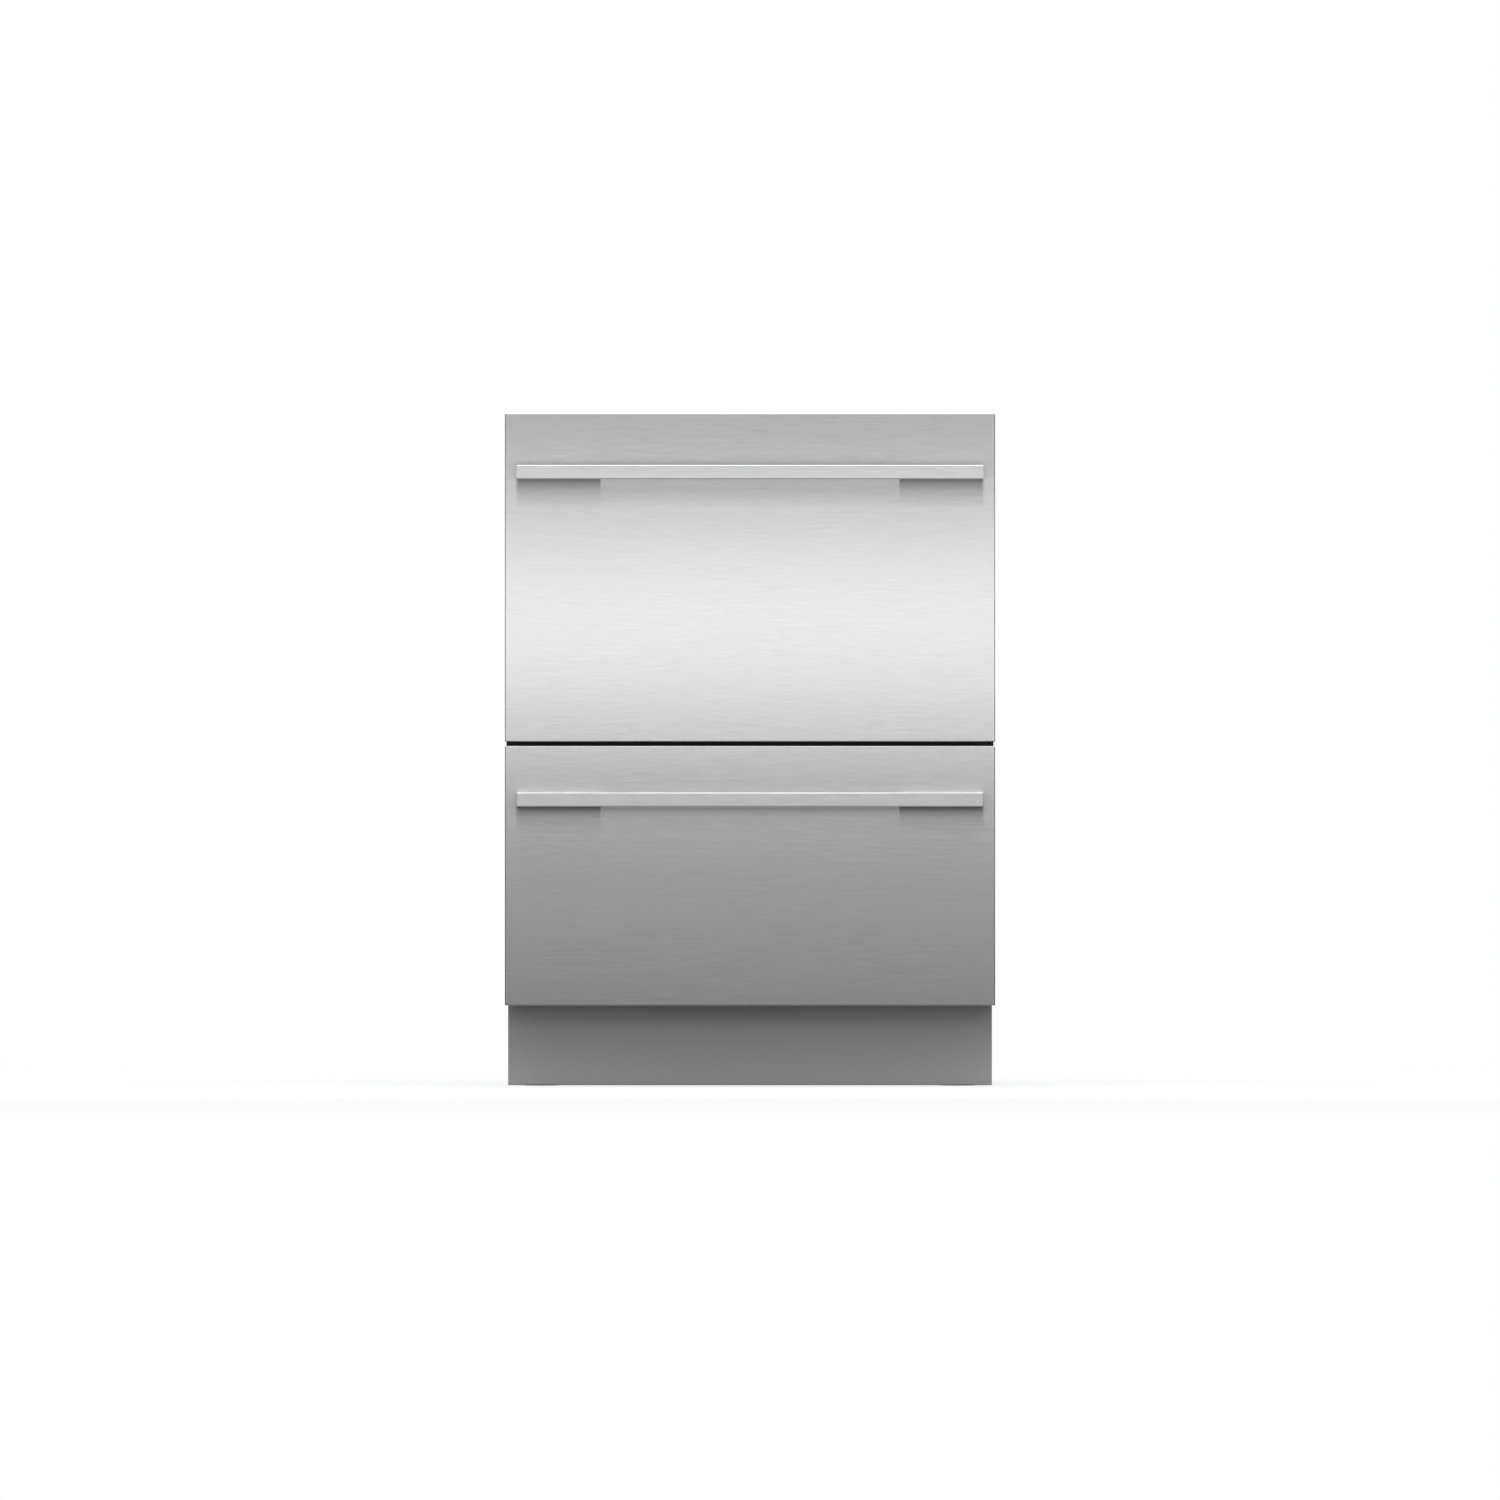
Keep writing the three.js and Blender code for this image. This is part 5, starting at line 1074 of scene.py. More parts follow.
def wash_motor(drawer):
    node = f"{drawer}_wash_motor"
    (x0, _, z0), (x1, _, z1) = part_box(node)
    middle = TUBS[drawer].middle
    radius = (x1 - x0) / 2
    rib_z = z0 + 6 * MM
    profile = [(radius * 0.16, z0 + 2 * MM), (radius * 0.6, z0 + 2 * MM), (radius * 0.63, z0 + 2.8 * MM)]
    profile += [(radius * 0.68, rib_z - 0.6 * MM), (radius * 0.7, rib_z)]
    profile += mm((-3, 0), (-0.8, 0.8), (0, 3), base=(radius, rib_z))
    profile += mm((0, -7), (-1, -5.5), (-6, -0.6), (-7.5, 0), base=(radius, z1))
    profile.append((radius * 0.2, z1))
    body = turned("housing", profile, "Z", (0, middle.y, 0), BLACK_PLASTIC, 72)
    fin_high = (radius - 5 * MM, 0.9 * MM, rib_z + 1 * MM)
    fin = block("fin", (radius * 0.72, -0.9 * MM, z0), fin_high, BLACK_PLASTIC)
    fins = wheel("fins", fin, MOTOR_FINS, middle)
    head = mm((4, 1.4), (4, 2.2), base=(0, z0))
    screw = turned("screw", head, "Z", (radius * 0.45, 0, 0), ZINC_PLATE, 12)
    screws = wheel("screws", screw, MOTOR_SCREWS, middle)
    spigot = mm((0, 0), (0, 12), (1, 14), (1, 16), (0, 18), (0, 25), (-1, 25.5), (-3, 25.5), (-3, 2),
                base=(SPIGOT_R, 0))
    root = (radius / 2, middle.y + radius - 0.5 * MM, (z0 + z1) / 2)
    outlet = turned("outlet", [(r, h * 0.98) for r, h in spigot], "Y", root, BLACK_PLASTIC, 32)
    stub_low = (radius / 2 - 14 * MM, middle.y + radius * 0.6, root[2] - 10.5 * MM)
    stub_high = (radius / 2 + 14 * MM, root[1] + 2 * MM, root[2] + 10.5 * MM)
    stub = block("stub", stub_low, stub_high, BLACK_PLASTIC, 2 * MM)
    plug_low = (-radius * 0.62, middle.y + radius * 0.55, z0 + 9 * MM)
    plug_high = (-radius * 0.3, middle.y + radius * 0.93, z1 - 5 * MM)
    plug = block("plug", plug_low, plug_high, GREY_PLASTIC, 1.5 * MM)
    return stands_for(together(f"{node}_unit", [body, fins, screws, outlet, stub, plug]), node)


for_each_drawer(wash_motor)

# %% Filters with radial slats
FILTER_SLATS = 96
FILTER_RINGS = 5
FILTER_SPOKES = 6
FILTER_GRIPS = 4
POST_R = 8 * MM


def hoop_of(name, section, centre, sides=96):
    """A closed section of (radius, height) pairs turned into a ring."""
    rings = []
    for side in range(sides):
        angle = side / sides * 2 * math.pi
        spoke = Vector((math.cos(angle), math.sin(angle), 0))
        rings.append([Vector(centre) + spoke * radius + Vector((0, 0, height)) for radius, height in section])
    return skin(name, rings, GREY_PLASTIC, closed=True)


def filter_plate(drawer):
    node = f"{drawer}_filter_plate"
    (x0, _, z0), (x1, _, post_top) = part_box(node)
    tub = TUBS[drawer]
    radius = (x1 - x0) / 2
    top = tub.floor - 3 * MM
    shoulder = post_top - 15 * MM
    at = (0, tub.middle.y, 0)
    rim = mm((-4, 0), (-0.5, 0), (0, 1), base=(radius, z0))
    rim += mm((0, -1), (-1, 0), (-9, 0), (-10, -1), (-10, -3), (-4, -3), base=(radius, top))
    made = [hoop_of("rim", rim, at)]
    hub = mm((14, 0), (30, 0), base=(0, z0))
    hub += mm((30, -3.4), (33, -2.4), (33, -0.6), (32, 0), (18, 0), (16, 1), base=(0, top))
    hub += [*mm((14, -1), (13, 0), base=(0, shoulder)), (POST_R, shoulder)]
    hub += mm((0, -1.5), (-1.5, 0), base=(POST_R, post_top))
    made.append(turned("hub", hub, "Z", at, GREY_PLASTIC, 48))
    slat_high = (radius - 8 * MM, 0.75 * MM, top - 0.5 * MM)
    slat = block("slat", (31 * MM, -0.75 * MM, top - 2.6 * MM), slat_high, GREY_PLASTIC)
    made.append(wheel("slats", slat, FILTER_SLATS, tub.middle))
    for around in spread(48 * MM, radius - 22 * MM, FILTER_RINGS):
        bar = mm((-0.9, -3), (0.9, -3), (0.9, -0.3), (-0.9, -0.3), base=(around, top))
        made.append(hoop_of("ring", bar, at))
    spoke_high = (radius - 7 * MM, 3 * MM, top)
    spoke = block("spoke", (30 * MM, -3 * MM, top - 3.4 * MM), spoke_high, GREY_PLASTIC, 0.8 * MM)
    made.append(wheel("spokes", spoke, FILTER_SPOKES, tub.middle))
    grip_high = (29 * MM, 2 * MM, top + 3.2 * MM)
    grip = block("grip", (17 * MM, -2 * MM, top - 1 * MM), grip_high, BLUE_PLASTIC, 1 * MM)
    made.append(wheel("grips", grip, FILTER_GRIPS, tub.middle))
    return stands_for(together(f"{node}_filter", made), node)


for_each_drawer(filter_plate)

# %% Spray arms
ARM_SWEEP = 26 * MM
ARM_W = 34 * MM
ARM_T = 12 * MM
ARM_STATIONS = 49
JETS = (0.2, 0.32, 0.44, 0.56, 0.68, 0.8, 0.9)


def arm_middle(share):
    return ARM_SWEEP * math.sin(math.pi * share)


def arm_ring(share, reach, centre, top):
    """The rounded section of the blade at a share of its reach."""
    closing = max(0.0, (abs(share) - 0.9) / 0.1)
    width = ARM_W * (1 - 0.45 * share * share) * math.sqrt(max(0.04, 1 - closing * closing))
    thick = ARM_T * (1 - 0.35 * share * share) * (1 - 0.45 * closing)
    points = []
    for step in range(24):
        angle = step / 24 * 2 * math.pi
        across = math.copysign(abs(math.cos(angle)) ** 0.55, math.cos(angle)) * width / 2
        up = math.copysign(abs(math.sin(angle)) ** 0.7, math.sin(angle)) * thick / 2
        points.append(Vector((reach * share, centre.y + arm_middle(share) + across, top - ARM_T / 2 + up)))
    return points


def spray_arm(drawer):
    node = f"{drawer}_spray_arm"
    (_, _, z0), (x1, _, z1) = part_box(node)
    centre = TUBS[drawer].middle
    at = (0, centre.y, 0)
    blade_top = z0 + 4 * MM + ARM_T
    shares = spread(-1, 1, ARM_STATIONS)
    rings = [arm_ring(share, x1, centre, blade_top) for share in shares]
    blade = skin("blade", rings, GREY_PLASTIC, smooth=50)
    bore = POST_R + 0.4 * MM
    bell = [(bore, z0 + 14 * MM), (bore, z0), *mm((16, 0), (18, 1), (25, 6), (26, 8), base=(0, z0))]
    bell += mm((26, -7), (24, -4.5), (15, -0.6), (13, 0), (6, 0), (5, -1), (1, -1), base=(0, z1))
    hub = turned("bell", bell, "Z", at, GREY_PLASTIC, 48)
    grip = mm((0, -6), (1, -6), (1, -5), base=(25.5 * MM, z1))
    grip_ring = hoop_of("grip ring", grip, at, 48)
    boss = mm((5, -4), (4.6, 0.2), (3.4, 1.2), (2.6, 1.2), (1.4, -0.2), (0.9, -1.6))
    jet = turned("jet", boss, "Z", (0, 0, 0), GREY_PLASTIC, 20)
    places = []
    for side in (-1, 1):
        for share in JETS:
            offset = (4 if int(share * 100) % 8 else -4) * MM * (1 - share)
            top = blade_top - ARM_T * 0.175 * share * share - 0.4 * MM
            places.append((side * share * x1, centre.y + arm_middle(side * share) + offset, top))
    jets = copies("jets", jet, places)
    return stands_for(together(f"{node}_blade", [blade, hub, grip_ring, jets]), node)


for_each_drawer(spray_arm)

# %% [markdown]
# ## Baskets of coated wire
# A basket is wire bent into U shapes both ways, welded where the wires cross and tied by hoops, with
# hairpins between which the plates stand. Drawing each wire as a solid would take pages. Instead each
# wire is a route of four corner points, and one tree rounds the corners, sweeps a circle along the route
# and closes the ends. The routes keep to the frame's own wires, with more wires between them.

# %% Wire baskets
WIRE_R = 2 * MM
RIM_WIRE = 6 * MM
FLOOR_WIRE = 3.4 * MM
BASKET_BEND = 22 * MM
BASKET_FLOOR = 40 * MM # from the tub floor to the middle of the lower wires
FRAME_WIRES = (6, 5) # wires of the frame solid, along and across
BETWEEN = (3, 3) # each gap between those holds this many steps
WIRE_INSET = (60 * MM, 30 * MM)
TINE_H = 62 * MM
TINE_W = 7 * MM
TINES = 12
TINE_INSET = 50 * MM


class BasketShape:
    def __init__(self, drawer):
        low, high = box_of(f"{drawer}_basket")
        edge = RIM_WIRE / 2
        self.x = high.x - edge
        self.y0, self.y1 = low.y + edge, high.y - edge
        self.top = high.z - edge
        self.floor = TUBS[drawer].floor + BASKET_FLOOR
        self.foot = low.z
        self.frame_x = spread(-self.x + WIRE_INSET[0], self.x - WIRE_INSET[0], FRAME_WIRES[0])
        self.frame_y = spread(self.y0 + WIRE_INSET[1], self.y1 - WIRE_INSET[1], FRAME_WIRES[1])
        long_count = (FRAME_WIRES[0] - 1) * BETWEEN[0] + 1
        cross_count = (FRAME_WIRES[1] - 1) * BETWEEN[1] + 1
        self.long_x = spread(self.frame_x[0], self.frame_x[-1], long_count)
        self.cross_y = spread(self.frame_y[0], self.frame_y[-1], cross_count)


def basket_routes(shape):
    x, y0, y1, top = shape.x, shape.y0, shape.y1, shape.top
    over = shape.floor
    under = shape.floor - FLOOR_WIRE * 0.8
    long_wires = [[(a, y0, top), (a, y0, over), (a, y1, over), (a, y1, top)] for a in shape.long_x]
    cross_wires = [[(-x, b, top), (-x, b, under), (x, b, under), (x, b, top)] for b in shape.cross_y]
    return long_wires + cross_wires


def hairpins(shape):
    rows = (shape.frame_x[2], shape.frame_x[3])
    top = shape.floor + TINE_H - 1.2 * MM
    routes = []
    for x in rows:
        for y in spread(shape.y0 + TINE_INSET, shape.y1 - TINE_INSET, TINES):
            a, b = y - TINE_W / 2 + 1 * MM, y + TINE_W / 2 - 1 * MM
            routes.append([(x, a, shape.floor), (x, a, top), (x, b, top), (x, b, shape.floor)])
    return routes


def hoop_route(shape, z, away=0.0):
    x, y0, y1 = shape.x + away, shape.y0 - away, shape.y1 + away
    return [(-x, y0, z), (x, y0, z), (x, y1, z), (-x, y1, z)]


# %% Clips that hold the cup racks
CLIP_T = 8 * MM
CLIP_REACH = 7 * MM
PIVOT_R = 2.5 * MM


def rack_axis(drawer):
    low, high = box_of(f"{drawer}_cup_rack")
    return low.x + PIVOT_R, (low.z + high.z) / 2, low.y, high.y, high.x


def rack_clips(drawer, shape):
    x, z, *_ = rack_axis(drawer)
    made = []
    for y in (shape.frame_y[1], shape.frame_y[-2]):
        outline = rounded(-shape.x - 1.5 * MM, x + CLIP_REACH, z - CLIP_REACH, z + CLIP_REACH, 3 * MM)
        clip = prism("clip", outline, "Y", y - CLIP_T / 2, y + CLIP_T / 2, GREY_PLASTIC)
        clip = eased(clip, 0.8 * MM, 2, angle=50)
        bore = [(PIVOT_R + 0.8 * MM, -CLIP_T), (PIVOT_R + 0.8 * MM, CLIP_T)]
        made.append(carve(clip, turned("hole", bore, "Y", (x, y, z), GREY_PLASTIC, 20)))
    return made


# %% Baskets put together
def basket(drawer):
    node = f"{drawer}_basket"
    shape = BasketShape(drawer)
    mid_hoop = hoop_route(shape, (shape.top + shape.floor) / 2, -FLOOR_WIRE * 0.8)
    leg_places = [(a, b) for a in shape.frame_x[::5] for b in shape.frame_y[::4]]
    legs = [[(a, b, shape.floor), (a, b, shape.foot + 4 * MM)] for a, b in leg_places]
    shoe = turned("shoe", mm((2.6, 0), (4, 0.5), (4, 7), (3, 9)), "Z", (0, 0, 0), GREY_PLASTIC, 20)
    made = [
        wires("bent wires", basket_routes(shape), FLOOR_WIRE, BASKET_BEND),
        wires("rim", [hoop_route(shape, shape.top)], RIM_WIRE, BASKET_BEND, 14, closed=True),
        wires("middle hoop", [mid_hoop], 2 * WIRE_R, BASKET_BEND, closed=True),
        wires("hairpins", hairpins(shape), 2.4 * MM, 2.2 * MM, 8),
        wires("legs", legs, 2 * WIRE_R, 1 * MM),
        copies("shoes", shoe, [(a, b, shape.foot) for a, b in leg_places]),
        *rack_clips(drawer, shape),
    ]
    return stands_for(together(f"{node}_wires", made), node)


for_each_drawer(basket)

# %% Folding cup racks
RACK_RUNGS = 13


def cup_rack(drawer):
    node = f"{drawer}_cup_rack"
    x, z, y0, y1, reach = rack_axis(drawer)
    y0, y1 = y0 + 1 * MM, y1 - 1 * MM
    outer = reach - WIRE_R
    inset = WIRE_R + 0.5 * MM
    near, far = y0 + inset, y1 - inset
    loop = [(x, near, z), (outer, near, z), (outer, far, z), (x, far, z)]
    clips = BasketShape(drawer).frame_y
    rung_y = spread(clips[1] + CLIP_T / 2 + 6 * MM, clips[-2] - CLIP_T / 2 - 6 * MM, RACK_RUNGS)
    rungs = [[(x, y, z - 1 * MM), (outer, y, z - 1 * MM)] for y in rung_y]
    middle_x = (x + outer) / 2
    made = [
        wires("pivot", [[(x, y0, z), (x, y1, z)]], 2 * PIVOT_R, 1 * MM, 14),
        wires("loop", [loop], 2 * WIRE_R, 10 * MM, 12),
        wires("rungs", rungs, 2.6 * MM, 2 * MM, 8),
        wires("middle bar", [[(middle_x, near, z), (middle_x, far, z)]], 2.6 * MM, 1 * MM, 8),
    ]
    return stands_for(together(f"{node}_wires", made), node)


for_each_drawer(cup_rack)

# %% [markdown]
# ## Cutlery baskets
# The cutlery basket is one moulding of thin bars, so that water gets through: a grid for a floor, a
# closed band above and below, upright bars between them and three cross walls. All of that repeats, so
# one bar is made round the origin and copied to points along each wall. The carrying arch is a wire with
# a thicker grip in the middle.

# %% Walls of a cutlery basket
BAND_H = 14 * MM
BAND_T = 2.4 * MM
BAR_T = 2 * MM
BAR_PITCH = 7.5 * MM
CELLS = 4
ARCH_H = 22 * MM
ARCH_D = 6 * MM


def wall_places(x0, x1, y0, y1, z):
    """Points along the four walls of a basket, evenly spaced on each."""
    inset = BAND_T / 2
    across = spread(x0 + 8 * MM, x1 - 8 * MM, int((x1 - x0 - 16 * MM) / BAR_PITCH) + 1)
    along = spread(y0 + 8 * MM, y1 - 8 * MM, int((y1 - y0 - 16 * MM) / BAR_PITCH) + 1)
    places = [(x, y, z) for x in across for y in (y0 + inset, y1 - inset)]
    return places + [(x, y, z) for y in along for x in (x0 + inset, x1 - inset)]


def band(name, x0, x1, y0, y1, z0, z1):
    """A closed wall round a rounded rectangle, with soft upper and lower edges."""
    soft = 0.6 * MM
    section = [(0, z0 + soft), (0, z1 - soft), (soft, z1), (BAND_T - soft, z1), (BAND_T, z1 - soft)]
    section += [(BAND_T, z0 + soft), (BAND_T - soft, z0), (soft, z0)]
    rings = []
    for inset, z in section:
        outline = rounded(x0 + inset, x1 - inset, y0 + inset, y1 - inset, 8 * MM - inset, 6)
        rings.append([Vector((x, y, z)) for x, y in outline])
    return skin(name, rings, GREY_PLASTIC, closed=True)


# %% Cutlery baskets put together
def cutlery_basket(drawer):
    node = f"{drawer}_cutlery_basket"
    low, high = box_of(node)
    x0, x1, y0, y1, z0 = low.x, high.x, low.y, high.y, low.z
    z1 = high.z - ARCH_H - ARCH_D / 2
    made = [band("lower band", x0, x1, y0, y1, z0, z0 + BAND_H)]
    made.append(band("upper band", x0, x1, y0, y1, z1 - BAND_H, z1))
    bar_high = z1 - BAND_H - z0 - BAND_H + 2 * MM
    bar = block("bar", (-BAR_T / 2, -BAR_T / 2, 0), (BAR_T / 2, BAR_T / 2, bar_high), GREY_PLASTIC)
    places = wall_places(x0, x1, y0, y1, z0 + BAND_H - 1 * MM)
    pitch = (y1 - y0 - BAND_T) / CELLS
    walls = [y0 + BAND_T / 2 + pitch * i for i in range(1, CELLS)]
    places += [(x, y, places[0][2]) for y in walls for x in spread(x0 + 9 * MM, x1 - 9 * MM, 6)]
    made.append(copies("upright bars", bar, places))
    floor_bar = block("bar", (x0 + 1 * MM, -BAR_T / 2, 0), (x1 - 1 * MM, BAR_T / 2, 1.8 * MM), GREY_PLASTIC)
    along = spread(y0 + 6 * MM, y1 - 6 * MM, 32)
    made.append(copies("floor bars", floor_bar, [(0, y, z0 + 0.4 * MM) for y in along]))
    floor_bar = block("bar", (-BAR_T / 2, y0 + 1 * MM, 0), (BAR_T / 2, y1 - 1 * MM, 1.8 * MM), GREY_PLASTIC)
    across = spread(x0 + 8 * MM, x1 - 8 * MM, 7)
    made.append(copies("floor bars", floor_bar, [(x, 0, z0 + 0.7 * MM) for x in across]))
    for y in walls:
        for z in ((z0 + 1 * MM, z0 + BAND_H), (z1 - BAND_H, z1 - 1 * MM)):
            rail_low = (x0 + 1 * MM, y - BAND_T / 2, z[0])
            made.append(block("rail", rail_low, (x1 - 1 * MM, y + BAND_T / 2, z[1]), GREY_PLASTIC, 0.5 * MM))
    x = (x0 + x1) / 2
    inset = ARCH_D / 2 + 0.5 * MM
    crown = high.z - ARCH_D / 2
    near, far, root = y0 + inset, y1 - inset, z1 - 12 * MM
    route = [(x, near, root), (x, near, crown), (x, far, crown), (x, far, root)]
    made.append(wires("arch", [route], ARCH_D, 16 * MM, 16, material=GREY_PLASTIC))
    grip_low = (x - 5 * MM, (y0 + y1) / 2 - 40 * MM, crown - 4 * MM)
    grip_high = (x + 5 * MM, (y0 + y1) / 2 + 40 * MM, crown + ARCH_D / 2)
    made.append(block("grip", grip_low, grip_high, GREY_PLASTIC, 2 * MM))
    return stands_for(together(f"{node}_lattice", made), node)


for_each_drawer(cutlery_basket)

# %% [markdown]
# ## Lids and their seals
# Each drawer is closed by a lid of its own, which sinks eight millimetres onto the tub's rim. The lid is
# a plate with six wells between stiffening ribs, two guide pins on each side, and a rubber profile in a
# groove underneath. The plate is a skin over rings, so its edge can be round, and the wells are cut out
# with soft floors. The seal is a closed section swept round the lid's outline.

# %% Lids
LID_SIDE_GAP = 0.5 * MM
LID_SKIN = 5 * MM
LID_EDGE = 22 * MM
LID_RIB = 6 * MM
LID_GRID = (3, 2)
LID_PIN_R = 3 * MM
LIFTER_INSET = 40 * MM # how far a lid's pins are from the ends of its lifters


class LidShape:
    def __init__(self, drawer):
        low, high = box_of(f"{drawer}_lid")
        self.under, self.top = low.z, high.z
        self.half = TUBS[drawer].half - LID_SIDE_GAP
        self.y0, self.y1 = low.y, high.y
        self.pin_reach = high.x

    def ring(self, inset, z):
        outline = rounded(-self.half + inset, self.half - inset, self.y0 + inset, self.y1 - inset,
                          TUB_CORNER_R - inset, 12)
        return [Vector((x, y, z)) for x, y in outline]


def lid(drawer):
    node = f"{drawer}_lid"
    shape = LidShape(drawer)
    soft = 1.6 * MM
    rings = [shape.ring(soft * 1.4, shape.under), shape.ring(soft, shape.under)]
    rings += [shape.ring(soft * 0.3, shape.under + soft * 0.3), shape.ring(0, shape.under + soft)]
    rings += [shape.ring(0, shape.top - soft), shape.ring(soft * 0.3, shape.top - soft * 0.3)]
    rings += [shape.ring(soft, shape.top), shape.ring(soft * 1.4, shape.top)]
    plate = skin("plate", rings, LID_PLASTIC)
    columns = spread(-shape.half + LID_EDGE, shape.half - LID_EDGE, LID_GRID[0] + 1)
    rows = spread(shape.y0 + LID_EDGE, shape.y1 - LID_EDGE, LID_GRID[1] + 1)
    half = LID_RIB / 2
    wells, ribs = [], []
    for x0, x1 in zip(columns, columns[1:]):
        for y0, y1 in zip(rows, rows[1:]):
            outline = rounded(x0 + half, x1 - half, y0 + half, y1 - half, 10 * MM, 6)
            well = prism("well", outline, "Z", shape.under + LID_SKIN, shape.top + 12 * MM, LID_PLASTIC)
            wells.append(eased(well, 2 * MM, 3, angle=50))
            middle = ((x0 + x1) / 2, (y0 + y1) / 2)
            for bar in ((x0, x1, middle[1] - 0.9 * MM, middle[1] + 0.9 * MM),
                        (middle[0] - 0.9 * MM, middle[0] + 0.9 * MM, y0, y1)):
                low = (bar[0] + 1 * MM, bar[2], shape.under + LID_SKIN - 1 * MM)
                high = (bar[1] - 1 * MM, bar[3], shape.under + LID_SKIN + 5 * MM)
                ribs.append(block("rib", low, high, LID_PLASTIC, 0.5 * MM))
    made = [carve(plate, *wells), *ribs]
    (_, ly0, _), (_, ly1, _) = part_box(f"{drawer}_lid_lifter_right")
    z = (shape.under + shape.top) / 2
    for sign in (-1, 1):
        profile = [(LID_PIN_R, sign * (shape.half - 3 * MM))]
        profile += [(LID_PIN_R, sign * (shape.pin_reach - 0.8 * MM)), (2.2 * MM, sign * shape.pin_reach)]
        for y in (ly0 + LIFTER_INSET, ly1 - LIFTER_INSET):
            made.append(turned("pin", profile, "X", (0, y, z), ZINC_PLATE, 24))
    return stands_for(together(f"{node}_plate", made), node)


for_each_drawer(lid)


# %% Lid seals
SEAL_INSET = 1 * MM
SEAL_W = 6 * MM
SEAL_PROUD = 3 * MM


def lid_seal(drawer):
    shape = LidShape(drawer)
    low = shape.under - SEAL_PROUD
    top = shape.under + SEAL_PROUD
    inner, outer = SEAL_INSET + SEAL_W, SEAL_INSET
    section = [(outer + 0.3 * MM, top), *mm((0.3, 0), (0, -0.5), base=(outer, shape.under))]
    section += mm((0, 1.2), (0.5, 0.4), (1.2, 0), (2, 0.5), base=(outer, low))
    section.append(((inner + outer) / 2, low + 1 * MM))
    section += mm((-2, 0.5), (-1.2, 0), (-0.5, 0.4), (0, 1.2), base=(inner, low))
    section += [*mm((0, -0.5), (-0.3, 0), base=(inner, shape.under)), (inner - 0.3 * MM, top)]
    rings = [shape.ring(inset, z) for inset, z in section]
    made = skin(f"{drawer}_lid_seal_profile", rings, RUBBER, closed=True)
    return rides_with(made, f"{drawer}_lid")


for_each_drawer(lid_seal)

# %% [markdown]
# ## Folded sheet
# Runners, rails and the kick plate are strips of sheet, folded along straight lines. Seen from the end
# each is a thin line of even thickness with a small radius at every fold. So the helper takes only the
# corners of that line, rounds them, offsets the line by the sheet's thickness, and returns the closed
# outline that is then pushed along the strip.

# %% An outline of even thickness with rounded folds
def rounded_line(corners, radius, steps=5):
    line = [Vector(corners[0])]
    for before, corner, after in zip(corners, corners[1:], corners[2:]):
        corner = Vector(corner)
        back, ahead = (Vector(before) - corner).normalized(), (Vector(after) - corner).normalized()
        half = back.angle(ahead) / 2
        room = min((Vector(before) - corner).length, (Vector(after) - corner).length) * 0.45
        reach = min(radius / math.tan(half), room)
        start, end = corner + back * reach, corner + ahead * reach
        centre = corner + (back + ahead).normalized() * reach / math.cos(half)
        span = start - centre
        turn = math.atan2(span.cross(end - centre), span.dot(end - centre))
        for step in range(steps + 1):
            line.append(centre + Matrix.Rotation(turn * step / steps, 2) @ span)
    return line + [Vector(corners[-1])]


def folded(corners, thickness, radius):
    """The closed outline of a folded strip. The sheet lies to the left of the corners."""
    line = rounded_line(corners, radius)
    beside = []
    for i, point in enumerate(line):
        runs = [line[j + 1] - line[j] for j in (i - 1, i) if 0 <= j < len(line) - 1]
        sides = [Vector((-run.y, run.x)).normalized() for run in runs if run.length > 1e-9]
        side = sum(sides, Vector((0, 0))).normalized()
        beside.append(point + side * thickness / max(side.dot(sides[0]), 0.3))
    return [tuple(point) for point in line + beside[::-1]]


# %% [markdown]
# ## Telescopic runners
# A runner has three C-shaped members that slide in one another: the outer is screwed to the chassis side,
# the inner to the tub, and the middle lets the drawer come out further than one member is long. A groove
# is rolled into each flange for the balls. The webs of all three members have long slots like real ones,
# and the outer and inner members have screws, because those are seen as soon as a drawer is open.

# %% Runners
SIDES = {"left": -1, "right": 1}
RUNNER_T = 1.5 * MM
RUNNER_FOLD = 1.6 * MM
TRACK_W = 5 * MM
TRACK_DEPTH = 1 * MM
RUNNER_SLOTS = 5
RUNNER_SCREWS = 4
SCREW_R = 3.6 * MM


def runner_section(low, high, sign, opens, track_x):
    """The folded section of one member in X and Z, with its ball grooves."""
    web = high.x if sign * opens < 0 else low.x
    edge = low.x if sign * opens < 0 else high.x
    way = math.copysign(1, edge - web)
    half, middle = (high.z - low.z) / 2, (high.z + low.z) / 2
    upper = [(web, half), (track_x - way * TRACK_W / 2, half), (track_x, half - TRACK_DEPTH)]
    upper += [(track_x + way * TRACK_W / 2, half), (edge, half)]
    corners = [(x, middle - z) for x, z in reversed(upper)] + [(x, middle + z) for x, z in upper]
    return folded(corners, -RUNNER_T * way, RUNNER_FOLD), web, way


def pan_screw(radius, height):
    """A screw head round the origin that looks along X, with a cross recess."""
    profile = [(radius * 0.98, -height * 0.5), (radius, 0), (radius * 0.98, height * 0.35)]
    profile += [(radius * 0.8, height * 0.8), (radius * 0.45, height), (radius * 0.3, height)]
    profile += [(radius * 0.16, height * 0.45)]
    return turned("screw", profile, "X", (0, 0, 0), ZINC_PLATE, 12)


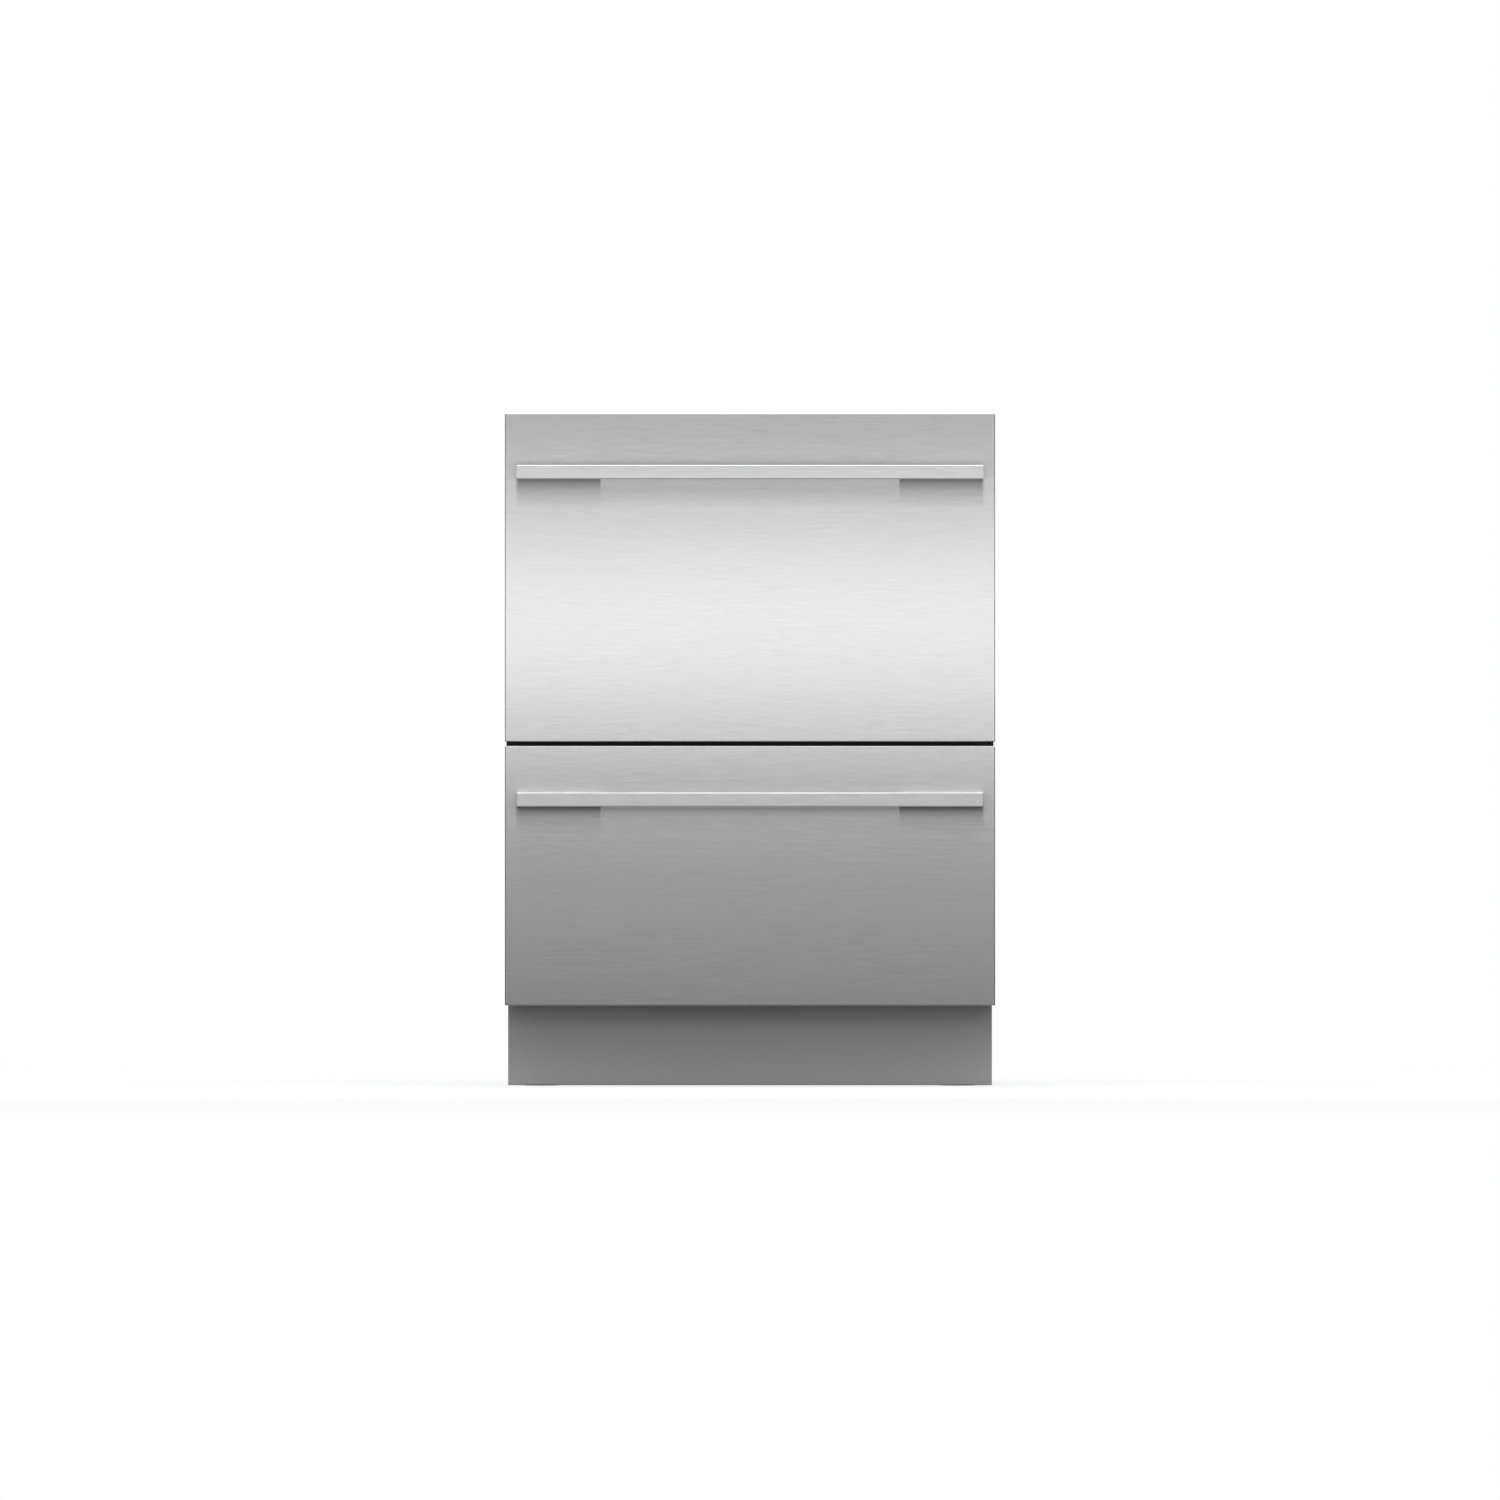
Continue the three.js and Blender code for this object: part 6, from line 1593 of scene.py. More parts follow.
def runner(drawer, member, side):
    node = f"{drawer}_runner_{member}_{side}"
    low, high = box_of(node)
    sign = SIDES[side]
    outer_low, outer_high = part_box(f"{drawer}_runner_outer_{side}")
    inner_low, inner_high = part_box(f"{drawer}_runner_inner_{side}")
    outer_x = outer_high[0] if sign > 0 else outer_low[0]
    inner_x = inner_low[0] if sign > 0 else inner_high[0]
    opens = 1 if member == "inner" else -1
    outline, web, way = runner_section(low, high, sign, opens, (outer_x + inner_x) / 2)
    made = prism("member", outline, "Y", low.y, high.y, ZINC_PLATE)
    length, middle = high.y - low.y, (low.z + high.z) / 2
    slots = []
    for i in range(RUNNER_SLOTS):
        y = low.y + length * (i + 0.5) / RUNNER_SLOTS
        hole = rounded(y - 22 * MM, y + 22 * MM, middle - 4 * MM, middle + 4 * MM, 3.9 * MM)
        slots.append(prism("slot", hole, "X", web - 3 * MM, web + 3 * MM, ZINC_PLATE))
    pieces = [carve(made, *slots)]
    if member != "middle":
        screw_y = spread(low.y + length * 0.2, high.y - length * 0.2, RUNNER_SCREWS)
        places = [(web + way * RUNNER_T, y, middle) for y in screw_y]
        pieces.append(copies("screws", pan_screw(SCREW_R, way * 1.2 * MM), places))
    return stands_for(together(f"{node}_member", pieces), node)


for drawer in DRAWERS:
    for member in ("outer", "middle", "inner"):
        for side in SIDES:
            tell(runner(drawer, member, side))

# %% [markdown]
# ## Lid lifters
# A lid has to go down on the tub when the drawer is shut, and up before it opens. On each chassis side a
# slim housing holds the lid's two pins in upright slots, with a cam and a small motor inside. The housing
# is a rounded bar with the slots cut through its inner wall, shallow ribs on its face and four screws.

# %% Lid lifter housings
LID_LIFT = 8 * MM
PIN_PLAY = 0.4 * MM
LIFTER_PANELS = 5


def lid_lifter(drawer, side):
    node = f"{drawer}_lid_lifter_{side}"
    low, high = box_of(node)
    sign = SIDES[side]
    face = low.x if sign > 0 else high.x
    outline = rounded(low.y, high.y, low.z, high.z, 5 * MM, 6)
    body = eased(prism("housing", outline, "X", low.x, high.x, GREY_PLASTIC), 0.9 * MM, 3, angle=50)
    pin_z = sum(corner[2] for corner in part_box(f"{drawer}_lid")) / 2
    play = LID_PIN_R + PIN_PLAY
    tools = []
    for y in (low.y + LIFTER_INSET, high.y - LIFTER_INSET):
        slot = rounded(y - play, y + play, pin_z - LID_LIFT - play, pin_z + play, play * 0.9, 6)
        ends = sorted((face - sign * 2 * MM, face + sign * 10 * MM))
        tools.append(prism("slot", slot, "X", *ends, GREY_PLASTIC))
    first, last = low.y + 70 * MM, high.y - 70 * MM
    length = (last - first) / LIFTER_PANELS
    for i in range(LIFTER_PANELS):
        y0 = first + (last - first) * i / LIFTER_PANELS
        panel = rounded(y0 + 3 * MM, y0 + length - 3 * MM, low.z + 5 * MM, high.z - 5 * MM, 2 * MM)
        ends = sorted((face - sign * 1 * MM, face + sign * 0.8 * MM))
        tools.append(prism("panel", panel, "X", *ends, GREY_PLASTIC))
    screw_y = [*spread(low.y + 18 * MM, high.y - 18 * MM, 2), *spread(low.y + 60 * MM, high.y - 60 * MM, 2)]
    places = [(face + sign * 0.05 * MM, y, (low.z + high.z) / 2) for y in screw_y]
    pieces = [carve(body, *tools), copies("screws", pan_screw(3 * MM, -sign * 0.55 * MM), places)]
    return stands_for(together(f"{node}_housing", pieces), node)


for drawer in DRAWERS:
    for side in SIDES:
        tell(lid_lifter(drawer, side))

# %% [markdown]
# ## Chassis sides
# Each side is one galvanised sheet with its front edge turned in, a wider flange behind and above, and
# long pressed beads that keep it from drumming. The folded plan is pushed upwards, the notch for the kick
# plate is cut out, and every bead is a ridge joined inside and the same shape cut away outside. The
# screws that hold runners and lid lifters are copies of one head on points.

# %% Side panels
SHEET = 1.2 * MM
SHEET_FOLD = 2 * MM
SIDE_FLANGE = 12 * MM
TOE_GAP = 0.3 * MM
BEAD_RISES = (20 * MM, 60 * MM)
BEAD_END = 70 * MM
BEAD_H = 18 * MM
BEAD_RAMP = 6 * MM
BEAD_DEPTH = 2.5 * MM


def bead(x, sign, y0, y1, z, name):
    """A long pressed hollow in a sheet that faces X, as a solid with soft flanks."""
    rings = []
    for step in range(-1, 7):
        share = max(step, 0) / 6
        inset = BEAD_RAMP * share
        depth = BEAD_DEPTH * (1 - math.cos(math.pi * share)) / 2 - (0.2 * MM if step < 0 else 0)
        half, corner = BEAD_H / 2, BEAD_H / 2 - inset - 0.1 * MM
        outline = rounded(y0 + inset, y1 - inset, z - half + inset, z + half - inset, corner, 8)
        rings.append([Vector((x - sign * depth, y, b)) for y, b in outline])
    return skin(name, rings, ZINC_SHEET)


def side_panel(side):
    node = f"side_panel_{side}"
    low, high = box_of(node)
    sign = SIDES[side]
    face = high.x if sign > 0 else low.x
    hem = sign * (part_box("mid_rail")[1][0] + 0.4 * MM)
    plan = [(hem, low.y), (face, low.y), (face, high.y), (face - sign * SIDE_FLANGE, high.y)]
    made = prism("side", folded(plan, sign * SHEET, SHEET_FOLD), "Z", low.z, high.z, ZINC_SHEET)
    toe_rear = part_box("toe_kick")[1][1] + TOE_GAP
    notch_low = (min(0, sign * 0.4), low.y - 0.05, low.z - 0.05)
    notch = block("notch", notch_low, (max(0, sign * 0.4), toe_rear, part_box("edge_seal")[0][2]), ZINC_SHEET)
    made = carve(made, notch)
    ridges, hollows = [], []
    for drawer in DRAWERS:
        for rise in BEAD_RISES:
            z = TUBS[drawer].floor + rise
            ends = (low.y + BEAD_END, high.y - BEAD_END)
            ridges.append(bead(face - sign * (SHEET - 0.1 * MM), sign, *ends, z, "ridge"))
            hollows.append(bead(face + sign * 0.02 * MM, sign, *ends, z, "hollow"))
    made = carve(carve(made, *ridges, operation="UNION"), *hollows)
    flange_edges = sorted((face - sign * SIDE_FLANGE, face - sign * SHEET / 2))
    flange_low = (flange_edges[0], low.y + SIDE_FLANGE, high.z - SHEET)
    flange = block("flange", flange_low, (flange_edges[1], high.y - SIDE_FLANGE, high.z), ZINC_SHEET)
    places = []
    for drawer in DRAWERS:
        (_, y0, z0), (_, y1, z1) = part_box(f"{drawer}_runner_outer_{side}")
        length = y1 - y0
        screw_y = spread(y0 + length * 0.2, y1 - length * 0.2, RUNNER_SCREWS)
        places += [(face, y, (z0 + z1) / 2) for y in screw_y]
        (_, y0, z0), (_, y1, z1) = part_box(f"{drawer}_lid_lifter_{side}")
        places += [(face, y, (z0 + z1) / 2) for y in spread(y0 + 18 * MM, y1 - 18 * MM, 3)]
    heads = copies("screws", pan_screw(SCREW_R, sign * 1.3 * MM), places)
    return stands_for(together(f"{node}_sheet", [made, flange, heads]), node)


for side in SIDES:
    tell(side_panel(side))

# %% [markdown]
# ## Back, top and tray
# The back sheet steps forward near the floor, which leaves room for the hose and the cable behind the
# machine, and it has a hole for the drain hose and three louvred slots. Its pressings are cuts with soft
# flanks. The top sheet turns down at the front and has three broad, shallow fields. It is a skin over
# rings, with rows of points where the fields begin to sink, because a cut would leave one huge face round
# them that shades badly. The tray below holds the feet. Its frame solid already has every boss and rib,
# so it keeps its shape and only gets the galvanised finish.

# %% Back panel
SERVICE_TOP = 98 * MM # the height of the step
SERVICE_SLOPE = 10 * MM
HOSE_R = 14 * MM
VENTS = 3
VENT_W = 80 * MM
VENT_H = 8 * MM
VENT_Z = 250 * MM
PRESSING_R = 22 * MM
PRESSING_DEPTH = SHEET * 0.45


def pressing(level, x0, x1, z0, z1):
    """A shallow rounded block whose flanks fall softly, to sink a field into the back."""
    rings = []
    for share, down in ((0, -2.0), (0, 0), (0.25, 0.15), (0.5, 0.5), (0.75, 0.85), (1, 1)):
        inset = 5 * MM * share
        outline = rounded(x0 + inset, x1 - inset, z0 + inset, z1 - inset, PRESSING_R - inset * 0.6, 6)
        rings.append([Vector((x, level - PRESSING_DEPTH * down, z)) for x, z in outline])
    return skin("pressing", rings, ZINC_SHEET)


def ring_only(piece):
    """The turned piece without the two caps that close its ends."""
    shape = bmesh.new()
    shape.from_mesh(piece.data)
    big = [face for face in shape.faces if len(face.verts) > 4]
    bmesh.ops.delete(shape, geom=big, context="FACES_ONLY")
    edges = [edge for edge in shape.edges if edge.is_boundary]
    bmesh.ops.bridge_loops(shape, edges=edges)
    bmesh.ops.recalc_face_normals(shape, faces=shape.faces)
    shape.to_mesh(piece.data)
    shape.free()
    soften(piece)
    return piece


# %% Back panel put together
def rear_panel():
    low, high = box_of("rear_panel")
    y, step = high.y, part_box("inlet_valve")[0][1] - 0.3 * MM
    corners = [(step, low.z), (step, SERVICE_TOP), (y, SERVICE_TOP + SERVICE_SLOPE), (y, high.z)]
    made = prism("back", folded(corners, SHEET, 4 * MM), "X", low.x, high.x, ZINC_SHEET)
    hose = (0, step, low.z + (SERVICE_TOP - low.z) / 2)
    tools = [turned("hole", mm((0, -9), (0, 9), base=(HOSE_R, 0)), "Y", hose, ZINC_SHEET, 32)]
    middles = spread(low.x + 1.5 * VENT_W, high.x - 1.5 * VENT_W, VENTS)
    for x in middles:
        slot = rounded(x - VENT_W / 2, x + VENT_W / 2, VENT_Z, VENT_Z + VENT_H, VENT_H * 0.49, 6)
        tools.append(prism("vent", slot, "Y", y - 6 * MM, y + 6 * MM, ZINC_SHEET))
    fields = [(VENT_Z + 50 * MM, 505 * MM), (535 * MM, high.z - 60 * MM)]
    fields.append((SERVICE_TOP + 40 * MM, VENT_Z - 30 * MM))
    for z0, z1 in fields:
        tools.append(pressing(y, low.x + 60 * MM, high.x - 60 * MM, z0, z1))
    pieces = [carve(made, *tools)]
    for x in middles:
        lip = rounded(-2.4 * MM, 0, VENT_Z + VENT_H - 1 * MM, VENT_Z + VENT_H + 1.4 * MM, 1 * MM, 4)
        moved = [(y - 1 * MM + a + 1.2 * MM, b) for a, b in lip]
        ends = (x - VENT_W / 2 + 2 * MM, x + VENT_W / 2 - 2 * MM)
        pieces.append(prism("lip", moved, "X", *ends, ZINC_SHEET))
    collar = mm((0, -1.6), (2.4, -1.6), (3, 0), (3, 1.6), (1.5, 2.2), (-1, 2), (-1.4, 0), base=(HOSE_R, 0))
    pieces.append(ring_only(turned("collar", collar, "Y", hose, RUBBER, 40)))
    profile = mm((4, -0.6), (4, 0.4), (3.1, 1.1), (1.2, 1.3), (0.7, 0.6))
    head = turned("screw", profile, "Y", (0, 0, 0), ZINC_PLATE, 12)
    screw_z = spread(140 * MM, high.z - 20 * MM, 6)
    places = [(x, y, z) for x in (low.x + 12 * MM, high.x - 12 * MM) for z in screw_z]
    places += [(x, y, high.z - 20 * MM) for x in spread(low.x + 120 * MM, high.x - 120 * MM, 3)]
    pieces.append(copies("screws", head, places))
    return stands_for(together("back_sheet", pieces), "rear_panel")


tell(rear_panel())

# %% Top panel
TOP_FIELDS = 3
TOP_BORDER = 80 * MM
TOP_SCREWS = 4
FIELD_GAP = 6 * MM
FLANK = 6 * MM # how wide the slope round a pressed field is


def share_along(value, starts, width):
    """How far a place along a row of pressed fields has sunk, from nought on the rim to one."""
    gaps = [min(value - start, start + width - value) for start in starts]
    reach = min(1.0, max(0.0, max(gaps) / FLANK))
    return reach * reach * (3 - 2 * reach)


def flank_lines(starts, width):
    """The places of the rows of points that a row of fields needs."""
    steps = [FLANK * share for share in (0, 0.2, 0.4, 0.6, 0.8, 1)]
    pairs = [(start + step, start + width - step) for start in starts for step in steps]
    return sorted(value for pair in pairs for value in pair)


def top_panel():
    low, high = box_of("top_panel")
    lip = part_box("mid_rail")[1][0]
    pitch = (high.x - low.x - 2 * TOP_BORDER + FIELD_GAP) / TOP_FIELDS
    across = [low.x + TOP_BORDER + pitch * i for i in range(TOP_FIELDS)]
    along = [low.y + TOP_BORDER]
    wide, deep = pitch - FIELD_GAP, high.y - low.y - 2 * TOP_BORDER
    rings = []
    for x in (low.x, *flank_lines(across, wide), high.x):
        ring = [(low.y + SHEET, high.z - SHEET), (low.y + SHEET, high.z - 2 * SHEET)]
        ring += [(low.y, high.z - 2 * SHEET), (low.y, high.z - MM), (low.y + 0.3 * MM, high.z - 0.3 * MM)]
        for y in (low.y + MM, *flank_lines(along, deep), high.y):
            sunk = share_along(x, across, wide) * share_along(y, along, deep)
            ring.append((y, high.z - SHEET * 0.5 * sunk))
        ring.append((high.y, high.z - SHEET))
        rings.append([Vector((x, y, z)) for y, z in ring])
    made = skin("top", rings, ZINC_SHEET)
    edge_high = (lip, low.y + SHEET, high.z - SHEET * 0.6)
    edge = block("edge", (-lip, low.y, low.z), edge_high, ZINC_SHEET, 0.3 * MM, 2)
    profile = mm((4.4, -0.6), (4.4, 0.4), (3.4, 1.2), (1.2, 1.4), (0.7, 0.6))
    head = turned("screw", profile, "Z", (0, 0, 0), ZINC_PLATE, 14)
    places = [(x, low.y + 20 * MM, high.z) for x in spread(low.x + 60 * MM, high.x - 60 * MM, TOP_SCREWS)]
    rear_x = spread(low.x + 40 * MM, high.x - 40 * MM, TOP_SCREWS + 1)
    places += [(x, high.y - 14 * MM, high.z) for x in rear_x]
    for x in (low.x + 8 * MM, high.x - 8 * MM):
        places += [(x, y, high.z) for y in spread(low.y + 60 * MM, high.y - 60 * MM, TOP_SCREWS)]
    return stands_for(together("top_sheet", [made, edge, copies("screws", head, places)]), "top_panel")


tell(top_panel())

# %% Tray
tray = bpy.data.objects["base_tray"]
for slot in tray.material_slots:
    slot.material = ZINC_SHEET
print("tray", tray.name)

# %% [markdown]
# ## Kick plate, rail and seal
# The kick plate is a painted sheet with folded edges, set back under the lower front. Between the two
# drawers runs a black rail, which is all one sees through the gap between the fronts. A rubber seal goes
# up one side of the opening, over the top and down the other side: a soft base with a thin lip that
# closes the slit to the cabinets. The seal is a section carried round the arch with mitred corners.

# %% Kick plate and cross rail
def channel(name, node, fold_r, material):
    """A strip of sheet folded to a U that opens backwards."""
    low, high = box_of(node)
    corners = [(high.y, low.z), (low.y, low.z), (low.y, high.z), (high.y, high.z)]
    return prism(name, folded(corners, -SHEET, fold_r), "X", low.x, high.x, material)


def toe_kick():
    low, high = box_of("toe_kick")
    pieces = [eased(channel("plate", "toe_kick", 2.2 * MM, TOE_PAINT), 0.3 * MM, 2, angle=60)]
    inset = SHEET * 0.6
    for x in (low.x + 0.3 * MM, high.x - 0.3 * MM - SHEET):
        outline = rounded(low.y + inset, high.y, low.z + inset, high.z - inset, 1.2 * MM, 4)
        pieces.append(prism("end", outline, "X", x, x + SHEET, TOE_PAINT))
    return stands_for(together("kick_plate", pieces), "toe_kick")


def mid_rail():
    made = channel("cross_rail", "mid_rail", 2 * MM, BLACK_PLASTIC)
    return stands_for(eased(made, 0.25 * MM, 2, angle=60), "mid_rail")


tell(toe_kick())
tell(mid_rail())

# %% The seal round the opening
SEAL_LIP_T = 1.2 * MM
SEAL_BASE = 0.6 # the base takes this share of the seal's width


def edge_seal():
    low, high = box_of("edge_seal")
    inner_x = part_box("mid_rail")[1][0] + 0.4 * MM
    inner_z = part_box("top_panel")[0][2]
    section = [(0.02, low.y + 0.5 * MM), (0.06, low.y + 0.1 * MM), (0.3, low.y), (0.85, low.y)]
    section += [(0.97, low.y + 0.2 * MM), (1, low.y + SEAL_LIP_T / 2), (0.97, low.y + SEAL_LIP_T * 0.8)]
    section += [(0.85, low.y + SEAL_LIP_T), (SEAL_BASE, low.y + SEAL_LIP_T), (SEAL_BASE, high.y - 0.3 * MM)]
    section += [(SEAL_BASE - 0.06, high.y), (0.06, high.y), (0, high.y - 0.3 * MM), (0, low.y + 0.9 * MM)]
    rings = []
    for sign, top in ((-1, False), (-1, True), (1, True), (1, False)):
        ring = []
        for share, y in section:
            x = inner_x + share * (high.x - inner_x)
            z = inner_z + share * (high.z - inner_z) if top else low.z
            ring.append(Vector((sign * x, y, z)))
        rings.append(ring)
    return stands_for(skin("seal_arch", rings, RUBBER), "edge_seal")


tell(edge_seal())

# %% [markdown]
# ## Feet, water valve and cable gland
# The small parts underneath and behind are turned ones. A foot has a broad pad with a hexagon above it,
# where a spanner turns it, and a threaded stem. The water valve has a threaded nozzle on a flange and a
# coil with two tabs. The gland has a hexagon nut and a soft cone for the cable. Threads are rings on the
# turned profile rather than a true helix: at this pitch no eye can tell, and the mesh stays light.

# %% Levelling feet
THREAD_PITCH = 1.5 * MM
STEM_R = 6 * MM


def thread(radius, start, end, depth, pitch=THREAD_PITCH):
    """A turned profile with one ridge for each turn of a thread."""
    profile = []
    turns = int((end - start) / pitch)
    for i in range(turns):
        base = start + i * pitch
        profile += [(radius - depth, base + pitch * 0.05), (radius, base + pitch * 0.35)]
        profile += [(radius, base + pitch * 0.6), (radius - depth, base + pitch * 0.9)]
    return profile


def foot(node):
    low, high = box_of(node)
    middle = (low + high) / 2
    pad_r = min(high.x - low.x, high.y - low.y) / 2
    at = (middle.x, middle.y, 0)
    pad = [(pad_r * 0.55, low.z + 0.8 * MM)]
    pad += mm((-3, 0), (-0.8, 0.4), (0, 1.6), (0, 4), (-1.2, 5.4), base=(pad_r, low.z))
    pad += mm((12, 8.5), (10.5, 10), base=(0, low.z))
    stem = [(STEM_R - 1 * MM, low.z + 9 * MM), *thread(STEM_R, low.z + 18 * MM, high.z - 2 * MM, 0.55 * MM)]
    stem += mm((-0.8, -1.6), (-1.8, 0), base=(STEM_R, high.z))
    nut = mm((9.4, 9.6), (10, 10.2), (10, 16), (9.4, 16.6), base=(0, low.z))
    pieces = [turned("pad", pad, "Z", at, BLACK_PLASTIC, 48), turned("stem", stem, "Z", at, ZINC_PLATE, 16)]
    pieces.append(turned("hexagon", nut, "Z", at, BLACK_PLASTIC, 6, smooth=20))
    return stands_for(together(f"{node}_unit", pieces), node)


for end in ("front", "rear"):
    for side in SIDES:
        tell(foot(f"foot_{end}_{side}"))


# %% Water valve
def inlet_valve():
    low, high = box_of("inlet_valve")
    x, y, z = (low.x + high.x) / 2, low.y, high.z - 20 * MM
    outline = rounded(low.x, high.x, z - 20 * MM, z + 20 * MM, 5 * MM, 6)
    pieces = [eased(prism("flange", outline, "Y", y, y + 4 * MM, WHITE_PLASTIC), 0.8 * MM, 3, angle=50)]
    nozzle = mm((17, 3), (17, 7), (16, 8), (12.2, 8)) + thread(13.2 * MM, 10 * MM, 26 * MM, 1 * MM, 2 * MM)
    nozzle += mm((12, 26.5), (11.6, 28), (9.4, 28), (9, 27.4), (9, 12))
    pieces.append(turned("nozzle", nozzle, "Y", (x, y, z), WHITE_PLASTIC, 36))
    strainer = mm((9.1, 12), (9.1, 16), (7, 17), (2, 17.6))
    pieces.append(turned("strainer", strainer, "Y", (x, y, z), BLUE_PLASTIC, 24))
    coil_low, coil_high = z - 38 * MM, z - 20.4 * MM
    outline = rounded(x - 14 * MM, x + 14 * MM, coil_low, coil_high, 4 * MM, 6)
    coil = prism("coil", outline, "Y", y + 0.2 * MM, y + 22 * MM, BLUE_PLASTIC)
    pieces.append(eased(coil, 1.2 * MM, 3, angle=50))
    for offset in (-5 * MM, 5 * MM):
        tab_low = (x + offset - 0.4 * MM, y + 21 * MM, coil_low + 5 * MM)
        tab_high = (x + offset + 0.4 * MM, y + 26.8 * MM, coil_low + 11 * MM)
        pieces.append(block("tab", tab_low, tab_high, ZINC_PLATE, 0.15 * MM, 2))
    profile = mm((3, -0.5), (3, 0.8), (2.4, 1.6), (0.9, 1.7), (0.5, 0.9))
    head = turned("screw", profile, "Y", (0, 0, 0), ZINC_PLATE, 14)
    places = [(x + a, y + 4 * MM, z + b) for a in (-19 * MM, 19 * MM) for b in (-14 * MM, 14 * MM)]
    pieces.append(copies("screws", head, places))
    return stands_for(together("water_valve", pieces), "inlet_valve")


tell(inlet_valve())


# %% Cable gland
def cable_gland():
    low, high = box_of("cable_gland")
    middle = (low + high) / 2
    at = (middle.x, low.y, middle.z)
    base = mm((13.6, 0.2), (14, 0.6), (14, 3.2), (13.2, 4), (9, 4))
    nut = mm((10.8, 4.2), (11.6, 4.8), (11.6, 11), (10.6, 12))
    cone = mm((8, 3.6), (8, 14)) + thread(8.6 * MM, 14 * MM, 17 * MM, 0.5 * MM, 1 * MM)
    cone += mm((8, 18), (7.6, 21.4), (7, 22), (5, 22), (4.5, 21.4), (4.5, 8))
    pieces = [turned("base", base, "Y", at, BLACK_PLASTIC, 36)]
    pieces.append(turned("nut", nut, "Y", at, BLACK_PLASTIC, 6, smooth=20))
    pieces.append(turned("cone", cone, "Y", at, BLACK_PLASTIC, 32))
    return stands_for(together("gland_unit", pieces), "cable_gland")


tell(cable_gland())

# %% [markdown]
# ## Camera
# The photograph looks straight at the fronts from far away: left and right sides are both hidden, and the
# edges of the toe kick stand as wide as it really is. A 600 mm lens thirty metres off gives that view. The
# distance follows from the width of the picture at the fronts, because a lens of focal length f shows a
# strip of sensor / f times the distance.

# %% Camera
PICTURE_W = 1.832 # metres across the picture, at the fronts
LENS = 600
SENSOR = 36
FRONT_FACE_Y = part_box("upper_front_panel")[0][1]
EYE_Z = 0.411


def add_camera():
    data = bpy.data.cameras.new("camera")
    data.lens, data.sensor_width = LENS, SENSOR
    made = bpy.data.objects.new("camera", data)
    made.location = (0, FRONT_FACE_Y - PICTURE_W * LENS / SENSOR, EYE_Z)
    made.rotation_euler = (math.pi / 2, 0, 0)
    bpy.context.scene.collection.objects.link(made)
    bpy.context.scene.camera = made
    return made


print("camera at", [round(v, 3) for v in add_camera().location])

# %% [markdown]
# ## Light
# Brushed steel shows its lights more than its colour. The fronts have one bright band a little above
# the gap, even from side to side, that fades slowly up and down. That is what long, low strip lights a
# metre in front do, blurred by the grain: a narrow one makes the middle of the band, and wider ones its
# slow ends. Dark cards in front, beside and below keep the rest of the room out of the reflection, as in
# a product studio: they are seen by glossy rays only. A wide light above draws the shadows under the
# handles, a weak one in front fills the toe kick without showing in the steel, and those at the sides
# and behind serve the other views.

# %% Lamps
def lamp(name, place, aim, width, height, power):
    data = bpy.data.lights.new(name, "AREA")
    data.shape = "RECTANGLE"
    data.size, data.size_y, data.energy = width, height, power
    made = bpy.data.objects.new(name, data)
    made.location = place
    direction = Vector(aim) - Vector(place)
    made.rotation_euler = direction.to_track_quat("-Z", "Y").to_euler()
    made.visible_camera = False
    bpy.context.scene.collection.objects.link(made)
    return made


BAND_DISTANCE = 1.05
BAND_Z = 0.572
BAND_W = 5.0
STRIPS = ((0.2, 2.6), (0.35, 2.3), (1.0, 3.1)) # the height and power of each
for height, power in STRIPS:
    place = (0, FRONT_FACE_Y - BAND_DISTANCE - height * 0.02, BAND_Z)
    lamp("strip", place, (0, 0, BAND_Z), BAND_W, height, power)
lamp("overhead", (0, -0.4, 2.6), (0, 0, 0.4), 4.2, 3.4, 50)
for sign in (-1, 1):
    lamp("side", (sign * 3.4, 0.3, 1.7), (0, 0, 0.4), 2.2, 2.2, 38)
lamp("behind", (0, 3.6, 1.8), (0, 0.3, 0.4), 2.6, 2.0, 42)
fill = lamp("front fill", (0, -3.4, 0.7), (0, 0, 0.35), 2.6, 1.2, 14)
fill.visible_glossy = False
print("lamps", len(bpy.data.lights))

# %% The floor, and what cards are made of
def flat_card(name, corners, material):
    mesh = bpy.data.meshes.new(name)
    mesh.from_pydata(corners, [], [(0, 1, 2, 3)])
    made = bpy.data.objects.new(name, mesh)
    mesh.materials.append(material)
    bpy.context.scene.collection.objects.link(made)
    return made


def seen_directly(finish):
    """One where camera, glossy or clear rays meet a surface first, nought for lighting rays."""
    seen = finish.node("ShaderNodeLightPath", out="Is Camera Ray")
    for kind in ("Glossy", "Transmission"):
        ray = finish.node("ShaderNodeLightPath", out=f"Is {kind} Ray")
        seen = finish.node("ShaderNodeMath", {"operation": "MAXIMUM"}, {0: seen, 1: ray})
    return seen


FLOOR_SHOWS_SHADOW = 0.3
SHADOW_ENDS = (1.4, 3.2) # over these distances from the middle the shadow's share falls to nought
WHITE = rgb(1, 1, 1)


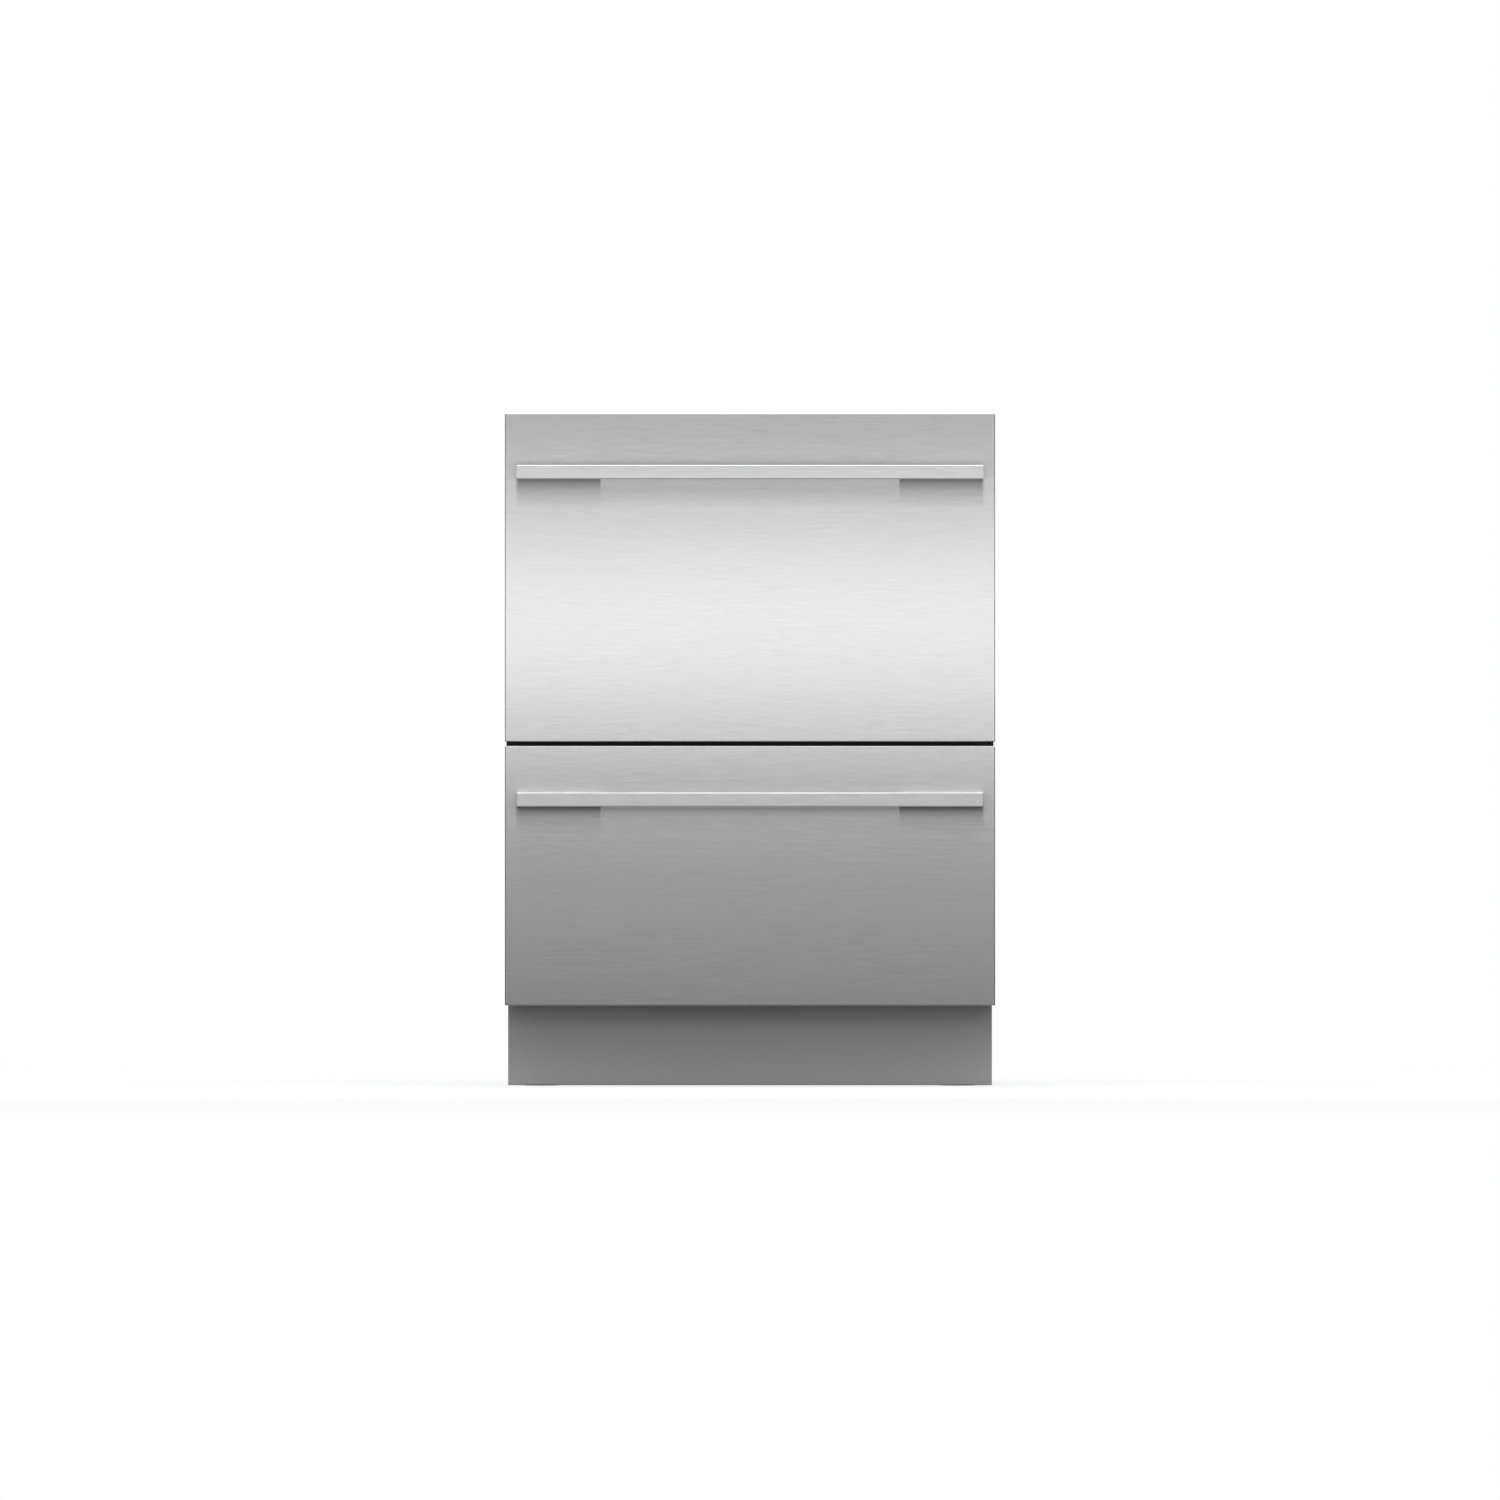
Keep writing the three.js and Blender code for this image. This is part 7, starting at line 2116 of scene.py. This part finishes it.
def floor_finish():
    made = new_finish("studio_floor")
    seen = seen_directly(made)
    lit = made.node("ShaderNodeBsdfDiffuse", {}, {"Color": made.blend(seen, rgb(0.9, 0.9, 0.9), WHITE)})
    white = made.node("ShaderNodeEmission", {}, {"Color": WHITE, "Strength": 1.0})
    here = made.node("ShaderNodeTexCoord", out="Object")
    away = made.node("ShaderNodeVectorMath", {"operation": "LENGTH"}, {0: here}, out="Value")
    shown = (1 - made.ramp(away, *SHADOW_ENDS)) * FLOOR_SHOWS_SHADOW
    return made.ended(made.node("ShaderNodeMixShader", {}, {0: seen * (1 - shown), 1: lit, 2: white}))


def card_finish(low, high, height):
    """A card that glows a little, from one grey at the floor to another at its top."""
    made = new_finish("dark_card")
    glow = made.where("Z") * ((high - low) / height) + low
    return made.ended(made.node("ShaderNodeEmission", {}, {"Color": WHITE, "Strength": glow}))


FLOOR_HALF = 40
floor = [(x * FLOOR_HALF, y * FLOOR_HALF, 0) for x, y in ((-1, -1), (1, -1), (1, 1), (-1, 1))]
flat_card("floor", floor, floor_finish())

# %% Dark cards
CARD_X = 3.2
CARD_HALF_W = 6
CARD_Y = -2.6
CARD_NEAR = FRONT_FACE_Y - 80 * MM
CARD_TOP = 3.2
CARD_RISE = 0.004 # the lying card's height over the floor


def standing(near, far):
    """The corners of a card that stands on the floor between two places."""
    return [(*near, 0), (*far, 0), (*far, CARD_TOP), (*near, CARD_TOP)]


far_edge = [(-CARD_HALF_W, CARD_Y), (CARD_HALF_W, CARD_Y)]
near_edge = [(CARD_HALF_W, CARD_NEAR), (-CARD_HALF_W, CARD_NEAR)]
cards = {
    "card_upright": standing(*far_edge),
    "card_lying": [(x, y, CARD_RISE) for x, y in far_edge + near_edge],
    "card_left": standing((-CARD_X, CARD_Y), (-CARD_X, CARD_NEAR)),
    "card_right": standing((CARD_X, CARD_Y), (CARD_X, CARD_NEAR)),
}
card = card_finish(0.04, 0.6, CARD_TOP)
for name, corners in cards.items():
    made = flat_card(name, corners, card)
    made.visible_camera = made.visible_diffuse = made.visible_shadow = False
    made.visible_transmission = False
print("cards", len(cards))

# %% World
WORLD_LIGHT = 0.26
world = Finish(bpy.data.worlds.new("studio"))
strength = seen_directly(world) * (1 - WORLD_LIGHT) + WORLD_LIGHT
light = world.node("ShaderNodeBackground", {}, {"Color": WHITE, "Strength": strength})
bpy.context.scene.world = world.ended(light, "ShaderNodeOutputWorld")
bpy.context.scene.view_settings.view_transform = "Standard"
print("world", bpy.context.scene.world.name)
